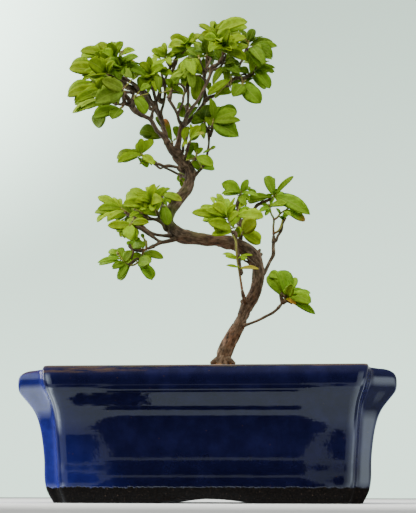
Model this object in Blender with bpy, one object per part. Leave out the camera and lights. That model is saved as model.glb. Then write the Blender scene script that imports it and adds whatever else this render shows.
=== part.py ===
"""A satsuki azalea trained as a bonsai, in a blue glazed rectangular pot with indented corners.

The frame's origin is the centre of the pot's footprint on the table, +X runs along the
pot's long side, -Y is the front and +Z is up. Lengths in the tables are millimetres and
SCALE turns them into metres.
"""
import math

import bmesh
import bpy
import numpy as np
from mathutils import Matrix
from mathutils import Vector
from mathutils.bvhtree import BVHTree

SCALE = 0.001

# The tree is laid out on an upright sheet through the pot's middle, as seen from the
# front at table height. A point of the sheet keeps its place in that view when it is
# moved back or forth by its depth.
EYE_X = 47.3
EYE_Y = -647.2
EYE_Z = 4.0

# How far the sheet's zero line lies to the right of the pot's middle.
SHEET_X = 0.7

# The tables' depths are spread by this factor as far back as the limit.
DEPTH_SPREAD = 1.5
DEPTH_LIMIT = 15.0

# Pot, all in millimetres.
POT_HALF_LENGTH = 101.5
POT_HALF_WIDTH = 75.0
POT_INSIDE_FLOOR = 14.0
POT_RECESS_HEIGHT = 4.2
POT_RECESS_MARGIN = 11.0
POT_SLOT_HALF_LENGTH = 24.5
POT_SLOT_HEIGHT = 2.3
SLOT_CUTTER_RATIO = 1.2
DRAIN_RADIUS = 6.0
DRAIN_OFFSET = 42.0
DRAIN_CUTTER_HEIGHT = 40.0
DRAIN_CUTTER_MIDDLE = 10.0

# Outer wall from the foot to the rim: height, how far the side panel lies inside the
# rim's outermost line, and half the length of the front panel.
POT_LEVELS = [
    (0.0, 18.9, 75.0),
    (7.6, 15.2, 77.2),
    (9.4, 14.8, 77.5),
    (24.0, 13.8, 78.7),
    (31.0, 13.0, 79.3),
    (40.5, 11.2, 79.9),
    (45.0, 9.8, 80.2),
    (49.2, 7.7, 80.6),
    (52.7, 5.0, 81.1),
    (55.7, 2.5, 82.0),
    (58.4, 0.6, 83.0),
    (61.8, 0.0, 84.2),
    (64.6, 0.1, 84.9),
    (67.0, 0.9, 85.3),
    (69.0, 2.4, 85.6),
    (70.8, 4.6, 85.8),
    (71.9, 7.2, 85.6),
]

# The rim is lower at the ends of the pot than along the front: by how much at its top,
# above which height, and how much of that the points of a corner take.
EAR_DROP = 2.0
EAR_DROP_FROM = 66.5
EAR_DROP_POWER = 1.3
EAR_DROP_SHARES = (0.0, 0.0, 0.0, 0.7, 1.0, 1.0, 1.0)
NOTCH_DEPTH_RATIO = 0.75
NOTCH_SLANT_RATIO = 0.15
POT_WALL = 6.5
RIM_INNER_INSET = 9.6
RIM_INNER_NOTCH = 8.6
RIM_INNER_DEPTH = 12.0
INNER_LEAST_INSET = 6.5
INNER_LEAST_NOTCH = 4.0
INNER_HEIGHTS = (48.0, 40.5, 31.0, 20.0)
POT_EDGE_ROUND = 1.7
SLOT_CUTTER_SIDES = 160
DRAIN_SIDES = 20

# Soil and the plain hole the trunk stands in.
SOIL_GAP = 0.35
SOIL_EDGE_HEIGHT = 65.5
SOIL_MOUND_HEIGHT = 14.0
SOIL_MOUND_SPREAD = 36.0
SOIL_RINGS = (0.72, 0.46, 0.26, 0.1, 0.0)
TRUNK_FOOT_X = 5.3
TRUNK_HOLE_RADIUS = 4.8
TRUNK_HOLE_BOTTOM = 47.1

# Leaf blades.
BLADE_THICKNESS = 0.6
BLADE_FOLD = 0.16
BLADE_ARCH = 0.10
CLEARANCE = 0.32
CLEARING_STEP = 2.2
CLEARING_TRIES = 9
TWIG_GAP = 0.42
SHOOT_RADIUS = 0.8
SHOOT_TAPER = 0.3
SHOOT_END = 0.6
FIRST_LEAF_PLACE = 0.95
TWIG_TIP_RADIUS = 0.65
PATH_TOLERANCE = 0.6
STEM_TOLERANCE = 0.25

# Clean-up after a Boolean, strongest first: merging distance in metres, flatness in radians.
CLEANING = (
    (0.0001, 0.04), (0.0001, 0.0), (0.00005, 0.02), (0.00005, 0.0), (0.00002, 0.01), (0.00002, 0.0),
    (0.000004, 0.01), (0.000004, 0.0), (0.000001, 0.0),
)

SCRAP_LIMIT = 14

# Limbs of the wood: each point is x and height on the sheet, depth behind it, radius.
LIMBS = [
    ("trunk", 2, [
        (4.6, 47.5, 0.0, 4.4), (4.6, 79.2, 0.0, 4.4), (5.5, 85.0, 0.0, 4.2), (7.2, 90.0, -0.5, 3.9),
        (9.5, 95.0, -1.0, 3.8), (12.8, 100.3, -1.5, 3.7), (15.4, 105.0, -2.0, 3.2), (17.5, 110.0, -2.0, 3.1),
        (19.9, 115.0, -2.5, 3.4), (23.1, 120.3, -3.0, 3.1), (24.7, 125.0, -3.0, 3.35), (25.8, 130.0, -3.0, 3.4),
        (26.3, 135.0, -3.0, 3.1), (25.8, 139.5, -3.0, 3.2), (24.3, 143.8, -3.0, 3.7), (21.3, 147.2, -3.5, 3.8),
        (16.8, 150.3, -4.0, 3.6), (12.5, 152.4, -4.5, 3.4), (8.0, 153.4, -5.0, 3.7), (4.0, 154.4, -5.0, 3.5),
        (0.0, 155.0, -5.0, 3.0), (-5.0, 155.5, -5.0, 3.0), (-10.0, 156.5, -5.0, 3.5), (-15.0, 157.3, -4.0, 3.8),
        (-20.0, 158.3, -3.0, 3.9), (-24.0, 160.5, -2.0, 3.8), (-26.6, 163.8, -1.0, 3.3), (-27.9, 167.4, -0.5, 2.8),
        (-27.7, 171.5, 0.0, 2.5), (-26.5, 174.8, 0.0, 2.8), (-24.7, 177.3, 0.0, 3.0), (-22.4, 180.7, 0.5, 3.0),
        (-19.6, 184.4, 0.5, 3.1), (-16.8, 188.6, 0.5, 3.1), (-15.6, 193.0, 0.5, 2.8), (-15.1, 197.0, 0.5, 2.9),
        (-16.0, 200.2, 0.5, 2.8), (-17.9, 203.1, 0.5, 2.9), (-20.1, 206.0, 0.5, 2.9), (-22.0, 209.0, 0.5, 2.7),
        (-23.2, 211.6, 0.5, 2.3)]),
    ("limb_centre", 1, [
        (-22.4, 208.8, 0.5, 2.3), (-23.3, 213.5, 1.0, 1.9), (-22.4, 218.3, 1.0, 1.6), (-21.3, 225.5, 0.0, 1.8),
        (-20.0, 229.6, 0.0, 1.9)]),
    ("limb_left", 1, [
        (-22.5, 209.5, 0.5, 2.4), (-26.0, 212.3, -1.0, 2.2), (-28.5, 215.8, -2.0, 2.0), (-30.3, 219.3, -2.5, 1.7),
        (-30.9, 222.9, -2.0, 1.35), (-31.9, 227.0, -1.0, 1.2), (-32.9, 231.0, 0.0, 1.2), (-33.9, 234.6, 0.5, 1.3)]),
    ("limb_far_left", 1, [
        (-29.3, 217.6, -2.5, 1.7), (-32.8, 222.9, -4.0, 1.3), (-35.1, 225.8, -5.0, 1.25), (-37.4, 229.9, -6.0, 1.15),
        (-39.9, 234.0, -7.0, 1.4), (-42.4, 235.3, -7.5, 1.4), (-46.1, 236.9, -8.5, 1.5), (-49.0, 239.0, -9.0, 1.6),
        (-51.7, 241.3, -10.0, 1.8), (-53.6, 244.0, -10.5, 1.7)]),
    ("far_left_tip", 0, [
        (-53.0, 243.2, -10.5, 1.4), (-56.3, 243.9, -11.0, 1.1), (-59.5, 243.6, -12.0, 0.9),
        (-62.3, 244.3, -12.0, 0.9)]),
    ("far_left_knob", 0, [(-53.4, 243.6, -10.5, 1.4), (-54.6, 247.4, -10.0, 1.1), (-55.6, 248.8, -11.5, 0.9)]),
    ("far_left_spur", 0, [(-52.4, 244.6, -10.5, 1.1), (-51.8, 248.4, -7.0, 0.9), (-50.6, 252.4, -2.5, 0.8)]),
    ("far_left_link", 0, [(-39.7, 234.0, -7.0, 1.0), (-38.9, 238.8, -6.0, 0.9), (-37.2, 245.0, -4.2, 0.8)]),
    ("limb_upper_left", 1, [
        (-33.5, 233.2, 0.5, 1.2), (-36.2, 238.3, 1.0, 1.3), (-38.4, 241.8, 1.0, 1.35), (-40.2, 244.6, 0.5, 1.4),
        (-42.5, 247.3, 0.0, 1.4), (-45.4, 249.9, -1.0, 1.45), (-49.3, 252.1, -2.0, 1.5), (-52.7, 253.6, -3.0, 1.4),
        (-55.0, 254.6, -3.0, 1.2), (-56.6, 256.6, -3.0, 1.0), (-58.1, 259.4, -3.0, 0.9)]),
    ("limb_second", 0, [
        (-33.7, 234.0, 0.5, 1.2), (-35.3, 238.0, -1.5, 1.1), (-36.4, 241.5, -3.0, 1.05), (-37.0, 245.0, -4.0, 1.0),
        (-38.0, 249.0, -4.5, 1.1), (-39.0, 254.0, -5.0, 1.1)]),
    ("second_stub", 0, [(-37.0, 245.0, -4.0, 0.9), (-35.3, 249.0, -6.0, 1.0), (-34.9, 251.6, -7.0, 0.8)]),
    ("limb_third", 0, [
        (-33.5, 233.5, 0.5, 1.2), (-33.6, 238.3, 3.0, 0.9), (-32.3, 242.7, 4.0, 0.9), (-31.5, 248.5, 5.0, 0.95),
        (-31.2, 253.0, 5.0, 1.2), (-31.9, 256.6, 5.0, 1.3)]),
    ("third_right", 0, [
        (-31.7, 255.6, 5.0, 1.0), (-30.8, 261.0, 5.0, 0.8), (-29.7, 263.3, 5.0, 0.8), (-28.3, 267.2, 5.0, 1.1),
        (-27.8, 268.7, 5.0, 1.2)]),
    ("third_far", 0, [
        (-27.9, 268.0, 5.0, 1.1), (-26.0, 270.3, 5.0, 1.0), (-25.0, 273.0, 5.0, 0.9), (-23.0, 275.6, 5.0, 0.8),
        (-21.9, 276.7, 5.0, 0.8)]),
    ("limb_front", 0, [
        (-20.2, 229.0, 0.0, 1.4), (-22.3, 231.7, -3.0, 1.0), (-23.6, 236.6, -7.0, 0.95), (-26.0, 241.5, -9.0, 0.85),
        (-28.0, 244.9, -10.0, 0.9), (-28.8, 247.2, -11.0, 1.1), (-30.3, 247.7, -11.0, 0.7)]),
    ("front_fork", 0, [
        (-23.4, 236.0, -7.0, 0.8), (-22.2, 238.8, -7.0, 0.7), (-20.3, 243.2, -7.0, 0.65), (-19.8, 247.5, -5.0, 0.65),
        (-18.6, 250.8, -3.0, 0.7), (-17.2, 252.2, -2.0, 0.8)]),
    ("front_thin", 0, [(-24.0, 237.2, -7.4, 0.6), (-27.3, 242.3, -11.6, 0.5), (-29.6, 246.2, -13.0, 0.45)]),
    ("stem_middle", 0, [
        (-17.9, 233.4, -5.0, 0.9), (-17.1, 240.0, -3.0, 0.75), (-16.8, 246.0, -2.0, 0.7), (-16.9, 251.0, -2.0, 1.1),
        (-17.3, 253.0, -2.0, 1.3), (-17.2, 256.0, -2.0, 0.9)]),
    ("limb_crossing", 0, [
        (-19.6, 229.2, 0.0, 1.5), (-18.3, 232.3, -4.0, 1.25), (-17.3, 235.6, -6.0, 1.15), (-14.5, 240.0, -8.0, 1.0),
        (-11.0, 244.5, -9.0, 0.9), (-7.6, 251.0, -9.0, 0.85), (-5.0, 256.5, -8.0, 1.0), (-2.9, 262.0, -6.0, 1.2),
        (-1.4, 266.5, -5.0, 1.9), (0.6, 267.8, -5.0, 1.3), (3.4, 269.8, -5.0, 1.1)]),
    ("limb_right", 1, [
        (-20.0, 229.2, 0.0, 1.6), (-16.7, 231.0, 2.0, 1.4), (-13.0, 234.7, 3.0, 1.3), (-9.4, 239.0, 4.0, 1.35),
        (-7.0, 242.5, 4.0, 1.5), (-5.9, 246.0, 4.0, 1.6), (-6.5, 250.5, 4.0, 1.25), (-6.8, 255.0, 4.0, 1.15),
        (-6.5, 261.0, 4.0, 1.1), (-6.3, 264.8, 4.0, 1.2)]),
    ("right_left_fork", 0, [(-6.6, 262.8, 4.15, 1.0), (-8.8, 268.2, 3.0, 0.85), (-10.2, 271.2, 2.0, 1.0)]),
    ("right_arm", 1, [
        (-6.4, 244.6, 4.0, 1.4), (-3.6, 246.4, 3.0, 1.2), (0.8, 248.2, 2.0, 1.05), (5.0, 250.8, 1.0, 1.0),
        (8.0, 254.0, 0.0, 1.1), (10.8, 257.2, 0.0, 1.35), (13.5, 258.3, 0.0, 1.6), (16.8, 258.3, 0.0, 1.3),
        (20.0, 259.5, 0.0, 0.9), (22.4, 260.5, 0.0, 0.85)]),
    ("arm_upper", 0, [
        (12.1, 257.6, 0.0, 1.1), (14.7, 264.2, 4.0, 0.85), (16.0, 268.8, 5.0, 0.8), (18.5, 273.5, 5.0, 0.8),
        (19.2, 276.0, 5.0, 0.75)]),
    ("arm_left", 0, [(11.2, 257.2, 0.0, 1.0), (8.2, 262.0, -2.0, 0.75)]),
    ("twig_left", 0, [
        (-18.2, 202.4, 0.5, 1.1), (-21.5, 201.4, -2.0, 0.8), (-25.0, 202.2, -3.0, 0.75), (-28.9, 202.8, -4.0, 0.95),
        (-31.5, 202.6, -4.0, 0.75), (-34.6, 204.1, -5.0, 0.9), (-38.0, 204.7, -5.0, 0.8), (-41.0, 205.8, -5.0, 0.75)]),
    ("twig_left_back", 0, [
        (-16.0, 195.4, 0.5, 1.0), (-19.0, 195.8, 3.0, 0.75), (-22.6, 197.4, 4.0, 0.65), (-27.6, 200.0, 4.0, 0.6),
        (-32.6, 202.4, 2.0, 0.55)]),
    ("twig_right", 0, [
        (-14.8, 194.6, 0.5, 1.1), (-11.9, 196.8, -1.0, 0.95), (-9.3, 199.5, -2.0, 0.75), (-6.6, 202.7, -3.0, 0.9),
        (-5.3, 206.5, -3.0, 0.7), (-4.5, 211.5, -3.0, 0.6), (-3.7, 217.0, -3.0, 0.65), (-3.7, 221.0, -3.0, 1.0),
        (-4.0, 224.8, -3.0, 1.05)]),
    ("bud_right", 0, [(-12.5, 196.2, -0.6, 1.0), (-12.0, 199.5, -0.6, 0.5)]),
    ("twig_short", 0, [(-17.0, 202.0, 0.5, 1.0), (-14.8, 203.6, -1.0, 0.8), (-13.5, 204.8, -2.0, 0.7)]),
    ("twig_upright", 0, [(-19.4, 204.6, 0.5, 1.0), (-18.0, 209.0, -3.0, 0.75), (-17.3, 212.8, -4.0, 0.7)]),
    ("low_left_upper", 0, [
        (-24.5, 158.0, -3.0, 1.0), (-31.8, 158.6, -5.0, 0.7), (-37.2, 159.6, -6.0, 0.65), (-42.4, 162.3, -7.5, 0.7)]),
    ("low_left_main", 0, [
        (-23.0, 157.0, -3.0, 1.3), (-28.0, 155.2, -6.0, 1.05), (-33.0, 154.7, -7.0, 1.0), (-34.8, 155.8, -7.0, 0.8),
        (-38.0, 158.2, -8.0, 0.8), (-42.3, 162.2, -8.0, 0.95), (-45.2, 165.0, -8.0, 1.4), (-47.5, 167.6, -8.0, 1.4)]),
    ("low_left_down", 0, [(-32.5, 154.7, -7.0, 0.95), (-35.0, 153.3, -7.4, 0.75), (-38.0, 151.7, -8.0, 0.8)]),
    ("low_left_rise", 0, [
        (-26.0, 161.0, -2.0, 1.3), (-29.7, 165.3, -3.5, 1.0), (-32.0, 168.2, -4.0, 1.1), (-33.4, 169.8, -4.0, 1.5),
        (-33.5, 171.6, -4.0, 1.0)]),
    ("stem_cluster", 0, [
        (16.4, 150.5, -4.0, 1.3), (15.6, 155.5, -3.0, 0.95), (15.0, 161.0, -1.0, 0.8), (15.6, 166.7, 1.0, 0.85),
        (14.6, 172.0, 2.0, 0.75), (13.9, 177.0, 2.0, 1.0)]),
    ("stem_cluster_arm", 0, [
        (15.4, 165.4, 0.8, 0.8), (19.5, 170.0, 3.0, 0.7), (24.0, 174.4, 4.0, 0.7), (25.8, 176.7, 4.0, 1.0),
        (29.0, 178.1, 4.0, 0.8)]),
    ("shoot_right", 0, [
        (27.0, 131.5, -2.0, 1.2), (30.2, 135.2, 0.0, 1.05), (31.6, 138.3, 1.0, 0.95), (33.2, 141.6, 2.0, 0.9),
        (35.2, 145.3, 2.0, 0.95), (35.4, 150.5, 2.0, 0.85), (35.7, 154.6, 2.0, 0.85)]),
    ("shoot_low_right", 0, [
        (16.8, 102.8, -3.0, 0.9), (20.0, 103.7, -5.0, 0.65), (25.0, 105.5, -6.0, 0.6), (30.0, 108.0, -7.0, 0.6),
        (35.0, 110.6, -8.0, 0.6), (38.3, 113.5, -8.0, 0.6)]),
    ("shoot_front", 0, [(19.0, 116.6, -3.5, 1.3), (17.6, 118.8, -6.0, 0.95), (17.0, 121.4, -7.0, 0.7)]),
    ("dry_stick", 0, [(24.0, 139.3, -5.0, 0.7), (20.5, 143.0, -8.0, 0.55), (17.0, 145.9, -8.6, 0.45)]),
    ("stub_bend", 0, [(25.8, 145.4, -3.0, 1.1), (27.4, 149.2, -3.0, 0.6)]),
    ("stub_bend_low", 0, [(26.0, 144.4, -3.0, 1.1), (28.6, 146.6, -3.0, 0.6)]),
    ("stub_top", 0, [(4.6, 155.0, -5.0, 1.4), (3.6, 158.9, -5.0, 0.7)]),
    ("stub_knob", 0, [(18.6, 114.6, -3.0, 1.5), (16.0, 118.2, -3.2, 0.8)]),
    ("back_right", 0, [
        (-21.3, 225.0, 0.5, 1.2), (-19.9, 229.5, 6.0, 1.0), (-16.7, 231.2, 10.0, 0.95), (-9.4, 239.0, 15.0, 0.9),
        (-6.2, 245.5, 18.0, 0.85), (-6.7, 255.0, 22.0, 0.8), (-6.5, 262.0, 24.0, 0.75)]),
    ("back_left", 0, [
        (-32.8, 230.6, 0.5, 1.1), (-34.8, 236.3, 6.0, 1.0), (-38.5, 242.0, 11.0, 0.95), (-42.5, 247.3, 15.0, 0.9),
        (-49.3, 252.1, 19.0, 0.8), (-54.5, 254.4, 22.0, 0.75)]),
    ("back_low", 0, [
        (-24.5, 160.5, -1.0, 1.1), (-27.0, 159.4, 5.0, 0.8), (-33.0, 158.9, 10.0, 0.7), (-39.0, 160.7, 14.0, 0.65),
        (-43.5, 163.8, 16.0, 0.65)]),
    ("root_left", 0, [(5.0, 83.0, 0.0, 3.0), (1.0, 81.9, -0.7, 1.6), (-2.2, 80.4, -1.1, 0.8)]),
    ("root_right", 0, [(5.4, 83.0, 0.0, 2.8), (9.0, 82.0, -1.7, 1.5), (11.8, 80.3, -2.9, 0.7)]),
    ("root_back", 0, [(5.0, 83.0, 0.0, 2.8), (7.4, 81.9, 2.9, 1.5), (9.6, 80.6, 4.9, 0.7)]),
    ("root_back_left", 0, [(5.0, 83.0, 0.0, 2.8), (1.6, 82.0, 2.7, 1.5), (-1.0, 80.6, 4.3, 0.7)]),
]

# Leafy shoots. "twig" is the brown end of wood that carries the shoot, "stems" are its
# green stems and each leaf is: stem, place along it, the tip's x, height and depth, the
# blade's width, and how far in degrees it is turned from facing the front.
SHOOTS = [
    ("crown_left_top", "spring",
     [(-57.7, 258.4, -3.0, 0.9), (-60.0, 263.5, -2.0, 0.8), (-62.6, 268.3, -1.0, 0.7)],
     [[(-64.2, 271.2, -1.0), (-65.2, 273.8, -1.0)]],
     [(0, 1.0, -86.0, 280.4, -4.0, 7.0, 20), (0, 1.0, -77.3, 284.4, 5.0, 7.5, 15), (0, 1.0, -68.0, 285.2, -8.0, 5.5, 30),
      (0, 0.9, -64.7, 286.4, 7.0, 5.0, 20), (0, 0.7, -58.8, 285.8, -6.0, 6.0, 10), (0, 0.5, -73.5, 272.6, 9.0, 6.0, 35),
      (0, 0.6, -71.0, 279.5, -12.0, 7.0, 5)]),
    ("crown_left_inner", "leaf",
     [(-58.9, 261.0, -2.5, 0.75), (-59.6, 265.2, -7.0, 0.65)],
     [[(-59.9, 267.6, -9.0), (-59.6, 270.0, -10.0)]],
     [(0, 1.0, -48.8, 275.4, -14.0, 6.0, 25), (0, 1.0, -58.3, 280.0, -15.0, 4.0, 45), (0, 0.9, -50.4, 272.6, -7.0, 2.4, 30),
      (0, 0.7, -47.2, 270.5, -4.0, 3.0, 60), (0, 0.4, -44.0, 263.5, -13.0, 6.0, 15), (0, 0.3, -60.2, 260.3, -16.0, 7.0, 0),
      (0, 0.7, -66.4, 272.3, -16.0, 7.5, 10)]),
    ("crown_left_middle", "spring",
     [(-57.0, 257.2, -3.0, 0.8), (-61.5, 260.5, -9.0, 0.7), (-65.0, 262.3, -12.0, 0.65)],
     [[(-67.2, 263.4, -13.0), (-69.5, 264.9, -14.0)]],
     [(0, 1.0, -93.0, 269.2, -15.0, 8.5, 10), (0, 1.0, -80.5, 273.2, -22.0, 9.5, 0), (0, 0.9, -72.5, 274.3, -8.0, 6.0, 30),
      (0, 0.6, -79.3, 263.6, -20.0, 6.0, 25), (0, 0.4, -64.0, 272.5, -19.0, 5.0, 20)]),
    ("crown_left_low", "spring",
     [(-54.6, 254.4, -3.0, 0.95), (-60.5, 255.5, 2.0, 0.75), (-66.5, 253.6, 1.0, 0.7)],
     [[(-69.0, 252.9, 0.0), (-71.6, 252.7, -1.0)]],
     [(0, 1.0, -93.5, 249.8, -4.0, 8.0, 20), (0, 1.0, -87.7, 257.0, 5.0, 8.0, 20), (0, 0.9, -88.5, 246.2, -10.0, 7.0, 5),
      (0, 0.7, -78.0, 262.7, 9.0, 7.0, 20), (0, 0.5, -71.5, 261.6, -4.0, 6.5, 35)]),
    ("crown_left_face", "pale",
     [(-54.9, 247.6, -10.3, 1.0), (-56.0, 249.5, -13.0, 0.8)],
     [[(-57.0, 251.2, -15.0), (-58.2, 253.2, -16.0)]],
     [(0, 0.6, -75.3, 245.8, -20.0, 11.5, -5), (0, 1.0, -71.0, 260.0, -23.0, 8.0, 0), (0, 1.0, -63.2, 260.5, -13.0, 3.2, 55)]),
    ("crown_left_tip", "pale",
     [(-61.6, 244.1, -12.0, 0.9), (-64.3, 245.3, -12.0, 0.8)],
     [[(-66.2, 246.3, -12.0), (-68.5, 246.9, -12.0)]],
     [(0, 1.0, -88.7, 239.7, -11.0, 3.4, 60), (0, 1.0, -84.6, 243.2, -16.0, 5.0, 40), (0, 0.6, -78.0, 250.0, -18.0, 6.0, 20)]),
    ("crown_left_hanging", "leaf",
     [(-57.6, 243.9, -11.4, 0.9), (-57.9, 242.8, -13.2, 0.6)],
     [[(-58.2, 241.9, -14.5), (-59.6, 240.9, -15.2)]],
     [(0, 1.0, -76.3, 236.3, -17.0, 7.5, 0), (0, 0.9, -64.5, 234.3, -20.0, 7.5, 5)]),
    ("crown_middle_left", "spring",
     [(-38.8, 253.2, -5.0, 1.0), (-39.7, 257.5, -5.0, 0.8)],
     [[(-40.0, 259.8, -5.0), (-41.0, 264.5, -5.5)]],
     [(0, 1.0, -41.8, 275.5, -8.0, 3.6, 10), (0, 1.0, -37.0, 275.3, 0.0, 3.6, 5), (0, 0.9, -47.9, 270.9, -11.0, 5.5, 25),
      (0, 0.9, -32.8, 268.8, -11.0, 6.5, 0), (0, 0.3, -47.0, 254.0, -9.0, 8.0, 5), (0, 0.5, -45.5, 265.5, 5.0, 6.0, 20),
      (0, 0.2, -36.8, 251.3, -11.0, 3.0, 20)]),
    ("crown_middle", "spring",
     [(-31.8, 255.8, 5.0, 1.1), (-32.8, 259.3, 3.0, 0.8)],
     [[(-33.3, 261.5, 2.0), (-34.0, 264.8, 1.0)]],
     [(0, 1.0, -30.2, 267.0, -3.0, 3.0, 25), (0, 0.6, -27.3, 262.8, -5.0, 4.5, 10), (0, 1.0, -38.5, 268.5, 7.0, 5.0, 20),
      (0, 0.8, -36.3, 271.5, -5.0, 4.0, 15)]),
    ("crown_middle_top", "spring",
     [(-27.9, 268.2, 5.0, 1.0), (-29.7, 270.3, 4.0, 0.75)],
     [[(-30.8, 271.8, 3.5), (-31.4, 273.8, 3.0)]],
     [(0, 1.0, -40.4, 279.4, 0.0, 5.5, 20), (0, 1.0, -32.1, 284.4, 5.0, 3.5, 10), (0, 0.6, -28.1, 269.7, -5.0, 4.2, 10),
      (0, 0.9, -27.8, 277.3, 9.5, 1.8, 38)]),
    ("crown_top_left", "spring",
     [(-22.3, 276.2, 5.0, 0.8), (-20.0, 278.0, 4.0, 0.75)],
     [[(-18.4, 279.3, 3.5), (-16.5, 281.0, 3.0)]],
     [(0, 0.8, -28.4, 288.2, 0.0, 7.0, 10), (0, 0.5, -28.2, 282.3, -8.0, 6.5, 5), (0, 1.0, -17.1, 287.9, 10.0, 3.3, 10),
      (0, 1.0, -13.6, 290.5, -3.0, 3.2, 10), (0, 1.0, -9.4, 289.4, 7.0, 4.6, 5), (0, 0.8, -9.5, 281.5, -8.0, 3.0, 50),
      (0, 0.4, -24.3, 271.8, 16.6, 5.5, 15)]),
    ("crown_inner", "deep",
     [(-6.25, 263.3, 4.3, 0.9), (-4.9, 268.0, 8.0, 0.8), (-5.2, 270.8, 9.0, 0.7)],
     [[(-5.4, 273.3, 9.0), (-5.2, 275.7, 9.0)]],
     [(0, 1.0, -3.0, 288.5, 6.0, 6.5, 10), (0, 1.0, 2.5, 284.0, 12.0, 6.0, 10), (0, 0.7, -12.0, 279.0, 14.0, 5.5, 20),
      (0, 0.6, 3.5, 272.0, 14.0, 5.5, 10), (0, 0.4, -4.7, 262.5, 20.8, 3.4, 0)]),
    ("crown_middle_right", "spring",
     [(-10.0, 270.8, 2.2, 0.9), (-12.2, 272.0, 0.0, 0.75)],
     [[(-14.0, 272.6, -1.0), (-16.0, 272.9, -2.0)]],
     [(0, 1.0, -20.6, 264.4, -8.0, 5.0, 15), (0, 0.7, -13.2, 262.0, -12.0, 6.5, 5), (0, 1.0, -20.0, 271.2, 3.0, 2.6, 30),
      (0, 0.5, -8.5, 263.5, -7.0, 4.5, 10)]),
    ("crown_middle_stem", "pale",
     [(-17.2, 254.4, -2.0, 1.0), (-17.2, 257.5, -2.0, 0.75), (-17.2, 261.5, -2.0, 0.7)],
     [[(-17.1, 263.7, -2.0), (-16.8, 266.3, -2.0)]],
     [(0, 0.5, -29.0, 255.0, -5.0, 5.0, 15), (0, 0.7, -27.8, 261.8, 0.0, 4.5, 20), (0, 0.4, -14.0, 253.0, -7.0, 5.0, 15),
      (0, 1.0, -12.3, 270.0, 2.8, 5.0, 10), (0, 1.0, -22.3, 266.8, 4.0, 4.0, 20)]),
    ("crown_hanging_right", "leaf",
     [(-6.7, 258.2, 4.0, 0.9), (-8.8, 260.4, 0.0, 0.65)],
     [[(-10.0, 261.2, -2.0), (-11.5, 261.3, -3.0)]],
     [(0, 1.0, -12.2, 245.0, -5.0, 6.8, 5), (0, 0.7, -9.4, 251.5, -3.0, 5.5, 10)]),
    ("crown_fork_left", "leaf",
     [(-28.7, 246.4, -10.8, 1.0), (-27.6, 250.0, -11.0, 0.7)],
     [[(-27.2, 252.0, -11.0), (-27.2, 254.2, -11.5)]],
     [(0, 1.0, -22.5, 260.5, -13.0, 5.0, 10), (0, 1.0, -31.0, 259.5, -16.0, 4.5, 10), (0, 0.8, -20.5, 256.5, -8.0, 4.0, 20),
      (0, 0.3, -19.7, 251.0, -11.0, 3.2, 10)]),
    ("crown_behind_fork", "leaf",
     [(-17.3, 238.0, -3.6, 0.7), (-17.8, 240.0, 2.0, 0.6)],
     [[(-18.2, 240.8, 4.0), (-18.8, 241.3, 5.8)]],
     [(0, 1.0, -23.9, 241.2, 8.0, 4.5, 5), (0, 0.9, -19.5, 233.6, 9.0, 7.0, 0), (0, 0.9, -14.3, 241.0, 9.0, 4.0, 20)]),
    ("crown_top", "spring",
     [(3.0, 269.5, -5.0, 1.1), (4.6, 272.3, -5.0, 0.9)],
     [[(5.1, 274.4, -5.0), (4.4, 280.5, -5.5), (0.4, 287.0, -5.0)]],
     [(0, 1.0, 20.6, 296.8, -7.0, 8.5, 20), (0, 1.0, -10.4, 296.0, -3.0, 3.5, 15), (0, 1.0, -1.0, 298.2, 0.0, 3.4, 10),
      (0, 0.7, -6.8, 286.5, -12.0, 6.5, 10), (0, 0.5, 8.5, 292.0, -14.0, 8.5, 0), (0, 0.6, 15.5, 290.5, -1.0, 8.5, 15),
      (0, 0.4, 19.2, 286.5, -9.0, 6.5, 20), (0, 0.5, 3.4, 285.5, -20.0, 5.0, 0), (0, 0.3, 14.0, 279.6, -12.0, 6.5, 10),
      (0, 0.2, 19.8, 271.0, -10.0, 6.0, 5), (0, 0.5, -3.8, 277.5, -16.0, 6.0, 10)]),
    ("crown_right_top", "deep",
     [(18.3, 273.1, 5.0, 0.8), (19.6, 277.6, 5.0, 0.7)],
     [[(20.4, 279.8, 5.0), (21.2, 282.4, 4.5)]],
     [(0, 1.0, 24.3, 291.8, 3.0, 5.2, 10), (0, 0.9, 17.5, 289.2, 9.0, 4.0, 20), (0, 1.0, 30.2, 286.8, 5.0, 1.5, 30),
      (0, 0.5, 16.3, 279.8, 1.0, 2.5, 40)]),
    ("crown_right", "leaf",
     [(19.1, 275.6, 5.0, 0.75), (20.6, 277.2, 2.0, 0.6)],
     [[(21.6, 278.2, 0.0), (23.3, 279.2, -1.2)]],
     [(0, 1.0, 39.2, 279.9, -3.0, 5.8, 20), (0, 1.0, 35.8, 273.0, -8.0, 8.5, 10), (0, 0.8, 31.0, 269.2, -14.0, 6.5, 10),
      (0, 0.4, 22.7, 262.8, -6.0, 4.2, 10)]),
    ("crown_right_low", "leaf",
     [(21.9, 260.3, 0.0, 0.85), (23.8, 261.8, 0.0, 0.7)],
     [[(24.5, 263.1, -0.5), (25.2, 265.0, -1.0)]],
     [(0, 1.0, 37.6, 265.6, -3.0, 4.0, 25), (0, 0.9, 37.1, 262.6, -6.0, 4.2, 10), (0, 0.4, 34.2, 251.5, -6.0, 6.6, 10),
      (0, 0.8, 33.0, 268.0, 6.0, 4.0, 30)]),
    ("crown_right_hanging", "leaf",
     [(16.0, 258.2, 0.0, 1.0), (16.6, 257.0, -3.0, 0.7)],
     [[(17.0, 256.0, -4.6), (17.3, 254.8, -6.0)]],
     [(0, 0.9, 28.3, 242.4, -9.0, 9.4, 0), (0, 1.0, 11.2, 247.1, -10.0, 8.0, 0)]),
    ("crown_right_inner", "deep",
     [(9.0, 260.8, -1.5, 0.8), (6.9, 264.3, -3.0, 0.65)],
     [[(6.2, 266.0, -3.5), (6.6, 268.3, -4.0)]],
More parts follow.
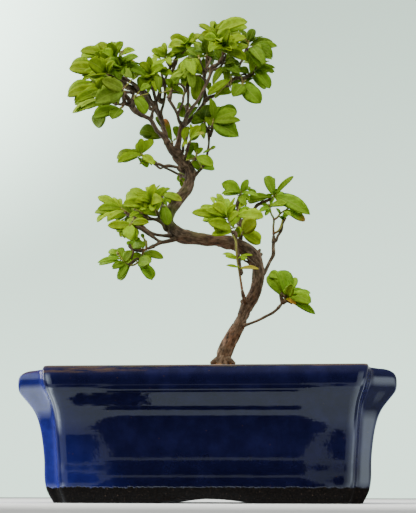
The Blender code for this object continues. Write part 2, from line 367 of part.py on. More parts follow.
     [(0, 0.5, 15.7, 262.0, -10.0, 5.5, 10), (0, 1.0, 13.0, 270.5, -9.0, 5.0, 20), (0, 0.4, -1.4, 255.3, -9.0, 4.2, 10),
      (0, 0.8, 17.0, 266.5, 3.0, 5.5, 20)]),
    ("crown_arm_leaf", "spring",
     [(8.4, 254.6, 0.0, 0.9), (9.4, 256.8, -3.6, 0.6)],
     [[(9.9, 257.8, -5.2), (9.8, 259.0, -6.2)]],
     [(0, 0.8, -4.6, 248.4, -10.2, 5.2, 10)]),
    ("middle_right", "leaf",
     [(-3.6, 221.4, -3.0, 0.95), (-1.9, 224.8, -4.0, 0.7), (-1.3, 227.0, -5.0, 0.65)],
     [[(-1.0, 228.8, -6.0), (-1.0, 231.2, -6.5)]],
     [(0, 1.0, 13.7, 236.8, -6.0, 7.4, 10), (0, 0.8, 15.9, 231.2, -11.0, 5.4, 10), (0, 0.6, 13.6, 228.0, -3.0, 3.0, 30),
      (0, 0.4, 14.5, 221.3, -10.0, 9.5, 0), (0, 1.0, -2.8, 246.2, -9.0, 4.2, 10), (0, 0.9, 9.0, 240.9, 2.0, 6.0, 15)]),
    ("middle_left", "deep",
     [(-4.0, 224.2, -3.0, 1.0), (-5.7, 227.7, -2.0, 0.7)],
     [[(-6.3, 229.4, -1.5), (-6.7, 231.6, -1.0)]],
     [(0, 0.9, -14.8, 230.2, -3.0, 5.4, 15), (0, 1.0, -10.5, 238.0, 2.4, 6.0, 10), (0, 1.0, -4.2, 242.0, -6.0, 7.0, 5),
      (0, 0.8, -13.2, 236.0, 0.2, 5.0, 10), (0, 0.4, -6.8, 220.2, -10.2, 3.6, 5)]),
    ("middle_low", "spring",
     [(-17.5, 212.0, -3.8, 0.75), (-16.5, 215.3, -5.0, 0.65)],
     [[(-15.9, 217.0, -5.5), (-15.2, 219.0, -6.0)]],
     [(0, 1.0, -9.3, 228.6, -8.0, 5.2, 5), (0, 1.0, -15.3, 229.8, -3.0, 2.2, 20), (0, 0.8, -6.6, 223.5, -12.0, 3.0, 30),
      (0, 0.5, -20.0, 215.2, -8.0, 2.2, 30)]),
    ("middle_short", "leaf",
     [(-14.0, 204.3, -1.6, 0.75), (-12.4, 206.2, -3.0, 0.65)],
     [[(-11.6, 207.6, -3.5), (-11.4, 209.6, -4.0)]],
     [(0, 1.0, -12.3, 218.0, -2.0, 3.6, 10), (0, 0.9, -7.4, 214.0, -4.0, 3.4, 10), (0, 0.4, -1.0, 202.2, -7.0, 6.2, 5)]),
    ("middle_thin", "leaf",
     [(-4.5, 211.7, -3.0, 0.6), (-3.9, 212.2, -4.6, 0.45)],
     [[(-3.5, 212.5, -5.6), (-3.0, 212.9, -6.6)]],
     [(0, 1.0, 0.6, 214.4, -8.0, 2.2, 10), (0, 0.9, -7.4, 210.4, -8.0, 1.5, 20)]),
    ("leaf_far_left", "deep",
     [(-33.6, 223.6, -4.2, 1.0), (-33.7, 222.4, -1.4, 0.7)],
     [[(-33.9, 221.8, 0.2), (-34.8, 221.8, 1.6)]],
     [(0, 1.0, -46.9, 226.0, 3.0, 8.0, 5)]),
    ("leaf_limb_top", "leaf",
     [(-51.5, 242.2, -10.4, 1.0), (-51.2, 245.6, -12.6, 0.6)],
     [[(-51.0, 246.8, -13.6), (-50.6, 248.0, -14.2)]],
     [(0, 0.8, -43.1, 237.0, -15.0, 6.2, 5), (0, 1.0, -43.8, 246.4, -14.0, 2.2, 30)]),
    ("leaf_dark_narrow", "deep",
     [(-31.8, 226.5, -1.0, 0.9), (-32.2, 226.1, 1.6, 0.6)],
     [[(-32.5, 226.0, 3.0), (-33.1, 226.8, 4.0)]],
     [(0, 1.0, -36.1, 235.3, 9.4, 2.8, 10)]),
    ("leaf_orange_tip", "spring",
     [(-27.0, 213.6, -1.2, 1.2), (-26.6, 215.8, 2.2, 0.6)],
     [[(-26.4, 216.6, 3.6), (-26.6, 218.0, 4.4)]],
     [(0, 1.0, -32.3, 233.8, 10.4, 4.6, 5)]),
    ("leaf_centre", "leaf",
     [(-22.0, 219.5, 1.0, 1.0), (-22.9, 219.3, 4.0, 0.5)],
     [[(-23.2, 219.5, 5.2), (-23.5, 220.5, 6.2)]],
     [(0, 1.0, -24.6, 228.8, 8.0, 4.0, 5), (0, 0.8, -26.0, 218.8, 8.0, 1.6, 10)]),
    ("twig_left_rosette", "spring",
     [(-40.2, 205.5, -5.0, 0.75), (-43.2, 207.6, -5.0, 0.7)],
     [[(-44.4, 208.9, -5.0), (-45.5, 210.9, -5.0)]],
     [(0, 1.0, -46.0, 221.0, -7.0, 4.0, 5), (0, 1.0, -38.4, 220.0, -4.0, 4.4, 5), (0, 0.9, -61.0, 211.0, -2.0, 4.6, 15),
      (0, 0.7, -60.5, 206.0, -9.0, 4.8, 5), (0, 1.0, -50.9, 213.5, 3.0, 3.0, 10), (0, 0.6, -34.6, 206.4, -10.0, 5.0, 10),
      (0, 0.4, -38.6, 203.9, 1.2, 3.4, 20)]),
    ("leaf_trunk_left", "leaf",
     [(-20.5, 196.4, 3.4, 0.65), (-20.9, 195.7, 5.6, 0.5)],
     [[(-21.1, 195.4, 6.8), (-21.2, 194.6, 7.8)]],
     [(0, 1.0, -19.0, 188.7, 9.0, 3.8, 5), (0, 0.8, -20.8, 199.4, 9.0, 2.0, 10)]),
    ("low_left_far", "spring",
     [(-46.8, 166.8, -8.0, 1.2), (-49.2, 169.4, -8.0, 1.0), (-52.3, 171.8, -7.0, 0.8)],
     [[(-54.3, 173.3, -7.0), (-57.6, 176.0, -7.0)]],
     [(0, 1.0, -72.4, 184.0, -5.0, 4.6, 10), (0, 0.9, -72.5, 176.0, -11.0, 5.2, 10), (0, 0.7, -74.0, 174.0, -3.0, 3.6, 30),
      (0, 0.6, -72.0, 168.4, -13.0, 2.6, 30), (0, 1.0, -59.8, 182.5, -2.0, 3.0, 10), (0, 0.3, -66.2, 169.0, -16.0, 4.0, 15)]),
    ("low_left_under", "spring",
     [(-48.4, 168.6, -8.0, 1.1), (-49.8, 167.6, -11.0, 0.8)],
     [[(-50.4, 166.8, -12.8), (-51.6, 165.8, -14.0)]],
     [(0, 1.0, -65.8, 165.6, -17.0, 5.6, 5), (0, 1.0, -58.4, 158.4, -13.0, 4.6, 10), (0, 0.9, -51.4, 155.8, -18.0, 6.6, 0),
      (0, 0.5, -40.3, 167.2, -16.0, 4.4, 0), (0, 0.6, -47.5, 158.0, -8.0, 4.5, 20)]),
    ("low_left_stem", "spring",
     [(-33.2, 169.0, -4.0, 1.2), (-36.0, 168.8, -5.0, 0.7), (-39.2, 169.6, -6.0, 0.65), (-41.5, 170.8, -7.0, 0.65)],
     [[(-43.0, 171.7, -7.5), (-48.5, 175.2, -9.0)]],
     [(0, 1.0, -54.5, 180.8, -5.0, 4.0, 10), (0, 0.6, -52.5, 170.6, -10.4, 3.0, 20), (0, 0.4, -43.2, 178.0, -4.0, 4.0, 10),
      (0, 0.9, -49.0, 183.8, -3.0, 5.0, 20)]),
    ("low_left_crown", "spring",
     [(-33.6, 170.9, -4.0, 1.0), (-35.0, 173.0, -6.0, 0.7), (-36.6, 175.6, -8.0, 0.65)],
     [[(-37.7, 177.3, -9.2), (-39.6, 180.8, -9.8)]],
     [(0, 0.5, -56.6, 178.7, -14.0, 6.8, 5), (0, 1.0, -52.8, 188.4, -7.0, 4.2, 10), (0, 0.9, -42.4, 190.2, -4.0, 2.6, 10),
      (0, 1.0, -37.4, 191.4, -13.0, 4.8, 0), (0, 0.8, -32.4, 180.8, -17.0, 7.0, 0), (0, 1.0, -33.5, 190.8, -5.0, 1.5, 20),
      (0, 0.8, -46.5, 184.5, -17.0, 3.0, 30), (0, 0.4, -38.2, 174.2, -16.0, 4.0, 5)]),
    ("low_left_right", "spring",
     [(-33.4, 170.9, -4.0, 1.0), (-32.7, 175.5, -3.0, 0.8), (-32.0, 179.0, -3.0, 0.9), (-32.3, 182.0, -3.0, 0.8)],
     [[(-32.6, 183.8, -3.2), (-32.2, 185.8, -3.4)]],
     [(0, 1.0, -27.3, 188.0, -6.0, 2.6, 20), (0, 0.5, -20.3, 180.5, -9.0, 4.6, 5), (0, 1.0, -28.6, 185.4, 2.0, 3.6, 10)]),
    ("low_left_hanging", "leaf",
     [(-32.5, 176.6, -3.0, 0.8), (-32.2, 177.6, -5.8, 0.5)],
     [[(-32.0, 177.9, -7.0), (-31.4, 177.4, -8.2)]],
     [(0, 1.0, -28.5, 165.0, -11.0, 6.2, 5)]),
    ("low_left_bottom", "leaf",
     [(-37.0, 152.2, -7.8, 0.8), (-39.4, 151.2, -8.2, 0.7)],
     [[(-41.2, 150.4, -8.5), (-43.2, 149.4, -8.8), (-44.2, 146.2, -9.0), (-45.4, 143.8, -9.4), (-47.4, 141.6, -9.8),
       (-49.8, 140.4, -10.0), (-54.0, 141.8, -10.0), (-56.8, 144.5, -10.0), (-58.6, 147.2, -10.0)],
      [(-42.6, 149.8, -8.7), (-45.8, 150.4, -8.4), (-49.4, 151.0, -8.2), (-51.4, 153.0, -8.2)],
      [(-41.8, 150.2, -8.5), (-41.7, 154.0, -8.2), (-43.3, 157.0, -8.2)]],
     [(1, 1.0, -53.8, 155.2, -9.0, 2.6, 15), (1, 0.85, -42.8, 152.9, -14.0, 5.2, 5), (2, 1.0, -45.0, 160.0, -9.0, 2.0, 10),
      (0, 1.0, -65.1, 149.5, -8.0, 3.6, 10), (0, 0.97, -59.8, 151.2, -5.0, 3.0, 10), (0, 0.85, -71.6, 142.2, -13.0, 3.0, 25),
      (0, 0.8, -50.5, 149.4, -15.0, 5.5, 5), (0, 0.72, -62.3, 138.3, -13.0, 3.9, 10), (0, 0.66, -58.8, 131.6, -13.0, 4.2, 5),
      (0, 0.36, -38.0, 131.7, -14.0, 5.0, 5), (0, 0.38, -38.4, 142.5, -17.0, 6.6, 0), (0, 0.14, -31.4, 144.7, -13.0, 4.4, 5)]),
    ("front_shoot", "spring",
     [(17.2, 120.4, -6.8, 0.75), (16.8, 122.4, -7.4, 0.65)],
     [[(16.4, 124.6, -8.0), (15.3, 132.2, -9.4), (14.4, 138.2, -10.4), (13.5, 143.6, -11.4), (13.0, 149.0, -12.4),
       (12.4, 155.6, -13.0), (10.6, 159.0, -13.0), (8.6, 166.5, -13.2), (7.6, 171.0, -13.4)]],
     [(0, 0.97, -14.2, 173.2, -15.0, 5.6, 10), (0, 0.93, -7.6, 167.8, -10.0, 3.5, 20), (0, 0.8, -3.8, 166.6, -18.0, 6.8, 5),
      (0, 0.76, -2.0, 158.8, -15.0, 4.2, 10), (0, 1.0, -1.7, 182.6, -11.0, 2.2, 10), (0, 1.0, 2.2, 184.7, -9.0, 2.4, 10),
      (0, 1.0, 7.0, 182.0, -8.0, 3.2, 10), (0, 1.0, 12.4, 182.0, -15.0, 1.8, 10), (0, 0.99, -1.8, 177.6, -20.0, 6.0, 10),
      (0, 0.96, 13.0, 177.6, -20.0, 3.0, 10), (0, 0.9, 14.8, 172.4, -20.0, 5.0, 20), (0, 0.42, 4.7, 146.7, -14.0, 2.0, 20),
      (0, 0.29, 7.1, 139.8, -12.5, 1.8, 20), (0, 0.27, 26.7, 137.0, -13.5, 2.2, 15), (0, 0.4, 22.8, 145.8, -14.0, 1.6, 20)]),
    ("right_cluster_arm", "spring",
     [(14.8, 171.0, 1.8, 0.75), (14.3, 170.4, -1.8, 0.55)],
     [[(14.1, 170.1, -3.2), (13.7, 170.2, -4.6)]],
     [(0, 1.0, 29.4, 169.8, -8.0, 7.0, 10), (0, 0.8, 10.6, 164.0, -7.0, 4.0, 10), (0, 1.0, 21.5, 175.4, 1.0, 4.0, 10)]),
    ("right_cluster_low", "spring",
     [(15.6, 156.0, -3.0, 0.9), (16.3, 157.6, -6.0, 0.6)],
     [[(16.6, 158.2, -7.4), (16.9, 159.4, -8.4)]],
     [(0, 1.0, 25.2, 167.2, -13.0, 8.2, 0), (0, 0.8, 27.7, 152.9, -9.0, 6.4, 5), (0, 1.0, 13.6, 163.0, -6.0, 2.6, 10)]),
    ("right_upper", "leaf",
     [(13.9, 176.4, 2.0, 1.0), (14.5, 180.0, 2.0, 0.85)],
     [[(15.0, 182.0, 2.0), (16.0, 184.7, 2.0)]],
     [(0, 0.9, 4.3, 190.9, -3.0, 7.4, 5), (0, 0.6, 4.5, 184.7, -7.0, 3.0, 25), (0, 1.0, 20.3, 193.2, 1.0, 4.0, 5),
      (0, 0.9, 26.4, 183.2, -4.0, 3.0, 30), (0, 1.0, 22.1, 188.4, 7.0, 2.2, 10), (0, 0.4, 19.0, 176.6, -5.0, 4.2, 5)]),
    ("right_outer", "leaf",
     [(28.4, 177.8, 4.0, 0.85), (32.5, 179.7, 3.0, 0.65)],
     [[(34.1, 180.6, 2.6), (36.4, 182.2, 2.0)]],
     [(0, 0.8, 29.4, 195.2, 4.0, 5.6, 5), (0, 1.0, 48.2, 194.7, -1.0, 3.4, 15), (0, 1.0, 38.0, 186.4, -4.0, 2.6, 10),
      (0, 1.0, 42.6, 184.0, 6.0, 2.0, 15), (0, 0.3, 31.8, 183.6, -3.0, 2.4, 10), (0, 0.4, 18.6, 180.6, -0.8, 4.0, 10),
      (0, 0.9, 57.3, 171.2, -6.0, 8.4, 5)]),
    ("right_stem", "leaf",
     [(35.6, 153.2, 2.0, 0.85), (35.7, 155.8, 2.0, 0.8)],
     [[(35.6, 158.0, 2.0), (35.5, 163.0, 2.0), (35.8, 167.8, 2.0), (34.3, 171.2, 2.0), (33.3, 175.6, 1.8)],
      [(35.8, 167.4, 2.0), (38.2, 169.0, 0.0), (39.7, 171.1, -1.0), (43.3, 173.4, -2.5)],
      [(35.6, 158.8, 2.0), (38.0, 160.0, 1.0), (39.5, 162.0, 0.0), (40.5, 164.6, 0.0), (41.3, 167.8, 0.0)]],
     [(0, 1.0, 43.6, 177.6, -5.0, 4.0, 20), (0, 0.97, 27.0, 172.8, -3.0, 3.2, 10), (0, 1.0, 28.5, 177.3, 1.6, 2.4, 20),
      (0, 0.85, 31.7, 170.4, -3.0, 2.2, 20), (1, 0.96, 54.6, 166.2, -3.8, 4.8, 10), (1, 0.6, 37.5, 174.5, -5.0, 2.0, 20),
      (1, 0.9, 46.4, 169.4, -7.0, 2.4, 10), (2, 1.0, 44.2, 170.0, -4.0, 2.4, 10), (2, 0.97, 39.2, 169.2, -3.0, 2.0, 10)]),
    ("right_low", "leaf",
     [(37.6, 112.9, -8.0, 0.6), (40.0, 115.9, -8.0, 0.6)],
     [[(41.0, 117.4, -8.0), (43.8, 121.2, -8.5)]],
     [(0, 0.5, 32.4, 133.8, -6.0, 7.0, 5), (0, 0.7, 39.5, 135.8, -12.0, 5.5, 10), (0, 0.9, 43.8, 131.3, -4.0, 5.0, 15),
      (0, 1.0, 48.9, 131.9, -7.0, 3.9, 5), (0, 1.0, 57.4, 122.2, -6.0, 3.6, 25), (0, 0.9, 57.5, 116.4, -12.0, 7.0, 5),
      (0, 0.6, 59.8, 109.6, -10.0, 4.4, 5), (0, 0.4, 48.6, 115.2, -11.0, 2.6, 10), (0, 0.9, 46.2, 127.0, -15.0, 5.5, 5)]),
    ("back_right_rosette", "deep",
     [(-6.6, 261.2, 23.8, 0.8), (-8.4, 268.5, 26.0, 0.7)],
     [[(-9.2, 270.8, 26.6), (-10.2, 273.6, 27.2)]],
     [(0, 1.0, -19.0, 279.6, 30.0, 6.5, 20), (0, 1.0, -12.0, 284.5, 33.0, 6.5, 20), (0, 0.9, -2.0, 281.0, 36.0, 6.5, 30),
      (0, 0.7, -17.0, 268.5, 35.0, 6.0, 20), (0, 0.8, -4.0, 272.5, 34.0, 6.0, 40), (0, 1.0, -8.0, 278.0, 40.0, 6.5, 60)]),
    ("back_left_rosette", "deep",
     [(-53.8, 254.1, 21.8, 0.8), (-60.5, 257.3, 24.0, 0.7)],
     [[(-62.8, 258.5, 24.8), (-66.0, 260.4, 26.0)]],
     [(0, 1.0, -79.0, 258.0, 30.0, 7.5, 30), (0, 1.0, -72.5, 266.8, 33.0, 7.0, 30), (0, 0.9, -75.0, 253.0, 36.0, 6.5, 40),
      (0, 0.7, -61.5, 266.5, 34.0, 6.5, 30), (0, 0.6, -65.0, 252.5, 35.0, 6.0, 50), (0, 1.0, -70.0, 260.0, 40.0, 7.0, 60)]),
    ("back_left_top", "deep",
     [(-54.0, 254.2, 21.8, 0.75), (-57.5, 260.0, 23.5, 0.7), (-61.2, 266.2, 25.0, 0.65)],
     [[(-62.6, 268.4, 25.6), (-64.4, 271.6, 26.4)]],
     [(0, 1.0, -76.0, 277.5, 30.0, 7.0, 30), (0, 1.0, -66.5, 281.5, 32.0, 6.5, 30), (0, 0.8, -74.5, 270.0, 34.0, 6.5, 40),
      (0, 0.8, -60.5, 279.0, 34.0, 6.0, 40), (0, 1.0, -69.0, 275.0, 40.0, 6.5, 60)]),
    ("back_low_rosette", "deep",
     [(-42.8, 163.3, 15.8, 0.65), (-47.4, 167.6, 18.0, 0.6)],
     [[(-48.8, 169.2, 18.8), (-50.8, 171.8, 20.0)]],
     [(0, 1.0, -62.5, 177.0, 22.0, 6.0, 30), (0, 1.0, -54.0, 181.0, 26.0, 5.5, 30), (0, 0.8, -61.5, 171.0, 27.0, 5.5, 40),
      (0, 0.8, -43.5, 178.0, 26.0, 5.5, 30), (0, 0.6, -56.0, 164.5, 26.0, 5.5, 40), (0, 1.0, -50.0, 176.0, 33.0, 6.0, 60)]),
    ("back_cluster_rosette", "deep",
     [(15.0, 160.2, -1.0, 0.85), (14.6, 163.4, 4.0, 0.65), (13.2, 166.4, 8.6, 0.6)],
     [[(12.4, 168.2, 10.6), (11.0, 170.4, 12.6)]],
     [(0, 1.0, 2.0, 175.0, 16.0, 6.0, 30), (0, 1.0, 12.5, 178.5, 19.0, 5.5, 30), (0, 0.8, 3.0, 167.5, 20.0, 5.5, 40),
      (0, 0.8, 21.0, 172.5, 19.0, 5.5, 30), (0, 0.6, 11.5, 162.5, 20.0, 5.0, 40), (0, 1.0, 10.0, 172.5, 26.0, 6.0, 60)]),
    ("back_arm_rosette", "deep",
     [(16.6, 258.5, 0.6, 1.0), (19.5, 259.8, 5.0, 0.8), (22.6, 262.4, 9.0, 0.7)],
     [[(23.6, 264.2, 10.8), (25.4, 267.4, 12.6)]],
     [(0, 1.0, 33.5, 274.0, 16.0, 6.0, 30), (0, 1.0, 25.0, 276.5, 19.0, 5.5, 30), (0, 0.8, 34.0, 269.5, 20.0, 5.0, 40),
      (0, 0.8, 17.5, 270.0, 19.0, 5.5, 30), (0, 1.0, 27.0, 270.5, 26.0, 6.0, 60)]),
]
TONES = {
    "spring": (0.20, 0.34, 0.04, 1.0),
    "leaf": (0.13, 0.26, 0.04, 1.0),
    "pale": (0.24, 0.34, 0.10, 1.0),
    "deep": (0.08, 0.18, 0.03, 1.0),
}


def clear_scene():
    for item in list(bpy.data.objects):
        bpy.data.objects.remove(item, do_unlink=True)
    for group in list(bpy.data.collections):
        bpy.data.collections.remove(group)


def make_collection(name, hidden=False):
    group = bpy.data.collections.new(name)
    bpy.context.scene.collection.children.link(group)
    group.hide_render = hidden
    return group


def make_material(name, color, roughness, metallic=0.0):
    material = bpy.data.materials.new(name)
    material.use_nodes = True
    shader = material.node_tree.nodes["Principled BSDF"]
    shader.inputs["Base Color"].default_value = color
    shader.inputs["Roughness"].default_value = roughness
    shader.inputs["Metallic"].default_value = metallic
    return material


def on_sheet(x, z, depth):
    """The point, in metres, that shows at (x, z) of the sheet when it lies at this depth."""
    back = depth + (DEPTH_SPREAD - 1.0) * min(depth, DEPTH_LIMIT)
    reach = (back - EYE_Y) / -EYE_Y
    px = EYE_X + SHEET_X + (x - EYE_X) * reach
    pz = EYE_Z + (z - EYE_Z) * reach
    return Vector((px * SCALE, back * SCALE, pz * SCALE))


def object_from_bmesh(name, mesh_data, group):
    mesh = bpy.data.meshes.new(name)
    mesh_data.to_mesh(mesh)
    mesh_data.free()
    item = bpy.data.objects.new(name, mesh)
    group.objects.link(item)
    return item


def tube(name, points, radii, resolution, group):
    """A round limb along the points, tapering with the radii, with flat filled ends."""
    curve = bpy.data.curves.new(name, "CURVE")
    curve.dimensions = "3D"
    curve.bevel_mode = "ROUND"
    curve.bevel_depth = 1.0
    curve.bevel_resolution = resolution
    curve.use_fill_caps = True
    spline = curve.splines.new("POLY")
    spline.points.add(len(points) - 1)
    for knot, point, radius in zip(spline.points, points, radii):
        knot.co = (point.x, point.y, point.z, 1.0)
        knot.radius = radius
    source = bpy.data.objects.new(name + "_path", curve)
    group.objects.link(source)
    bpy.context.view_layer.update()
    graph = bpy.context.evaluated_depsgraph_get()
    mesh = bpy.data.meshes.new_from_object(source.evaluated_get(graph), depsgraph=graph)
    bpy.data.objects.remove(source, do_unlink=True)
    bpy.data.curves.remove(curve)
    data = bmesh.new()
    data.from_mesh(mesh)
    bpy.data.meshes.remove(mesh)
    bmesh.ops.remove_doubles(data, verts=data.verts, dist=0.000001)
    bmesh.ops.recalc_face_normals(data, faces=data.faces)
    return object_from_bmesh(name, data, group)


def thinned(points, radii, tolerance):
    """Leaves out points of a path that lie close to the line between those kept."""
    keep = {0, len(points) - 1}
    spans = [(0, len(points) - 1)]
    while spans:
        first, last = spans.pop()
        worst = 0.0
        chosen = None
        for index in range(first + 1, last):
            line = points[last] - points[first]
            share = (points[index] - points[first]).dot(line) / line.length_squared
            off = (points[index] - points[first].lerp(points[last], share)).length
            off += abs(radii[index] - (radii[first] + (radii[last] - radii[first]) * share))
            if off > worst:
                worst = off
                chosen = index
        if chosen is not None and worst > tolerance:
            keep.add(chosen)
            spans += [(first, chosen), (chosen, last)]
    order = sorted(keep)
    return [points[index] for index in order], [radii[index] for index in order]


def set_only_material(item, material):
    item.data.materials.clear()
    item.data.materials.append(material)
    for face in item.data.polygons:
        face.material_index = 0


def apply_modifiers(item):
    bpy.context.view_layer.update()
    graph = bpy.context.evaluated_depsgraph_get()
    mesh = bpy.data.meshes.new_from_object(item.evaluated_get(graph), depsgraph=graph)
    old = item.data
    item.modifiers.clear()
    item.data = mesh
    bpy.data.meshes.remove(old)


def is_closed(item):
    """True where every edge joins two faces and no two parts meet at a point only."""
    data = bmesh.new()
    data.from_mesh(item.data)
    closed = len(data.faces) > 3
    closed = closed and all(len(edge.link_faces) == 2 for edge in data.edges)
    closed = closed and all(vert.is_manifold for vert in data.verts)
    data.free()
    return closed


def keep_largest_shell(item):
    """Drops loose scraps and the walls of sealed hollows, and counts the largest scrap's faces."""
    data = bmesh.new()
    data.from_mesh(item.data)
    data.faces.ensure_lookup_table()
    seen = set()
    shells = []
    for start in data.faces:
        if start.index in seen:
            continue
        stack = [start]
        seen.add(start.index)
        shell = []
        while stack:
            face = stack.pop()
            shell.append(face)
            for edge in face.edges:
                for other in edge.link_faces:
                    if other.index not in seen:
                        seen.add(other.index)
                        stack.append(other)
        shells.append(shell)
    shells.sort(key=len, reverse=True)
    dropped = []
    for shell in shells[1:]:
        volume = 0.0
        for face in shell:
            corners = [loop.vert.co for loop in face.loops]
            for second, third in zip(corners[1:-1], corners[2:]):
                volume += corners[0].dot(second.cross(third))
        if volume > 0.0:
            dropped.append(len(shell))
    scraps = [face for shell in shells[1:] for face in shell]
    if scraps:
        bmesh.ops.delete(data, geom=scraps, context="FACES")
        data.to_mesh(item.data)
    data.free()
    return max(dropped, default=0)


def tidy_mesh(item, merge, flat):
    """Merges slivers and flat neighbours left by a Boolean, then splits all into triangles."""
    data = bmesh.new()
    data.from_mesh(item.data)
    bmesh.ops.remove_doubles(data, verts=data.verts, dist=merge)
    bmesh.ops.dissolve_degenerate(data, edges=data.edges, dist=merge)
    if flat > 0.0:
        bmesh.ops.dissolve_limit(data, angle_limit=flat, verts=data.verts, edges=data.edges)
    bmesh.ops.triangulate(data, faces=data.faces)
    bmesh.ops.recalc_face_normals(data, faces=data.faces)
    if data.calc_volume(signed=True) < 0.0:
        bmesh.ops.reverse_faces(data, faces=data.faces)
    data.to_mesh(item.data)
    data.free()


def clean_solid(item):
    """Cleans a fused body as strongly as leaves it one closed solid of the same volume."""
    scrap = keep_largest_shell(item)
    start = item.data.copy()
    for merge, flat in CLEANING:
        item.data = start.copy()
        tidy_mesh(item, merge, flat)
        if max(scrap, keep_largest_shell(item)) <= SCRAP_LIMIT and is_closed(item):
            return True
    return False


def union_pieces(body, pieces, cutters):
    """Fuses the pieces into the body, as one closed solid."""
    if not pieces:
        return clean_solid(body)
    bin_group = bpy.data.collections.new("joining")
    cutters.children.link(bin_group)
    for piece in pieces:
        for group in list(piece.users_collection):
            group.objects.unlink(piece)
        bin_group.objects.link(piece)
    start = body.data.copy()
    good = False
    for solver in ("EXACT", "MANIFOLD"):
        body.data = start.copy()
        join = body.modifiers.new("join", "BOOLEAN")
        join.operation = "UNION"
        join.operand_type = "COLLECTION"
        join.collection = bin_group
        join.solver = solver
        if solver == "EXACT":
            join.use_self = True
        apply_modifiers(body)
        good = clean_solid(body)
        if good:
            break
    for piece in list(bin_group.objects):
        bpy.data.objects.remove(piece, do_unlink=True)
    bpy.data.collections.remove(bin_group)
    return good


# Leaf blades: places of the rows along the blade and the blade's width there.
BROAD_STATIONS = (0.0, 0.26, 0.54, 0.81, 1.0)
BROAD_WIDTHS = (0.0, 0.62, 1.0, 0.76, 0.0)
BROAD_LIMIT = 7.8
LEAF_STATIONS = (0.0, 0.36, 0.72, 1.0)
LEAF_WIDTHS = (0.0, 0.9, 0.92, 0.0)
FOLDED_LIMIT = 6.5
UP = Vector((0.0, 0.0, 1.0))
TO_FRONT = Vector((0.0, -1.0, 0.0))


def leaf_frame(base, tip, turn):
    """Direction along the blade, across it, and out of its upper face."""
    along = (tip - base).normalized()
    face = TO_FRONT - along * TO_FRONT.dot(along)
    if face.length < 0.05:
        face = UP - along * UP.dot(along)
    face.normalize()
    other = along.cross(face)
    if other.z < 0.0:
        other = -other
    angle = math.radians(turn)
    out = face * math.cos(angle) + other * math.sin(angle)
    out.normalize()
    across = out.cross(along).normalized()
    return along, across, out


def leaf_bmesh(base, tip, width, turn, extra=0.0):
    """One blade: pointed at both ends, folded along its midrib and arched along its length."""
    along, across, out = leaf_frame(base, tip, turn)
    length = (tip - base).length
    broad = width >= BROAD_LIMIT
    stations = BROAD_STATIONS if broad else LEAF_STATIONS
    widths = BROAD_WIDTHS if broad else LEAF_WIDTHS
    columns = 2 if width >= FOLDED_LIMIT else 1
    rows = len(stations)
    data = bmesh.new()
    bmesh.ops.create_grid(data, x_segments=columns, y_segments=rows - 1, size=0.5)
    half_width = 0.5 * width * SCALE
    thickness = BLADE_THICKNESS * SCALE + 2.0 * extra
    for vert in data.verts:
        row = int(round((vert.co.y + 0.5) * (rows - 1)))
        side = vert.co.x * 2.0
        place = stations[row]
        half = (half_width + extra) * widths[row]
        rise = BLADE_ARCH * length * 4.0 * place * (1.0 - place)
        fold = BLADE_FOLD * half * 2.0 * abs(side)
        vert.co = base + along * (place * length) + across * (half * side) + out * (rise + fold - 0.5 * thickness)
    bmesh.ops.remove_doubles(data, verts=data.verts, dist=0.000001)
    bmesh.ops.triangulate(data, faces=data.faces, quad_method="FIXED")
    faces = list(data.faces)
    upper = {}
    for vert in list(data.verts):
        upper[vert] = data.verts.new(vert.co + out * thickness)
    for face in faces:
        data.faces.new([upper[vert] for vert in reversed(face.verts)])
    for edge in [edge for edge in data.edges if len(edge.link_faces) == 1 and edge.verts[0] in upper]:
        first, second = edge.verts
        data.faces.new((first, second, upper[second], upper[first]))
    bmesh.ops.triangulate(data, faces=data.faces)
    bmesh.ops.recalc_face_normals(data, faces=data.faces)
    return data


def tree_of(mesh_data):
    return BVHTree.FromBMesh(mesh_data, epsilon=0.0)


def tree_of_object(item):
    data = bmesh.new()
    data.from_mesh(item.data)
    tree = BVHTree.FromBMesh(data, epsilon=0.0)
    data.free()
    return tree


def point_along(path, place):
    lengths = [(path[i + 1] - path[i]).length for i in range(len(path) - 1)]
    goal = place * sum(lengths)
    for index, length in enumerate(lengths):
        if goal <= length or index == len(lengths) - 1:
            return path[index].lerp(path[index + 1], min(1.0, goal / length))
        goal -= length
    return path[-1]


def path_length(path):
    return sum((path[i + 1] - path[i]).length for i in range(len(path) - 1))


def shoot_paths(stems):
    return [[on_sheet(*point) for point in stem] for stem in stems]


def twig_path(twig, stems):
    """The brown twig's points, ending just short of the green shoot and in line with it."""
    points = [on_sheet(x, z, d) for x, z, d, _ in twig]
    radii = [r * SCALE for _, _, _, r in twig]
    first = on_sheet(*stems[0][0])
    ahead = (on_sheet(*stems[0][1]) - first).normalized()
    tip_radius = min(radii[-1], TWIG_TIP_RADIUS * SCALE)
    points.append(first - ahead * TWIG_GAP * SCALE)
    radii.append(tip_radius)
    return points, radii


def stem_radius(index, count):
    """Young stems thin out towards their tips."""
    return SHOOT_RADIUS * SCALE * (1.0 - SHOOT_TAPER * index / max(1, count - 1))


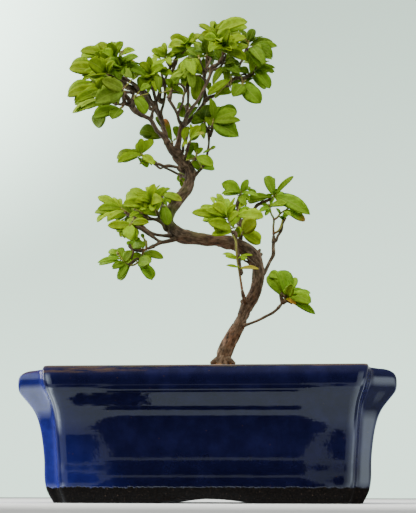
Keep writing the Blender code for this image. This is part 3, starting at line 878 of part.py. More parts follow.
def build_shoot(name, stems, leaves, group, cutters, fixed_trees):
    paths = shoot_paths(stems)
    tubes = []
    for number, path in enumerate(paths):
        radii = [stem_radius(i, len(path)) for i in range(len(path))]
        end = path[-1] + (path[-1] - path[-2]).normalized() * SHOOT_END * SCALE
        line, sizes = thinned(path[:-1] + [end], radii, STEM_TOLERANCE * SCALE)
        tubes.append(tube(name + "_stem", line, sizes, 0, group))
    body = tubes[0]
    pieces = tubes[1:]
    kept = 0
    for stem, place, x, z, depth, width, turn in leaves:
        path = paths[stem]
        total = path_length(path)
        least = min(FIRST_LEAF_PLACE, FIRST_LEAF_PLACE * SCALE / total)
        start = max(place, least) if stem == 0 else place
        base = point_along(path, start)
        offsets = [0.0]
        for step in range(1, CLEARING_TRIES):
            offsets += [-step * CLEARING_STEP, step * CLEARING_STEP]
        for offset in offsets:
            tip = on_sheet(x, z, depth + offset)
            test = leaf_bmesh(base, tip, width, turn, CLEARANCE * SCALE)
            probe = tree_of(test)
            test.free()
            if not any(probe.overlap(other) for other in fixed_trees):
                blade = leaf_bmesh(base, tip, width, turn)
                pieces.append(object_from_bmesh(name + "_blade", blade, group))
                kept += 1
                break
        else:
            print("left out a blade of", name, x, z)
    if not union_pieces(body, pieces, cutters):
        print("NOT CLOSED", name)
    body.name = name
    body.data.name = name
    return body, kept


# Pot and soil.
def rim_drop(height):
    """How much lower the rim lies at the pot's ends than along its front."""
    top = POT_LEVELS[-1][0]
    share = max(0.0, height - EAR_DROP_FROM) / (top - EAR_DROP_FROM)
    return EAR_DROP * share ** EAR_DROP_POWER


def pot_outline(half_x, half_y, front_half, height, rounding):
    """A rectangle whose four corners are stepped in, as one ring of points."""
    notch = half_x - front_half
    side_half = half_y - notch * NOTCH_DEPTH_RATIO
    inner_x = front_half + notch * NOTCH_SLANT_RATIO
    inner_y = side_half + notch * NOTCH_DEPTH_RATIO * NOTCH_SLANT_RATIO
    soft = 0.3 * rounding
    corner = [
        (front_half - rounding, half_y),
        (front_half - soft, half_y - soft),
        (front_half, half_y - rounding),
        (inner_x, inner_y),
        (half_x - rounding, side_half),
        (half_x - soft, side_half - soft),
        (half_x, side_half - rounding),
    ]
    drop = rim_drop(height)
    corner = [(x, y, height - drop * share) for (x, y), share in zip(corner, EAR_DROP_SHARES)]
    ring = [(x, -y, z) for x, y, z in corner]
    ring += [(x, y, z) for x, y, z in reversed(corner)]
    ring += [(-x, y, z) for x, y, z in corner]
    ring += [(-x, -y, z) for x, y, z in reversed(corner)]
    return [Vector(point) * SCALE for point in ring]


def loft(name, rings, group):
    """Joins rings of equal count by faces and closes the first and last one."""
    data = bmesh.new()
    loops = [[data.verts.new(point) for point in ring] for ring in rings]
    count = len(loops[0])
    for low, high in zip(loops[:-1], loops[1:]):
        for index in range(count):
            after = (index + 1) % count
            data.faces.new((low[index], low[after], high[after], high[index]))
    data.faces.new(list(reversed(loops[0])))
    data.faces.new(loops[-1])
    bmesh.ops.triangulate(data, faces=data.faces)
    bmesh.ops.recalc_face_normals(data, faces=data.faces)
    return object_from_bmesh(name, data, group)


def inner_outline(height, extra):
    """The inside face of the pot's wall at a height, moved inwards by an extra gap."""
    inset = np.interp(height, [row[0] for row in POT_LEVELS], [row[1] for row in POT_LEVELS])
    front = np.interp(height, [row[0] for row in POT_LEVELS], [row[2] for row in POT_LEVELS])
    inset = max(inset, INNER_LEAST_INSET)
    wall = POT_WALL + extra
    half_x = POT_HALF_LENGTH - inset - wall
    half_y = POT_HALF_WIDTH - inset - wall
    return pot_outline(half_x, half_y, min(front - wall, half_x - INNER_LEAST_NOTCH), height, POT_EDGE_ROUND)


def cut(body, cutter):
    work = body.modifiers.new("cut", "BOOLEAN")
    work.operation = "DIFFERENCE"
    work.object = cutter
    work.solver = "EXACT"
    apply_modifiers(body)
    bpy.data.objects.remove(cutter, do_unlink=True)
    clean_solid(body)


def move_to_group(item, group):
    for old in list(item.users_collection):
        old.objects.unlink(item)
    group.objects.link(item)


def build_pot(group, cutters):
    rings = []
    foot_z, foot_inset, foot_front = POT_LEVELS[0]
    recess_x = POT_HALF_LENGTH - foot_inset - POT_RECESS_MARGIN
    recess_y = POT_HALF_WIDTH - foot_inset - POT_RECESS_MARGIN
    recess_front = foot_front - POT_RECESS_MARGIN
    rings.append(pot_outline(recess_x, recess_y, recess_front, POT_RECESS_HEIGHT, POT_EDGE_ROUND))
    rings.append(pot_outline(recess_x, recess_y, recess_front, foot_z, POT_EDGE_ROUND))
    for height, inset, front in POT_LEVELS:
        half_x = POT_HALF_LENGTH - inset
        half_y = POT_HALF_WIDTH - inset
        rings.append(pot_outline(half_x, half_y, front, height, POT_EDGE_ROUND))
    top = POT_LEVELS[-1][0]
    half_x = POT_HALF_LENGTH - RIM_INNER_INSET
    half_y = POT_HALF_WIDTH - RIM_INNER_INSET
    rings.append(pot_outline(half_x, half_y, half_x - RIM_INNER_NOTCH, top, POT_EDGE_ROUND))
    for height in (top - RIM_INNER_DEPTH,) + INNER_HEIGHTS + (POT_INSIDE_FLOOR,):
        rings.append(inner_outline(height, 0.0))
    pot = loft("pot", rings, group)
    bpy.ops.mesh.primitive_cylinder_add(vertices=SLOT_CUTTER_SIDES, radius=1.0, depth=1.0)
    slot = bpy.context.active_object
    rise = POT_SLOT_HEIGHT
    radius = (POT_SLOT_HALF_LENGTH ** 2 + rise ** 2) / (2.0 * rise)
    place = Matrix.Translation((0.0, 0.0, (rise - radius) * SCALE))
    turn = Matrix.Rotation(math.pi / 2.0, 4, "X")
    reach = 2.0 * SLOT_CUTTER_RATIO * POT_HALF_WIDTH
    size = Matrix.Diagonal((radius * SCALE, radius * SCALE, reach * SCALE, 1.0))
    slot.data.transform(place @ turn @ size)
    move_to_group(slot, cutters)
    cut(pot, slot)
    for side in (-1.0, 1.0):
        place = (side * DRAIN_OFFSET * SCALE, 0.0, DRAIN_CUTTER_MIDDLE * SCALE)
        bpy.ops.mesh.primitive_cylinder_add(vertices=DRAIN_SIDES, radius=DRAIN_RADIUS * SCALE,
                                            depth=DRAIN_CUTTER_HEIGHT * SCALE, location=place)
        drain = bpy.context.active_object
        drain.data.transform(drain.matrix_world)
        drain.matrix_world = Matrix.Identity(4)
        move_to_group(drain, cutters)
        cut(pot, drain)
    pot.name = "pot"
    return pot


def soil_height(x, y):
    away = math.hypot(x - TRUNK_FOOT_X, y)
    return SOIL_EDGE_HEIGHT + SOIL_MOUND_HEIGHT * math.exp(-(away / SOIL_MOUND_SPREAD) ** 2)


def build_soil(group):
    rings = []
    for height in (POT_INSIDE_FLOOR + SOIL_GAP,) + INNER_HEIGHTS[::-1]:
        rings.append(inner_outline(height, SOIL_GAP))
    edge = inner_outline(POT_LEVELS[-1][0] - RIM_INNER_DEPTH, SOIL_GAP)
    rings.append(edge)
    heights = [soil_height(point.x / SCALE, point.y / SCALE) * SCALE for point in edge]
    rings.append([Vector((point.x, point.y, height)) for point, height in zip(edge, heights)])
    per_corner = len(edge) // 4
    for share in SOIL_RINGS:
        ring = []
        for index, point in enumerate(edge):
            x = point.x / SCALE - TRUNK_FOOT_X
            y = point.y / SCALE
            even = (index + 0.5) * math.pi / 2.0 / per_corner - math.pi / 2.0
            turn = (math.atan2(y, x) - even + math.pi) % (2.0 * math.pi) - math.pi
            angle = even + turn * share
            reach = TRUNK_HOLE_RADIUS + (math.hypot(x, y) - TRUNK_HOLE_RADIUS) * share
            x = TRUNK_FOOT_X + reach * math.cos(angle)
            y = reach * math.sin(angle)
            ring.append(Vector((x * SCALE, y * SCALE, soil_height(x, y) * SCALE)))
        rings.append(ring)
    rings.append([Vector((point.x, point.y, TRUNK_HOLE_BOTTOM * SCALE)) for point in rings[-1]])
    return loft("soil", rings, group)


def build_wood(group, cutters):
    tubes = []
    for name, resolution, rows in LIMBS:
        path = [on_sheet(x, z, depth) for x, z, depth, _ in rows]
        radii = [radius * SCALE for _, _, _, radius in rows]
        path, radii = thinned(path, radii, PATH_TOLERANCE * SCALE)
        tubes.append(tube(name, path, radii, resolution, group))
    for name, _, twig, stems, _ in SHOOTS:
        path, radii = twig_path(twig, stems)
        path, radii = thinned(path, radii, PATH_TOLERANCE * SCALE)
        tubes.append(tube(name + "_twig", path, radii, 0, group))
    wood = tubes[0]
    if not union_pieces(wood, tubes[1:], cutters):
        print("NOT CLOSED wood")
    wood.name = "wood"
    wood.data.name = "wood"
    return wood


def main():
    clear_scene()
    group = make_collection("azalea_bonsai")
    cutters = make_collection("cutters", hidden=True)
    materials = {
        "glaze": make_material("cobalt_glaze", (0.004, 0.006, 0.05, 1.0), 0.12),
        "soil": make_material("grain_soil", (0.35, 0.22, 0.10, 1.0), 0.95),
        "bark": make_material("azalea_bark", (0.10, 0.07, 0.05, 1.0), 0.85),
    }
    for tone, color in TONES.items():
        materials[tone] = make_material("leaf_" + tone, color, 0.45)
    pot = build_pot(group, cutters)
    set_only_material(pot, materials["glaze"])
    soil = build_soil(group)
    set_only_material(soil, materials["soil"])
    wood = build_wood(group, cutters)
    set_only_material(wood, materials["bark"])
    wood_tree = tree_of_object(wood)
    stem_trees = {}
    for name, _, _, stems, _ in SHOOTS:
        trees = []
        for path in shoot_paths(stems):
            radii = [stem_radius(i, len(path)) + CLEARANCE * SCALE for i in range(len(path))]
            guard = tube(name + "_guard", path, radii, 0, cutters)
            trees.append(tree_of_object(guard))
            bpy.data.objects.remove(guard, do_unlink=True)
        stem_trees[name] = trees
    body_trees = [wood_tree, tree_of_object(pot), tree_of_object(soil)]
    total = 0
    for name, tone, _, stems, leaves in SHOOTS:
        fixed = list(body_trees)
        for other, trees in stem_trees.items():
            if other != name:
                fixed += trees
        body, kept = build_shoot(name, stems, leaves, group, cutters, fixed)
        set_only_material(body, materials[tone])
        body_trees.append(tree_of_object(body))
        total += kept
    print("blades", total, "of", sum(len(row[4]) for row in SHOOTS))
    for item in group.objects:
        for face in item.data.polygons:
            face.use_smooth = False
    print("triangles", sum(len(item.data.polygons) for item in group.objects), "nodes", len(group.objects))


main()
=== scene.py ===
"""Satsuki azalea bonsai in a cobalt glazed pot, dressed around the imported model.

The tables give millimetres on the upright sheet through the pot's middle on which the tree
is laid out, as in the part's source. Shapes are worked out in millimetres as numpy arrays
and turned into metres where they become meshes.
"""
import math

import bpy
import numpy as np
from bpy.props import FloatProperty, FloatVectorProperty, PointerProperty
from mathutils import Matrix, Vector


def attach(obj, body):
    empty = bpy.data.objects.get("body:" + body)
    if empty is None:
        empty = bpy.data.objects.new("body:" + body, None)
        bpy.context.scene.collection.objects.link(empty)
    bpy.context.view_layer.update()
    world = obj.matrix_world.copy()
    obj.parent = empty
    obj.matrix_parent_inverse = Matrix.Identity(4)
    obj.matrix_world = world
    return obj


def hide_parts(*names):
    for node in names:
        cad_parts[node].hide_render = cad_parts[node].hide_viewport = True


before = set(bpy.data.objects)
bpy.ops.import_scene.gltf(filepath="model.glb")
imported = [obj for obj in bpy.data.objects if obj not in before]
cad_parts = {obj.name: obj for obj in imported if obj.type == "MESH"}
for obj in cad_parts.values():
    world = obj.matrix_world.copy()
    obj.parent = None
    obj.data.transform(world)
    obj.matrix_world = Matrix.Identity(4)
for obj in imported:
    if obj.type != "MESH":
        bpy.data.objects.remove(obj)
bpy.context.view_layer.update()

bl_info = {
    "name": "Azalea bonsai in a glazed pot",
    "version": (1, 0, 0),
    "blender": (4, 5, 0),
    "location": "3D View > Sidebar > Bonsai",
    "description": "Builds an azalea bonsai with bark, leaves, soil grains and a glazed pot",
    "category": "Add Mesh",
}

MM = 0.001
BODY = "root"
SEED = 20

# The line of sight along which a point of the sheet may be moved back or forth.
EYE_X = 47.3
EYE_Y = -647.2
EYE_Z = 4.0
SHEET_X = 0.7
DEPTH_SPREAD = 1.5
DEPTH_LIMIT = 15.0

# Camera at the photograph's place: angles in degrees, focal length in pixels of its frame.
FRAME_HEIGHT = 513
FOCAL_PIXELS = 1100.0
SENSOR_MM = 36.0
CAMERA_YAW = -4.54
CAMERA_PITCH = 12.27
CAMERA_ROLL = 0.15

# Pot in millimetres. The stepped corners go in by a share of the way from the front panel's
# end to the pot's end, and slant by another share of it.
POT_HALF_LENGTH = 101.5
POT_HALF_WIDTH = 75.0
POT_INSIDE_FLOOR = 14.0
POT_RECESS_HEIGHT = 4.2
POT_RECESS_MARGIN = 11.0
POT_SLOT_HALF_LENGTH = 24.5
POT_SLOT_HEIGHT = 2.3
POT_WALL = 6.5
DRAIN_RADIUS = 6.0
DRAIN_OFFSET = 42.0
NOTCH_DEPTH_RATIO = 0.75
NOTCH_SLANT_RATIO = 0.15
# Its outer levels: height, how far the side panel lies inside the rim's outermost line, and
# half the length of the front panel.
POT_LEVELS = [
    (0, 18.9, 75), (7.6, 15.2, 77.2), (9.4, 14.8, 77.5), (24, 13.8, 78.7), (31, 13, 79.3),
    (40.5, 11.2, 79.9), (45, 9.8, 80.2), (49.2, 7.7, 80.6), (52.7, 5, 81.1), (55.7, 2.5, 82),
    (58.4, 0.6, 83), (61.8, 0, 84.2), (64.6, 0.1, 84.9), (67, 0.9, 85.3), (69, 2.4, 85.6),
    (70.8, 4.6, 85.8), (71.9, 7.2, 85.6),
]
# How far the rim sinks at the ends, above which height, how fast, and by what share at the
# inner corners. Then the roundings of the outer and the inner corner edges.
EAR_DROP = 2.0
EAR_DROP_FROM = 66.5
EAR_DROP_POWER = 1.3
INNER_CORNER_SHARE = 0.7
EDGE_ROUND = 2.0
FILLET_ROUND = 3.2

# Soil in millimetres.
SOIL_GAP = 0.35
SOIL_EDGE_HEIGHT = 65.5
SOIL_MOUND_HEIGHT = 14.0
SOIL_MOUND_SPREAD = 36.0
TRUNK_FOOT_X = 5.3
TRUNK_HOLE_RADIUS = 4.8

# Young stems and twigs in millimetres.
STEM_RADIUS = 0.72
TWIG_GAP = 0.42

# Limbs of the wood: each point is x and height on the sheet, depth behind it, radius.
LIMBS = [
    ("trunk", 2, [(4.6, 47.5, 0, 4.4), (4.6, 79.2, 0, 4.4), (5.5, 85, 0, 4.2), (7.2, 90, -0.5, 3.9),
        (9.5, 95, -1, 3.8), (12.8, 100.3, -1.5, 3.7), (15.4, 105, -2, 3.2), (17.5, 110, -2, 3.1),
        (19.9, 115, -2.5, 3.4), (23.1, 120.3, -3, 3.1), (24.7, 125, -3, 3.35), (25.8, 130, -3, 3.4),
        (26.3, 135, -3, 3.1), (25.8, 139.5, -3, 3.2), (24.3, 143.8, -3, 3.7),
        (21.3, 147.2, -3.5, 3.8), (16.8, 150.3, -4, 3.6), (12.5, 152.4, -4.5, 3.4),
        (8, 153.4, -5, 3.7), (4, 154.4, -5, 3.5), (0, 155, -5, 3), (-5, 155.5, -5, 3),
        (-10, 156.5, -5, 3.5), (-15, 157.3, -4, 3.8), (-20, 158.3, -3, 3.9), (-24, 160.5, -2, 3.8),
        (-26.6, 163.8, -1, 3.3), (-27.9, 167.4, -0.5, 2.8), (-27.7, 171.5, 0, 2.5),
        (-26.5, 174.8, 0, 2.8), (-24.7, 177.3, 0, 3), (-22.4, 180.7, 0.5, 3),
        (-19.6, 184.4, 0.5, 3.1), (-16.8, 188.6, 0.5, 3.1), (-15.6, 193, 0.5, 2.8),
        (-15.1, 197, 0.5, 2.9), (-16, 200.2, 0.5, 2.8), (-17.9, 203.1, 0.5, 2.9),
        (-20.1, 206, 0.5, 2.9), (-22, 209, 0.5, 2.7), (-23.2, 211.6, 0.5, 2.3)]),
    ("limb_centre", 1, [(-22.4, 208.8, 0.5, 2.3), (-23.3, 213.5, 1, 1.9), (-22.4, 218.3, 1, 1.6),
        (-21.3, 225.5, 0, 1.8), (-20, 229.6, 0, 1.9)]),
    ("limb_left", 1, [(-22.5, 209.5, 0.5, 2.4), (-26, 212.3, -1, 2.2), (-28.5, 215.8, -2, 2),
        (-30.3, 219.3, -2.5, 1.7), (-30.9, 222.9, -2, 1.35), (-31.9, 227, -1, 1.2),
        (-32.9, 231, 0, 1.2), (-33.9, 234.6, 0.5, 1.3)]),
    ("limb_far_left", 1, [(-29.3, 217.6, -2.5, 1.7), (-32.8, 222.9, -4, 1.3),
        (-35.9, 225.5, -5, 1.3), (-38.3, 229.6, -6, 1.3), (-40.7, 233.4, -7, 1.5),
        (-43, 234.7, -7.5, 1.5), (-46.6, 236.5, -8.5, 1.6), (-49.4, 238.6, -9, 1.7),
        (-51.7, 241.3, -10, 1.8), (-53.6, 244, -10.5, 1.7)]),
    ("far_left_tip", 0, [(-53, 243.2, -10.5, 1.4), (-56.3, 243.9, -11, 1.1),
        (-59.5, 243.6, -12, 0.9), (-62.3, 244.3, -12, 0.9)]),
    ("far_left_knob", 0, [(-53.4, 243.6, -10.5, 1.4), (-54.6, 247.4, -10, 1.1),
        (-55.6, 248.8, -11.5, 0.9)]),
    ("far_left_spur", 0, [(-52.4, 244.6, -10.5, 1.1), (-51.8, 248.4, -7, 0.9),
        (-50.6, 252.4, -2.5, 0.8)]),
    ("far_left_link", 0, [(-39.7, 234, -7, 1), (-38.9, 238.8, -6, 0.9), (-37.2, 245, -4.2, 0.8)]),
    ("limb_upper_left", 1, [(-33.5, 233.2, 0.5, 1.2), (-36.2, 238.3, 1, 1.3),
        (-38.4, 241.8, 1, 1.35), (-40.2, 244.6, 0.5, 1.4), (-42.5, 247.3, 0, 1.4),
        (-45.4, 249.9, -1, 1.45), (-49.3, 252.1, -2, 1.5), (-52.7, 253.6, -3, 1.4),
        (-55, 254.6, -3, 1.2), (-56.6, 256.6, -3, 1), (-58.1, 259.4, -3, 0.9)]),
    ("limb_second", 0, [(-33.7, 234, 0.5, 1.2), (-35.3, 238, -1.5, 1.1), (-36.4, 241.5, -3, 1.05),
        (-37, 245, -4, 1), (-38, 249, -4.5, 1.1), (-39, 254, -5, 1.1)]),
    ("second_stub", 0, [(-37, 245, -4, 0.9), (-35.3, 249, -6, 1), (-34.9, 251.6, -7, 0.8)]),
    ("limb_third", 0, [(-33.5, 233.5, 0.5, 1.2), (-33.6, 238.3, 3, 0.9), (-32.3, 242.7, 4, 0.9),
        (-31.5, 248.5, 5, 0.95), (-31.2, 253, 5, 1.2), (-31.9, 256.6, 5, 1.3)]),
    ("third_right", 0, [(-31.7, 255.6, 5, 1), (-30.8, 261, 5, 0.8), (-29.7, 263.3, 5, 0.8),
        (-28.3, 267.2, 5, 1.1), (-27.8, 268.7, 5, 1.2)]),
    ("third_far", 0, [(-27.9, 268, 5, 1.1), (-26, 270.3, 5, 1), (-25, 273, 5, 0.9),
        (-23, 275.6, 5, 0.8), (-21.9, 276.7, 5, 0.8)]),
    ("limb_front", 0, [(-20.2, 229, 0, 1.4), (-22.3, 231.7, -3, 1), (-23.6, 236.6, -7, 0.95),
        (-26, 241.5, -9, 0.85), (-28, 244.9, -10, 0.9), (-28.8, 247.2, -11, 1.1),
        (-30.3, 247.7, -11, 0.7)]),
    ("front_fork", 0, [(-23.4, 236, -7, 0.8), (-22.2, 238.8, -7, 0.7), (-20.3, 243.2, -7, 0.65),
        (-19.8, 247.5, -5, 0.65), (-18.6, 250.8, -3, 0.7), (-17.2, 252.2, -2, 0.8)]),
    ("front_thin", 0, [(-24, 237.2, -7.4, 0.6), (-27.3, 242.3, -11.6, 0.5),
        (-29.6, 246.2, -13, 0.45)]),
    ("stem_middle", 0, [(-17.9, 233.4, -5, 0.9), (-17.1, 240, -3, 0.75), (-16.8, 246, -2, 0.7),
        (-16.9, 251, -2, 1.1), (-17.3, 253, -2, 1.3), (-17.2, 256, -2, 0.9)]),
    ("limb_crossing", 0, [(-19.6, 229.2, 0, 1.5), (-18.3, 232.3, -4, 1.25),
        (-17.3, 235.6, -6, 1.15), (-14.5, 240, -8, 1), (-11, 244.5, -9, 0.9), (-7.6, 251, -9, 0.85),
        (-5, 256.5, -8, 1), (-2.9, 262, -6, 1.2), (-1.4, 266.5, -5, 1.9), (0.6, 267.8, -5, 1.3),
        (3.4, 269.8, -5, 1.1)]),
    ("limb_right", 1, [(-20, 229.2, 0, 1.6), (-16.7, 231, 2, 1.4), (-13, 234.7, 3, 1.3),
        (-9.4, 239, 4, 1.35), (-7, 242.5, 4, 1.5), (-5.9, 246, 4, 1.6), (-6.5, 250.5, 4, 1.25),
        (-6.8, 255, 4, 1.15), (-6.5, 261, 4, 1.1), (-6.3, 264.8, 4, 1.2)]),
    ("right_left_fork", 0, [(-6.6, 262.8, 4.15, 1), (-8.8, 268.2, 3, 0.85), (-10.2, 271.2, 2, 1)]),
    ("right_arm", 1, [(-6.4, 244.6, 4, 1.4), (-3.6, 246.4, 3, 1.2), (0.8, 248.2, 2, 1.05),
        (5, 250.8, 1, 1), (8, 254, 0, 1.1), (10.8, 257.2, 0, 1.35), (13.5, 258.3, 0, 1.6),
        (16.8, 258.3, 0, 1.3), (20, 259.5, 0, 0.9), (22.4, 260.5, 0, 0.85)]),
    ("arm_upper", 0, [(12.1, 257.6, 0, 1.1), (14.7, 264.2, 4, 0.85), (16, 268.8, 5, 0.8),
        (18.5, 273.5, 5, 0.8), (19.2, 276, 5, 0.75)]),
    ("arm_left", 0, [(11.2, 257.2, 0, 1), (8.2, 262, -2, 0.75)]),
    ("twig_left", 0, [(-18.2, 202.4, 0.5, 1.1), (-21.5, 201.4, -2, 0.8), (-25, 202.2, -3, 0.75),
        (-28.9, 202.8, -4, 0.95), (-31.5, 202.6, -4, 0.75), (-34.6, 204.1, -5, 0.9),
        (-38, 204.7, -5, 0.8), (-41, 205.8, -5, 0.75)]),
    ("twig_left_back", 0, [(-16, 195.4, 0.5, 1), (-19, 195.8, 3, 0.75), (-22.6, 197.4, 4, 0.65),
        (-27.6, 200, 4, 0.6), (-32.6, 202.4, 2, 0.55)]),
    ("twig_right", 0, [(-14.8, 194.6, 0.5, 1.1), (-11.9, 196.8, -1, 0.95), (-9.3, 199.5, -2, 0.75),
        (-6.6, 202.7, -3, 0.9), (-5.3, 206.5, -3, 0.7), (-4.5, 211.5, -3, 0.6),
        (-3.7, 217, -3, 0.65), (-3.7, 221, -3, 1), (-4, 224.8, -3, 1.05)]),
    ("bud_right", 0, [(-12.5, 196.2, -0.6, 1), (-12, 199.5, -0.6, 0.5)]),
    ("twig_short", 0, [(-17, 202, 0.5, 1), (-14.8, 203.6, -1, 0.8), (-13.5, 204.8, -2, 0.7)]),
    ("twig_upright", 0, [(-19.4, 204.6, 0.5, 1), (-18, 209, -3, 0.75), (-17.3, 212.8, -4, 0.7)]),
    ("low_left_upper", 0, [(-24.5, 158, -3, 1), (-31.8, 158.6, -5, 0.7), (-37.2, 159.6, -6, 0.65),
        (-42.4, 162.3, -7.5, 0.7)]),
    ("low_left_main", 0, [(-23, 157, -3, 1.3), (-28, 155.2, -6, 1.05), (-33, 154.7, -7, 1),
        (-34.8, 155.8, -7, 0.8), (-38, 158.2, -8, 0.8), (-42.3, 162.2, -8, 0.95),
        (-45.2, 165, -8, 1.4), (-47.5, 167.6, -8, 1.4)]),
    ("low_left_down", 0, [(-32.5, 154.7, -7, 0.95), (-35, 153.3, -7.4, 0.75),
        (-38, 151.7, -8, 0.8)]),
    ("low_left_rise", 0, [(-26, 161, -2, 1.3), (-29.7, 165.3, -3.5, 1), (-32, 168.2, -4, 1.1),
        (-33.4, 169.8, -4, 1.5), (-33.5, 171.6, -4, 1)]),
    ("stem_cluster", 0, [(16.4, 150.5, -4, 1.3), (15.6, 155.5, -3, 0.95), (15, 161, -1, 0.8),
        (15.6, 166.7, 1, 0.85), (14.6, 172, 2, 0.75), (13.9, 177, 2, 1)]),
    ("stem_cluster_arm", 0, [(15.4, 165.4, 0.8, 0.8), (19.5, 170, 3, 0.7), (24, 174.4, 4, 0.7),
        (25.8, 176.7, 4, 1), (29, 178.1, 4, 0.8)]),
    ("shoot_right", 0, [(27, 131.5, -2, 1.2), (30.2, 135.2, 0, 1.05), (31.6, 138.3, 1, 0.95),
        (33.2, 141.6, 2, 0.9), (35.2, 145.3, 2, 0.95), (35.4, 150.5, 2, 0.85),
        (35.7, 154.6, 2, 0.85)]),
    ("shoot_low_right", 0, [(16.8, 102.8, -3, 0.9), (20, 103.7, -5, 0.65), (25, 105.5, -6, 0.6),
        (30, 108, -7, 0.6), (35, 110.6, -8, 0.6), (38.3, 113.5, -8, 0.6)]),
    ("shoot_front", 0, [(19, 116.6, -3.5, 1.3), (17.6, 118.8, -6, 0.95), (17, 121.4, -7, 0.7)]),
    ("dry_stick", 0, [(24, 139.3, -5, 0.7), (20.5, 143, -8, 0.55), (17, 145.9, -8.6, 0.45)]),
    ("stub_bend", 0, [(25.8, 145.4, -3, 1.1), (27.4, 149.2, -3, 0.6)]),
    ("stub_bend_low", 0, [(26, 144.4, -3, 1.1), (28.6, 146.6, -3, 0.6)]),
    ("stub_top", 0, [(4.6, 155, -5, 1.4), (3.6, 158.9, -5, 0.7)]),
    ("stub_knob", 0, [(18.6, 114.6, -3, 1.5), (16, 118.2, -3.2, 0.8)]),
    ("back_right", 0, [(-21.3, 225, 0.5, 1.2), (-19.9, 229.5, 6, 1), (-16.7, 231.2, 10, 0.95),
        (-9.4, 239, 15, 0.9), (-6.2, 245.5, 18, 0.85), (-6.7, 255, 22, 0.8),
        (-6.5, 262, 24, 0.75)]),
    ("back_left", 0, [(-32.8, 230.6, 0.5, 1.1), (-34.8, 236.3, 6, 1), (-38.5, 242, 11, 0.95),
        (-42.5, 247.3, 15, 0.9), (-49.3, 252.1, 19, 0.8), (-54.5, 254.4, 22, 0.75)]),
    ("back_low", 0, [(-24.5, 160.5, -1, 1.1), (-27, 159.4, 5, 0.8), (-33, 158.9, 10, 0.7),
        (-39, 160.7, 14, 0.65), (-43.5, 163.8, 16, 0.65)]),
    ("root_left", 0, [(5, 83, 0, 3), (1, 81.9, -0.7, 1.6), (-2.2, 80.4, -1.1, 0.8)]),
    ("root_right", 0, [(5.4, 83, 0, 2.8), (9, 82, -1.7, 1.5), (11.8, 80.3, -2.9, 0.7)]),
    ("root_back", 0, [(5, 83, 0, 2.8), (7.4, 81.9, 2.9, 1.5), (9.6, 80.6, 4.9, 0.7)]),
    ("root_back_left", 0, [(5, 83, 0, 2.8), (1.6, 82, 2.7, 1.5), (-1, 80.6, 4.3, 0.7)]),
]

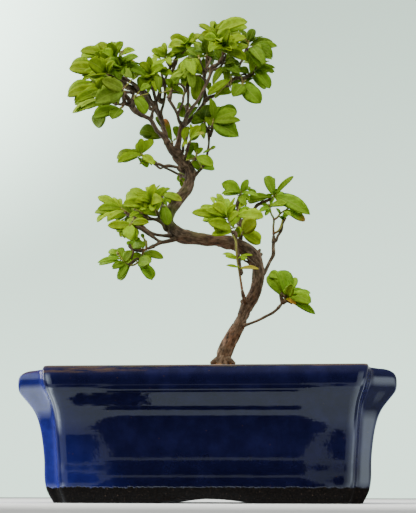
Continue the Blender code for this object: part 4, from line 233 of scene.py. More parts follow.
# Leafy shoots. "twig" is the brown end of wood that carries the shoot, "stems" are its
# green stems and each leaf is: stem, place along it, the tip's x, height and depth, the
# blade's width, and how far in degrees it is turned from facing the front.
SHOOTS = [
    ("crown_left_top", "spring", [(-57.7, 258.4, -3, 0.9), (-60, 263.5, -2, 0.8),
      (-62.6, 268.3, -1, 0.7)],
     [[(-64.2, 271.2, -1), (-65.2, 273.8, -1)]],
     [(0, 1, -86, 280.4, -4, 7, 20), (0, 1, -77.3, 284.4, 5, 7.5, 15),
      (0, 1, -68, 285.2, -8, 5.5, 30), (0, 0.9, -64.7, 286.4, 7, 5, 20),
      (0, 0.7, -58.8, 285.8, -6, 6, 10), (0, 0.5, -73.5, 272.6, 9, 6, 35),
      (0, 0.6, -71, 279.5, -12, 7, 5)]),
    ("crown_left_inner", "leaf", [(-58.9, 261, -2.5, 0.75), (-59.6, 265.2, -7, 0.65)],
     [[(-59.9, 267.6, -9), (-59.6, 270, -10)]],
     [(0, 1, -48.8, 275.4, -14, 6, 25), (0, 1, -58.3, 280, -15, 4, 45),
      (0, 0.9, -50.4, 272.6, -7, 2.4, 30), (0, 0.7, -47.2, 270.5, -4, 3, 60),
      (0, 0.4, -44, 263.5, -13, 6, 15), (0, 0.3, -60.2, 260.3, -16, 7, 0),
      (0, 0.7, -66.4, 272.3, -16, 7.5, 10)]),
    ("crown_left_middle", "spring", [(-57, 257.2, -3, 0.8), (-61.5, 260.5, -9, 0.7),
      (-65, 262.3, -12, 0.65)],
     [[(-67.2, 263.4, -13), (-69.5, 264.9, -14)]],
     [(0, 1, -93, 269.2, -15, 8.5, 10), (0, 1, -80.5, 273.2, -22, 9.5, 0),
      (0, 0.9, -72.5, 274.3, -8, 6, 30), (0, 0.6, -79.3, 263.6, -20, 6, 25),
      (0, 0.4, -64, 272.5, -19, 5, 20)]),
    ("crown_left_low", "spring", [(-54.6, 254.4, -3, 0.95), (-60.5, 255.5, 2, 0.75),
      (-66.5, 253.6, 1, 0.7)],
     [[(-69, 252.9, 0), (-71.6, 252.7, -1)]],
     [(0, 1, -93.5, 249.8, -4, 8, 20), (0, 1, -87.7, 257, 5, 8, 20),
      (0, 0.9, -88.5, 246.2, -10, 7, 5), (0, 0.7, -78, 262.7, 9, 7, 20),
      (0, 0.5, -71.5, 261.6, -4, 6.5, 35)]),
    ("crown_left_face", "pale", [(-54.9, 247.6, -10.3, 1), (-56, 249.5, -13, 0.8)],
     [[(-57, 251.2, -15), (-58.2, 253.2, -16)]],
     [(0, 0.6, -75.3, 245.8, -20, 11.5, -5), (0, 1, -71, 260, -23, 8, 0),
      (0, 1, -63.2, 260.5, -13, 3.2, 55)]),
    ("crown_left_tip", "pale", [(-61.6, 244.1, -12, 0.9), (-64.3, 245.3, -12, 0.8)],
     [[(-66.2, 246.3, -12), (-68.5, 246.9, -12)]],
     [(0, 1, -88.7, 239.7, -11, 3.4, 60), (0, 1, -84.6, 243.2, -16, 5, 40),
      (0, 0.6, -78, 250, -18, 6, 20)]),
    ("crown_left_hanging", "leaf", [(-57.6, 243.9, -11.4, 0.9), (-57.9, 242.8, -13.2, 0.6)],
     [[(-58.2, 241.9, -14.5), (-59.6, 240.9, -15.2)]],
     [(0, 1, -76.3, 236.3, -17, 7.5, 0), (0, 0.9, -64.5, 234.3, -20, 7.5, 5)]),
    ("crown_middle_left", "spring", [(-38.8, 253.2, -5, 1), (-39.7, 257.5, -5, 0.8)],
     [[(-40, 259.8, -5), (-41, 264.5, -5.5)]],
     [(0, 1, -41.8, 275.5, -8, 3.6, 10), (0, 1, -37, 275.3, 0, 3.6, 5),
      (0, 0.9, -47.9, 270.9, -11, 5.5, 25), (0, 0.9, -32.8, 268.8, -11, 6.5, 0),
      (0, 0.3, -47, 254, -9, 8, 5), (0, 0.5, -45.5, 265.5, 5, 6, 20),
      (0, 0.2, -36.8, 251.3, -11, 3, 20)]),
    ("crown_middle", "spring", [(-31.8, 255.8, 5, 1.1), (-32.8, 259.3, 3, 0.8)],
     [[(-33.3, 261.5, 2), (-34, 264.8, 1)]],
     [(0, 1, -30.2, 267, -3, 3, 25), (0, 0.6, -27.3, 262.8, -5, 4.5, 10),
      (0, 1, -38.5, 268.5, 7, 5, 20), (0, 0.8, -36.3, 271.5, -5, 4, 15)]),
    ("crown_middle_top", "spring", [(-27.9, 268.2, 5, 1), (-29.7, 270.3, 4, 0.75)],
     [[(-30.8, 271.8, 3.5), (-31.4, 273.8, 3)]],
     [(0, 1, -40.4, 279.4, 0, 5.5, 20), (0, 1, -32.1, 284.4, 5, 3.5, 10),
      (0, 0.6, -28.1, 269.7, -5, 4.2, 10), (0, 0.9, -27.8, 277.3, 9.5, 1.8, 38)]),
    ("crown_top_left", "spring", [(-22.3, 276.2, 5, 0.8), (-20, 278, 4, 0.75)],
     [[(-18.4, 279.3, 3.5), (-16.5, 281, 3)]],
     [(0, 0.8, -28.4, 288.2, 0, 7, 10), (0, 0.5, -28.2, 282.3, -8, 6.5, 5),
      (0, 1, -17.1, 287.9, 10, 3.3, 10), (0, 1, -13.6, 290.5, -3, 3.2, 10),
      (0, 1, -9.4, 289.4, 7, 4.6, 5), (0, 0.8, -9.5, 281.5, -8, 3, 50),
      (0, 0.4, -24.3, 271.8, 16.6, 5.5, 15)]),
    ("crown_inner", "deep", [(-6.25, 263.3, 4.3, 0.9), (-4.9, 268, 8, 0.8), (-5.2, 270.8, 9, 0.7)],
     [[(-5.4, 273.3, 9), (-5.2, 275.7, 9)]],
     [(0, 1, -3, 288.5, 6, 6.5, 10), (0, 1, 2.5, 284, 12, 6, 10), (0, 0.7, -12, 279, 14, 5.5, 20),
      (0, 0.6, 3.5, 272, 14, 5.5, 10), (0, 0.4, -4.7, 262.5, 20.8, 3.4, 0)]),
    ("crown_middle_right", "spring", [(-10, 270.8, 2.2, 0.9), (-12.2, 272, 0, 0.75)],
     [[(-14, 272.6, -1), (-16, 272.9, -2)]],
     [(0, 1, -20.6, 264.4, -8, 5, 15), (0, 0.7, -13.2, 262, -12, 6.5, 5),
      (0, 1, -20, 271.2, 3, 2.6, 30), (0, 0.5, -8.5, 263.5, -7, 4.5, 10)]),
    ("crown_middle_stem", "pale", [(-17.2, 254.4, -2, 1), (-17.2, 257.5, -2, 0.75),
      (-17.2, 261.5, -2, 0.7)],
     [[(-17.1, 263.7, -2), (-16.8, 266.3, -2)]],
     [(0, 0.5, -29, 255, -5, 5, 15), (0, 0.7, -27.8, 261.8, 0, 4.5, 20),
      (0, 0.4, -14, 253, -7, 5, 15), (0, 1, -12.3, 270, 2.8, 5, 10),
      (0, 1, -22.3, 266.8, 4, 4, 20)]),
    ("crown_hanging_right", "leaf", [(-6.7, 258.2, 4, 0.9), (-8.8, 260.4, 0, 0.65)],
     [[(-10, 261.2, -2), (-11.5, 261.3, -3)]],
     [(0, 1, -12.2, 245, -5, 6.8, 5), (0, 0.7, -9.4, 251.5, -3, 5.5, 10)]),
    ("crown_fork_left", "leaf", [(-28.7, 246.4, -10.8, 1), (-27.6, 250, -11, 0.7)],
     [[(-27.2, 252, -11), (-27.2, 254.2, -11.5)]],
     [(0, 1, -22.5, 260.5, -13, 5, 10), (0, 1, -31, 259.5, -16, 4.5, 10),
      (0, 0.8, -20.5, 256.5, -8, 4, 20), (0, 0.3, -19.7, 251, -11, 3.2, 10)]),
    ("crown_behind_fork", "leaf", [(-17.3, 238, -3.6, 0.7), (-17.8, 240, 2, 0.6)],
     [[(-18.2, 240.8, 4), (-18.8, 241.3, 5.8)]],
     [(0, 1, -23.9, 241.2, 8, 4.5, 5), (0, 0.9, -19.5, 233.6, 9, 7, 0),
      (0, 0.9, -14.3, 241, 9, 4, 20)]),
    ("crown_top", "spring", [(3, 269.5, -5, 1.1), (4.6, 272.3, -5, 0.9)],
     [[(5.1, 274.4, -5), (4.4, 280.5, -5.5), (0.4, 287, -5)]],
     [(0, 1, 20.6, 296.8, -7, 8.5, 20), (0, 1, -10.4, 296, -3, 3.5, 15),
      (0, 1, -1, 298.2, 0, 3.4, 10), (0, 0.7, -6.8, 286.5, -12, 6.5, 10),
      (0, 0.5, 8.5, 292, -14, 8.5, 0), (0, 0.6, 15.5, 290.5, -1, 8.5, 15),
      (0, 0.4, 19.2, 286.5, -9, 6.5, 20), (0, 0.5, 3.4, 285.5, -20, 5, 0),
      (0, 0.3, 14, 279.6, -12, 6.5, 10), (0, 0.2, 19.8, 271, -10, 6, 5),
      (0, 0.5, -3.8, 277.5, -16, 6, 10)]),
    ("crown_right_top", "deep", [(18.3, 273.1, 5, 0.8), (19.6, 277.6, 5, 0.7)],
     [[(20.4, 279.8, 5), (21.2, 282.4, 4.5)]],
     [(0, 1, 24.3, 291.8, 3, 5.2, 10), (0, 0.9, 17.5, 289.2, 9, 4, 20),
      (0, 1, 30.2, 286.8, 5, 1.5, 30), (0, 0.5, 16.3, 279.8, 1, 2.5, 40)]),
    ("crown_right", "leaf", [(19.1, 275.6, 5, 0.75), (20.6, 277.2, 2, 0.6)],
     [[(21.6, 278.2, 0), (23.3, 279.2, -1.2)]],
     [(0, 1, 39.2, 279.9, -3, 5.8, 20), (0, 1, 35.8, 273, -8, 8.5, 10),
      (0, 0.8, 31, 269.2, -14, 6.5, 10), (0, 0.4, 22.7, 262.8, -6, 4.2, 10)]),
    ("crown_right_low", "leaf", [(21.9, 260.3, 0, 0.85), (23.8, 261.8, 0, 0.7)],
     [[(24.5, 263.1, -0.5), (25.2, 265, -1)]],
     [(0, 1, 37.6, 265.6, -3, 4, 25), (0, 0.9, 37.1, 262.6, -6, 4.2, 10),
      (0, 0.4, 34.2, 251.5, -6, 6.6, 10), (0, 0.8, 33, 268, 6, 4, 30)]),
    ("crown_right_hanging", "leaf", [(16, 258.2, 0, 1), (16.6, 257, -3, 0.7)],
     [[(17, 256, -4.6), (17.3, 254.8, -6)]],
     [(0, 0.9, 28.3, 242.4, -9, 9.4, 0), (0, 1, 11.2, 247.1, -10, 8, 0)]),
    ("crown_right_inner", "deep", [(9, 260.8, -1.5, 0.8), (6.9, 264.3, -3, 0.65)],
     [[(6.2, 266, -3.5), (6.6, 268.3, -4)]],
     [(0, 0.5, 15.7, 262, -10, 5.5, 10), (0, 1, 13, 270.5, -9, 5, 20),
      (0, 0.4, -1.4, 255.3, -9, 4.2, 10), (0, 0.8, 17, 266.5, 3, 5.5, 20)]),
    ("crown_arm_leaf", "spring", [(8.4, 254.6, 0, 0.9), (9.4, 256.8, -3.6, 0.6)],
     [[(9.9, 257.8, -5.2), (9.8, 259, -6.2)]],
     [(0, 0.8, -4.6, 248.4, -10.2, 5.2, 10)]),
    ("middle_right", "leaf", [(-3.6, 221.4, -3, 0.95), (-1.9, 224.8, -4, 0.7),
      (-1.3, 227, -5, 0.65)],
     [[(-1, 228.8, -6), (-1, 231.2, -6.5)]],
     [(0, 1, 13.7, 236.8, -6, 7.4, 10), (0, 0.8, 15.9, 231.2, -11, 5.4, 10),
      (0, 0.6, 13.6, 228, -3, 3, 30), (0, 0.4, 14.5, 221.3, -10, 9.5, 0),
      (0, 1, -2.8, 246.2, -9, 4.2, 10), (0, 0.9, 9, 240.9, 2, 6, 15)]),
    ("middle_left", "deep", [(-4, 224.2, -3, 1), (-5.7, 227.7, -2, 0.7)],
     [[(-6.3, 229.4, -1.5), (-6.7, 231.6, -1)]],
     [(0, 0.9, -14.8, 230.2, -3, 5.4, 15), (0, 1, -10.5, 238, 2.4, 6, 10),
      (0, 1, -4.2, 242, -6, 7, 5), (0, 0.8, -13.2, 236, 0.2, 5, 10),
      (0, 0.4, -6.8, 220.2, -10.2, 3.6, 5)]),
    ("middle_low", "spring", [(-17.5, 212, -3.8, 0.75), (-16.5, 215.3, -5, 0.65)],
     [[(-15.9, 217, -5.5), (-15.2, 219, -6)]],
     [(0, 1, -9.3, 228.6, -8, 5.2, 5), (0, 1, -15.3, 229.8, -3, 2.2, 20),
      (0, 0.8, -6.6, 223.5, -12, 3, 30), (0, 0.5, -20, 215.2, -8, 2.2, 30)]),
    ("middle_short", "leaf", [(-14, 204.3, -1.6, 0.75), (-12.4, 206.2, -3, 0.65)],
     [[(-11.6, 207.6, -3.5), (-11.4, 209.6, -4)]],
     [(0, 1, -12.3, 218, -2, 3.6, 10), (0, 0.9, -7.4, 214, -4, 3.4, 10),
      (0, 0.4, -1, 202.2, -7, 6.2, 5)]),
    ("middle_thin", "leaf", [(-4.5, 211.7, -3, 0.6), (-3.9, 212.2, -4.6, 0.45)],
     [[(-3.5, 212.5, -5.6), (-3, 212.9, -6.6)]],
     [(0, 1, 0.6, 214.4, -8, 2.2, 10), (0, 0.9, -7.4, 210.4, -8, 1.5, 20)]),
    ("leaf_far_left", "deep", [(-33.6, 223.6, -4.2, 1), (-33.7, 222.4, -1.4, 0.7)],
     [[(-33.9, 221.8, 0.2), (-34.8, 221.8, 1.6)]],
     [(0, 1, -46.9, 226, 3, 8, 5)]),
    ("leaf_limb_top", "leaf", [(-51.5, 242.2, -10.4, 1), (-51.2, 245.6, -12.6, 0.6)],
     [[(-51, 246.8, -13.6), (-50.6, 248, -14.2)]],
     [(0, 0.8, -43.1, 237, -15, 6.2, 5), (0, 1, -43.8, 246.4, -14, 2.2, 30)]),
    ("leaf_dark_narrow", "deep", [(-31.8, 226.5, -1, 0.9), (-32.2, 226.1, 1.6, 0.6)],
     [[(-32.5, 226, 3), (-33.1, 226.8, 4)]],
     [(0, 1, -36.1, 235.3, 9.4, 2.8, 10)]),
    ("leaf_orange_tip", "spring", [(-27, 213.6, -1.2, 1.2), (-26.6, 215.8, 2.2, 0.6)],
     [[(-26.4, 216.6, 3.6), (-26.6, 218, 4.4)]],
     [(0, 1, -32.3, 233.8, 10.4, 4.6, 5)]),
    ("leaf_centre", "leaf", [(-22, 219.5, 1, 1), (-22.9, 219.3, 4, 0.5)],
     [[(-23.2, 219.5, 5.2), (-23.5, 220.5, 6.2)]],
     [(0, 1, -24.6, 228.8, 8, 4, 5), (0, 0.8, -26, 218.8, 8, 1.6, 10)]),
    ("twig_left_rosette", "spring", [(-40.2, 205.5, -5, 0.75), (-43.2, 207.6, -5, 0.7)],
     [[(-44.4, 208.9, -5), (-45.5, 210.9, -5)]],
     [(0, 1, -46, 221, -7, 4, 5), (0, 1, -38.4, 220, -4, 4.4, 5), (0, 0.9, -61, 211, -2, 4.6, 15),
      (0, 0.7, -60.5, 206, -9, 4.8, 5), (0, 1, -50.9, 213.5, 3, 3, 10),
      (0, 0.6, -37.6, 204.4, -9, 4.6, 10), (0, 0.4, -38.6, 203.9, 1.2, 3.4, 20)]),
    ("leaf_trunk_left", "leaf", [(-20.5, 196.4, 3.4, 0.65), (-20.9, 195.7, 5.6, 0.5)],
     [[(-21.1, 195.4, 6.8), (-21.2, 194.6, 7.8)]],
     [(0, 1, -19, 188.7, 9, 3.8, 5), (0, 0.8, -20.8, 199.4, 9, 2, 10)]),
    ("low_left_far", "spring", [(-46.8, 166.8, -8, 1.2), (-49.2, 169.4, -8, 1),
      (-52.3, 171.8, -7, 0.8)],
     [[(-54.3, 173.3, -7), (-57.6, 176, -7)]],
     [(0, 1, -72.4, 184, -5, 4.6, 10), (0, 0.9, -72.5, 176, -11, 5.2, 10),
      (0, 0.7, -74, 174, -3, 3.6, 30), (0, 0.6, -72, 168.4, -13, 2.6, 30),
      (0, 1, -59.8, 182.5, -2, 3, 10), (0, 0.3, -66.2, 169, -16, 4, 15)]),
    ("low_left_under", "spring", [(-48.4, 168.6, -8, 1.1), (-49.8, 167.6, -11, 0.8)],
     [[(-50.4, 166.8, -12.8), (-51.6, 165.8, -14)]],
     [(0, 1, -65.8, 165.6, -17, 5.6, 5), (0, 1, -58.4, 158.4, -13, 4.6, 10),
      (0, 0.9, -51.4, 155.8, -18, 6.6, 0), (0, 0.5, -40.3, 167.2, -16, 4.4, 0),
      (0, 0.6, -47.5, 158, -8, 4.5, 20)]),
    ("low_left_stem", "spring", [(-33.2, 169, -4, 1.2), (-36, 168.8, -5, 0.7),
      (-39.2, 169.6, -6, 0.65), (-41.5, 170.8, -7, 0.65)],
     [[(-43, 171.7, -7.5), (-48.5, 175.2, -9)]],
     [(0, 1, -54.5, 180.8, -5, 4, 10), (0, 0.6, -52.5, 170.6, -10.4, 3, 20),
      (0, 0.4, -43.2, 178, -4, 4, 10), (0, 0.9, -49, 183.8, -3, 5, 20)]),
    ("low_left_crown", "spring", [(-33.6, 170.9, -4, 1), (-35, 173, -6, 0.7),
      (-36.6, 175.6, -8, 0.65)],
     [[(-37.7, 177.3, -9.2), (-39.6, 180.8, -9.8)]],
     [(0, 0.5, -56.6, 178.7, -14, 6.8, 5), (0, 1, -52.8, 188.4, -7, 4.2, 10),
      (0, 0.9, -42.4, 190.2, -4, 2.6, 10), (0, 1, -37.4, 191.4, -13, 4.8, 0),
      (0, 0.8, -32.4, 180.8, -17, 7, 0), (0, 1, -33.5, 190.8, -5, 1.5, 20),
      (0, 0.8, -46.5, 184.5, -17, 3, 30), (0, 0.4, -38.2, 174.2, -16, 4, 5)]),
    ("low_left_right", "spring", [(-33.4, 170.9, -4, 1), (-32.7, 175.5, -3, 0.8),
      (-32, 179, -3, 0.9), (-32.3, 182, -3, 0.8)],
     [[(-32.6, 183.8, -3.2), (-32.2, 185.8, -3.4)]],
     [(0, 1, -27.3, 188, -6, 2.6, 20), (0, 0.5, -20.3, 180.5, -9, 4.6, 5),
      (0, 1, -28.6, 185.4, 2, 3.6, 10)]),
    ("low_left_hanging", "leaf", [(-32.5, 176.6, -3, 0.8), (-32.2, 177.6, -5.8, 0.5)],
     [[(-32, 177.9, -7), (-31.4, 177.4, -8.2)]],
     [(0, 1, -28.5, 165, -11, 6.2, 5)]),
    ("low_left_bottom", "leaf", [(-37, 152.2, -7.8, 0.8), (-39.4, 151.2, -8.2, 0.7)],
     [[(-41.2, 150.4, -8.5), (-43.2, 149.4, -8.8), (-44.2, 146.2, -9), (-45.4, 143.8, -9.4),
      (-47.4, 141.6, -9.8), (-49.8, 140.4, -10), (-54, 141.8, -10), (-56.8, 144.5, -10),
      (-58.6, 147.2, -10)], [(-42.6, 149.8, -8.7), (-45.8, 150.4, -8.4), (-49.4, 151, -8.2),
      (-51.4, 153, -8.2)], [(-41.8, 150.2, -8.5), (-41.7, 154, -8.2), (-43.3, 157, -8.2)]],
     [(1, 1, -53.8, 155.2, -9, 2.6, 15), (1, 0.85, -42.8, 152.9, -14, 5.2, 5),
      (2, 1, -45, 160, -9, 2, 10), (0, 1, -65.1, 149.5, -8, 3.6, 10),
      (0, 0.97, -59.8, 151.2, -5, 3, 10), (0, 0.85, -71.6, 142.2, -13, 3, 25),
      (0, 0.8, -50.5, 149.4, -15, 5.5, 5), (0, 0.72, -62.3, 138.3, -13, 3.9, 10),
      (0, 0.66, -58.8, 131.6, -13, 4.2, 5), (0, 0.36, -38, 131.7, -14, 5, 5),
      (0, 0.38, -38.4, 142.5, -17, 6.6, 0), (0, 0.14, -31.4, 144.7, -13, 4.4, 5)]),
    ("front_shoot", "spring", [(17.2, 120.4, -6.8, 0.75), (16.8, 122.4, -7.4, 0.65)],
     [[(16.4, 124.6, -8), (15.3, 132.2, -9.4), (14.4, 138.2, -10.4), (13.5, 143.6, -11.4),
      (13, 149, -12.4), (12.4, 155.6, -13), (10.6, 159, -13), (8.6, 166.5, -13.2),
      (7.6, 171, -13.4)]],
     [(0, 0.97, -14.2, 173.2, -15, 5.6, 10), (0, 0.93, -7.6, 167.8, -10, 3.5, 20),
      (0, 0.8, -3.8, 166.6, -18, 6.8, 5), (0, 0.76, -2, 158.8, -15, 4.2, 10),
      (0, 1, -1.7, 182.6, -11, 2.2, 10), (0, 1, 2.2, 184.7, -9, 2.4, 10),
      (0, 1, 7, 182, -8, 3.2, 10), (0, 1, 12.4, 182, -15, 1.8, 10),
      (0, 0.99, -1.8, 177.6, -20, 6, 10), (0, 0.96, 13, 177.6, -20, 3, 10),
      (0, 0.9, 14.8, 172.4, -20, 5, 20), (0, 0.42, 4.7, 146.7, -14, 2, 20),
      (0, 0.29, 7.1, 139.8, -12.5, 1.8, 20), (0, 0.27, 26.7, 137, -13.5, 2.2, 15),
      (0, 0.4, 22.8, 145.8, -14, 1.6, 20)]),
    ("right_cluster_arm", "spring", [(14.8, 171, 1.8, 0.75), (14.3, 170.4, -1.8, 0.55)],
     [[(14.1, 170.1, -3.2), (13.7, 170.2, -4.6)]],
     [(0, 1, 29.4, 169.8, -8, 7, 10), (0, 0.8, 10.6, 164, -7, 4, 10),
      (0, 1, 21.5, 175.4, 1, 4, 10)]),
    ("right_cluster_low", "spring", [(15.6, 156, -3, 0.9), (16.3, 157.6, -6, 0.6)],
     [[(16.6, 158.2, -7.4), (16.9, 159.4, -8.4)]],
     [(0, 1, 25.2, 167.2, -13, 8.2, 0), (0, 0.8, 27.7, 152.9, -9, 6.4, 5),
      (0, 1, 13.6, 163, -6, 2.6, 10)]),
    ("right_upper", "leaf", [(13.9, 176.4, 2, 1), (14.5, 180, 2, 0.85)],
     [[(15, 182, 2), (16, 184.7, 2)]],
     [(0, 0.9, 4.3, 190.9, -3, 7.4, 5), (0, 0.6, 4.5, 184.7, -7, 3, 25),
      (0, 1, 20.3, 193.2, 1, 4, 5), (0, 0.9, 26.4, 183.2, -4, 3, 30),
      (0, 1, 22.1, 188.4, 7, 2.2, 10), (0, 0.4, 19, 176.6, -5, 4.2, 5)]),
    ("right_outer", "leaf", [(28.4, 177.8, 4, 0.85), (32.5, 179.7, 3, 0.65)],
     [[(34.1, 180.6, 2.6), (36.4, 182.2, 2)]],
     [(0, 0.8, 31.6, 195.4, 4, 5.8, 5), (0, 1, 48.2, 194.7, -1, 3.4, 15),
      (0, 1, 38, 186.4, -4, 2.6, 10), (0, 1, 42.6, 184, 6, 2, 15),
      (0, 0.3, 31.8, 183.6, -3, 2.4, 10), (0, 0.4, 18.6, 180.6, -0.8, 4, 10),
      (0, 0.9, 57.3, 171.2, -6, 8.4, 5)]),
    ("right_stem", "leaf", [(35.6, 153.2, 2, 0.85), (35.7, 155.8, 2, 0.8)],
     [[(35.6, 158, 2), (35.5, 163, 2), (35.8, 167.8, 2), (34.3, 171.2, 2), (33.3, 175.6, 1.8)],
      [(35.8, 167.4, 2), (38.2, 169, 0), (39.7, 171.1, -1), (43.3, 173.4, -2.5)], [(35.6, 158.8, 2),
      (38, 160, 1), (39.5, 162, 0), (40.5, 164.6, 0), (41.3, 167.8, 0)]],
     [(0, 1, 43.6, 177.6, -5, 4, 20), (0, 0.97, 27, 172.8, -3, 3.2, 10),
      (0, 1, 28.5, 177.3, 1.6, 2.4, 20), (0, 0.85, 31.7, 170.4, -3, 2.2, 20),
      (1, 0.96, 54.6, 166.2, -3.8, 4.8, 10), (1, 0.6, 37.5, 174.5, -5, 2, 20),
      (1, 0.9, 46.4, 169.4, -7, 2.4, 10), (2, 1, 44.2, 170, -4, 2.4, 10),
      (2, 0.97, 39.2, 169.2, -3, 2, 10)]),
    ("right_low", "leaf", [(37.6, 112.9, -8, 0.6), (40, 115.9, -8, 0.6)],
     [[(41, 117.4, -8), (43.8, 121.2, -8.5)]],
     [(0, 0.5, 32.4, 133.8, -6, 7, 5), (0, 0.7, 39.5, 135.8, -12, 5.5, 10),
      (0, 0.9, 43.8, 131.3, -4, 5, 15), (0, 1, 48.9, 131.9, -7, 3.9, 5),
      (0, 1, 57.4, 122.2, -6, 3.6, 25), (0, 0.9, 57.5, 116.4, -12, 7, 5),
      (0, 0.6, 59.8, 109.6, -10, 4.4, 5), (0, 0.4, 48.6, 115.2, -11, 2.6, 10),
      (0, 0.9, 46.2, 127, -15, 5.5, 5)]),
    ("back_right_rosette", "deep", [(-6.6, 261.2, 23.8, 0.8), (-8.4, 268.5, 26, 0.7)],
     [[(-9.2, 270.8, 26.6), (-10.2, 273.6, 27.2)]],
     [(0, 1, -19, 279.6, 30, 6.5, 20), (0, 1, -12, 284.5, 33, 6.5, 20),
      (0, 0.9, -2, 281, 36, 6.5, 30), (0, 0.7, -17, 268.5, 35, 6, 20),
      (0, 0.8, -4, 272.5, 34, 6, 40), (0, 1, -8, 278, 40, 6.5, 60)]),
    ("back_left_rosette", "deep", [(-53.8, 254.1, 21.8, 0.8), (-60.5, 257.3, 24, 0.7)],
     [[(-62.8, 258.5, 24.8), (-66, 260.4, 26)]],
     [(0, 1, -79, 258, 30, 7.5, 30), (0, 1, -72.5, 266.8, 33, 7, 30),
      (0, 0.9, -75, 253, 36, 6.5, 40), (0, 0.7, -61.5, 266.5, 34, 6.5, 30),
      (0, 0.6, -65, 252.5, 35, 6, 50), (0, 1, -70, 260, 40, 7, 60)]),
    ("back_left_top", "deep", [(-54, 254.2, 21.8, 0.75), (-57.5, 260, 23.5, 0.7),
      (-61.2, 266.2, 25, 0.65)],
     [[(-62.6, 268.4, 25.6), (-64.4, 271.6, 26.4)]],
     [(0, 1, -76, 277.5, 30, 7, 30), (0, 1, -66.5, 281.5, 32, 6.5, 30),
      (0, 0.8, -74.5, 270, 34, 6.5, 40), (0, 0.8, -60.5, 279, 34, 6, 40),
      (0, 1, -69, 275, 40, 6.5, 60)]),
    ("back_low_rosette", "deep", [(-42.8, 163.3, 15.8, 0.65), (-47.4, 167.6, 18, 0.6)],
     [[(-48.8, 169.2, 18.8), (-50.8, 171.8, 20)]],
     [(0, 1, -62.5, 177, 22, 6, 30), (0, 1, -54, 181, 26, 5.5, 30),
      (0, 0.8, -61.5, 171, 27, 5.5, 40), (0, 0.8, -43.5, 178, 26, 5.5, 30),
      (0, 0.6, -56, 164.5, 26, 5.5, 40), (0, 1, -50, 176, 33, 6, 60)]),
    ("back_cluster_rosette", "deep", [(15, 160.2, -1, 0.85), (14.6, 163.4, 4, 0.65),
      (13.2, 166.4, 8.6, 0.6)],
     [[(12.4, 168.2, 10.6), (11, 170.4, 12.6)]],
     [(0, 1, 2, 175, 16, 6, 30), (0, 1, 12.5, 178.5, 19, 5.5, 30), (0, 0.8, 3, 167.5, 20, 5.5, 40),
      (0, 0.8, 21, 172.5, 19, 5.5, 30), (0, 0.6, 11.5, 162.5, 20, 5, 40),
      (0, 1, 10, 172.5, 26, 6, 60)]),
    ("back_arm_rosette", "deep", [(16.6, 258.5, 0.6, 1), (19.5, 259.8, 5, 0.8),
      (22.6, 262.4, 9, 0.7)],
     [[(23.6, 264.2, 10.8), (25.4, 267.4, 12.6)]],
     [(0, 1, 33.5, 274, 16, 6, 30), (0, 1, 25, 276.5, 19, 5.5, 30), (0, 0.8, 34, 269.5, 20, 5, 40),
      (0, 0.8, 17.5, 270, 19, 5.5, 30), (0, 1, 27, 270.5, 26, 6, 60)]),
]


# Numbers, noise and curves. How often a line on the sheet is read, and whole numbers that
# mix up the noise's lattice.
STEPS_PER_MM = 2.0
HASH_FACTORS = (374761393, 668265263, 2147483647)
HASH_SEED = 974711
HASH_MIX = 1274126177
# Limbs: least radius in millimetres, and how far domes and flare reach by their radius.
LEAST_RADIUS = 0.2
END_DOME = 0.4
FLARE_LENGTH = 3.0


def srgb(code):
    """Linear red, green, blue and alpha of an sRGB hex code."""
    parts = [int(code[i:i + 2], 16) / 255.0 for i in (1, 3, 5)]
    linear = [p / 12.92 if p <= 0.04045 else ((p + 0.055) / 1.055) ** 2.4 for p in parts]
    return (*linear, 1.0)


def path_places(points):
    """How far along its path each point lies."""
    return np.concatenate([[0.0], np.cumsum(np.linalg.norm(np.diff(points, axis=0), axis=1))])


def on_sheet(x, z, depth):
    """Place in space of sheet points: each is moved along the line of sight to its depth.

    reach = distance from the eye over the sheet's distance; x and z grow with it.
    """
    x, z, depth = np.broadcast_arrays(np.asarray(x, float), z, depth)
    back = depth + (DEPTH_SPREAD - 1.0) * np.minimum(depth, DEPTH_LIMIT)
    reach = (back - EYE_Y) / -EYE_Y
    across, height = EYE_X + SHEET_X + (x - EYE_X) * reach, EYE_Z + (z - EYE_Z) * reach
    return np.stack([across, back, height], axis=-1)


def knots_of(rows):
    """Table rows of x, height, depth and radius as points in space with their radius."""
    rows = np.array(rows, float)
    return np.column_stack([on_sheet(rows[:, 0], rows[:, 1], rows[:, 2]), rows[:, 3]])


def sheet_steps(rows):
    """Table rows of x, height and depth, read STEPS_PER_MM times a millimetre on their line."""
    rows = np.array(rows, float)[:, :3]
    way = path_places(rows[:, :2])
    goal = np.linspace(0.0, way[-1], int(STEPS_PER_MM * way[-1]) + 2)
    return np.stack([np.interp(goal, way, rows[:, axis]) for axis in range(3)], axis=-1)


def nearest(points, rows):
    """For each sheet point the number of the row nearest to it on the sheet, and how far."""
    away = np.linalg.norm(points[:, None, :2] - rows[None, :, :2], axis=2)
    return np.argmin(away, axis=1), np.min(away, axis=1)


def unit(vectors):
    """The vectors at length 1."""
    return vectors / np.maximum(np.linalg.norm(vectors, axis=-1, keepdims=True), 1e-9)


def smoothstep(values, low, high):
    """0 below low, 1 above high, and 3t^2 - 2t^3 between them."""
    t = np.clip((values - low) / (high - low), 0.0, 1.0)
    return t * t * (3.0 - 2.0 * t)


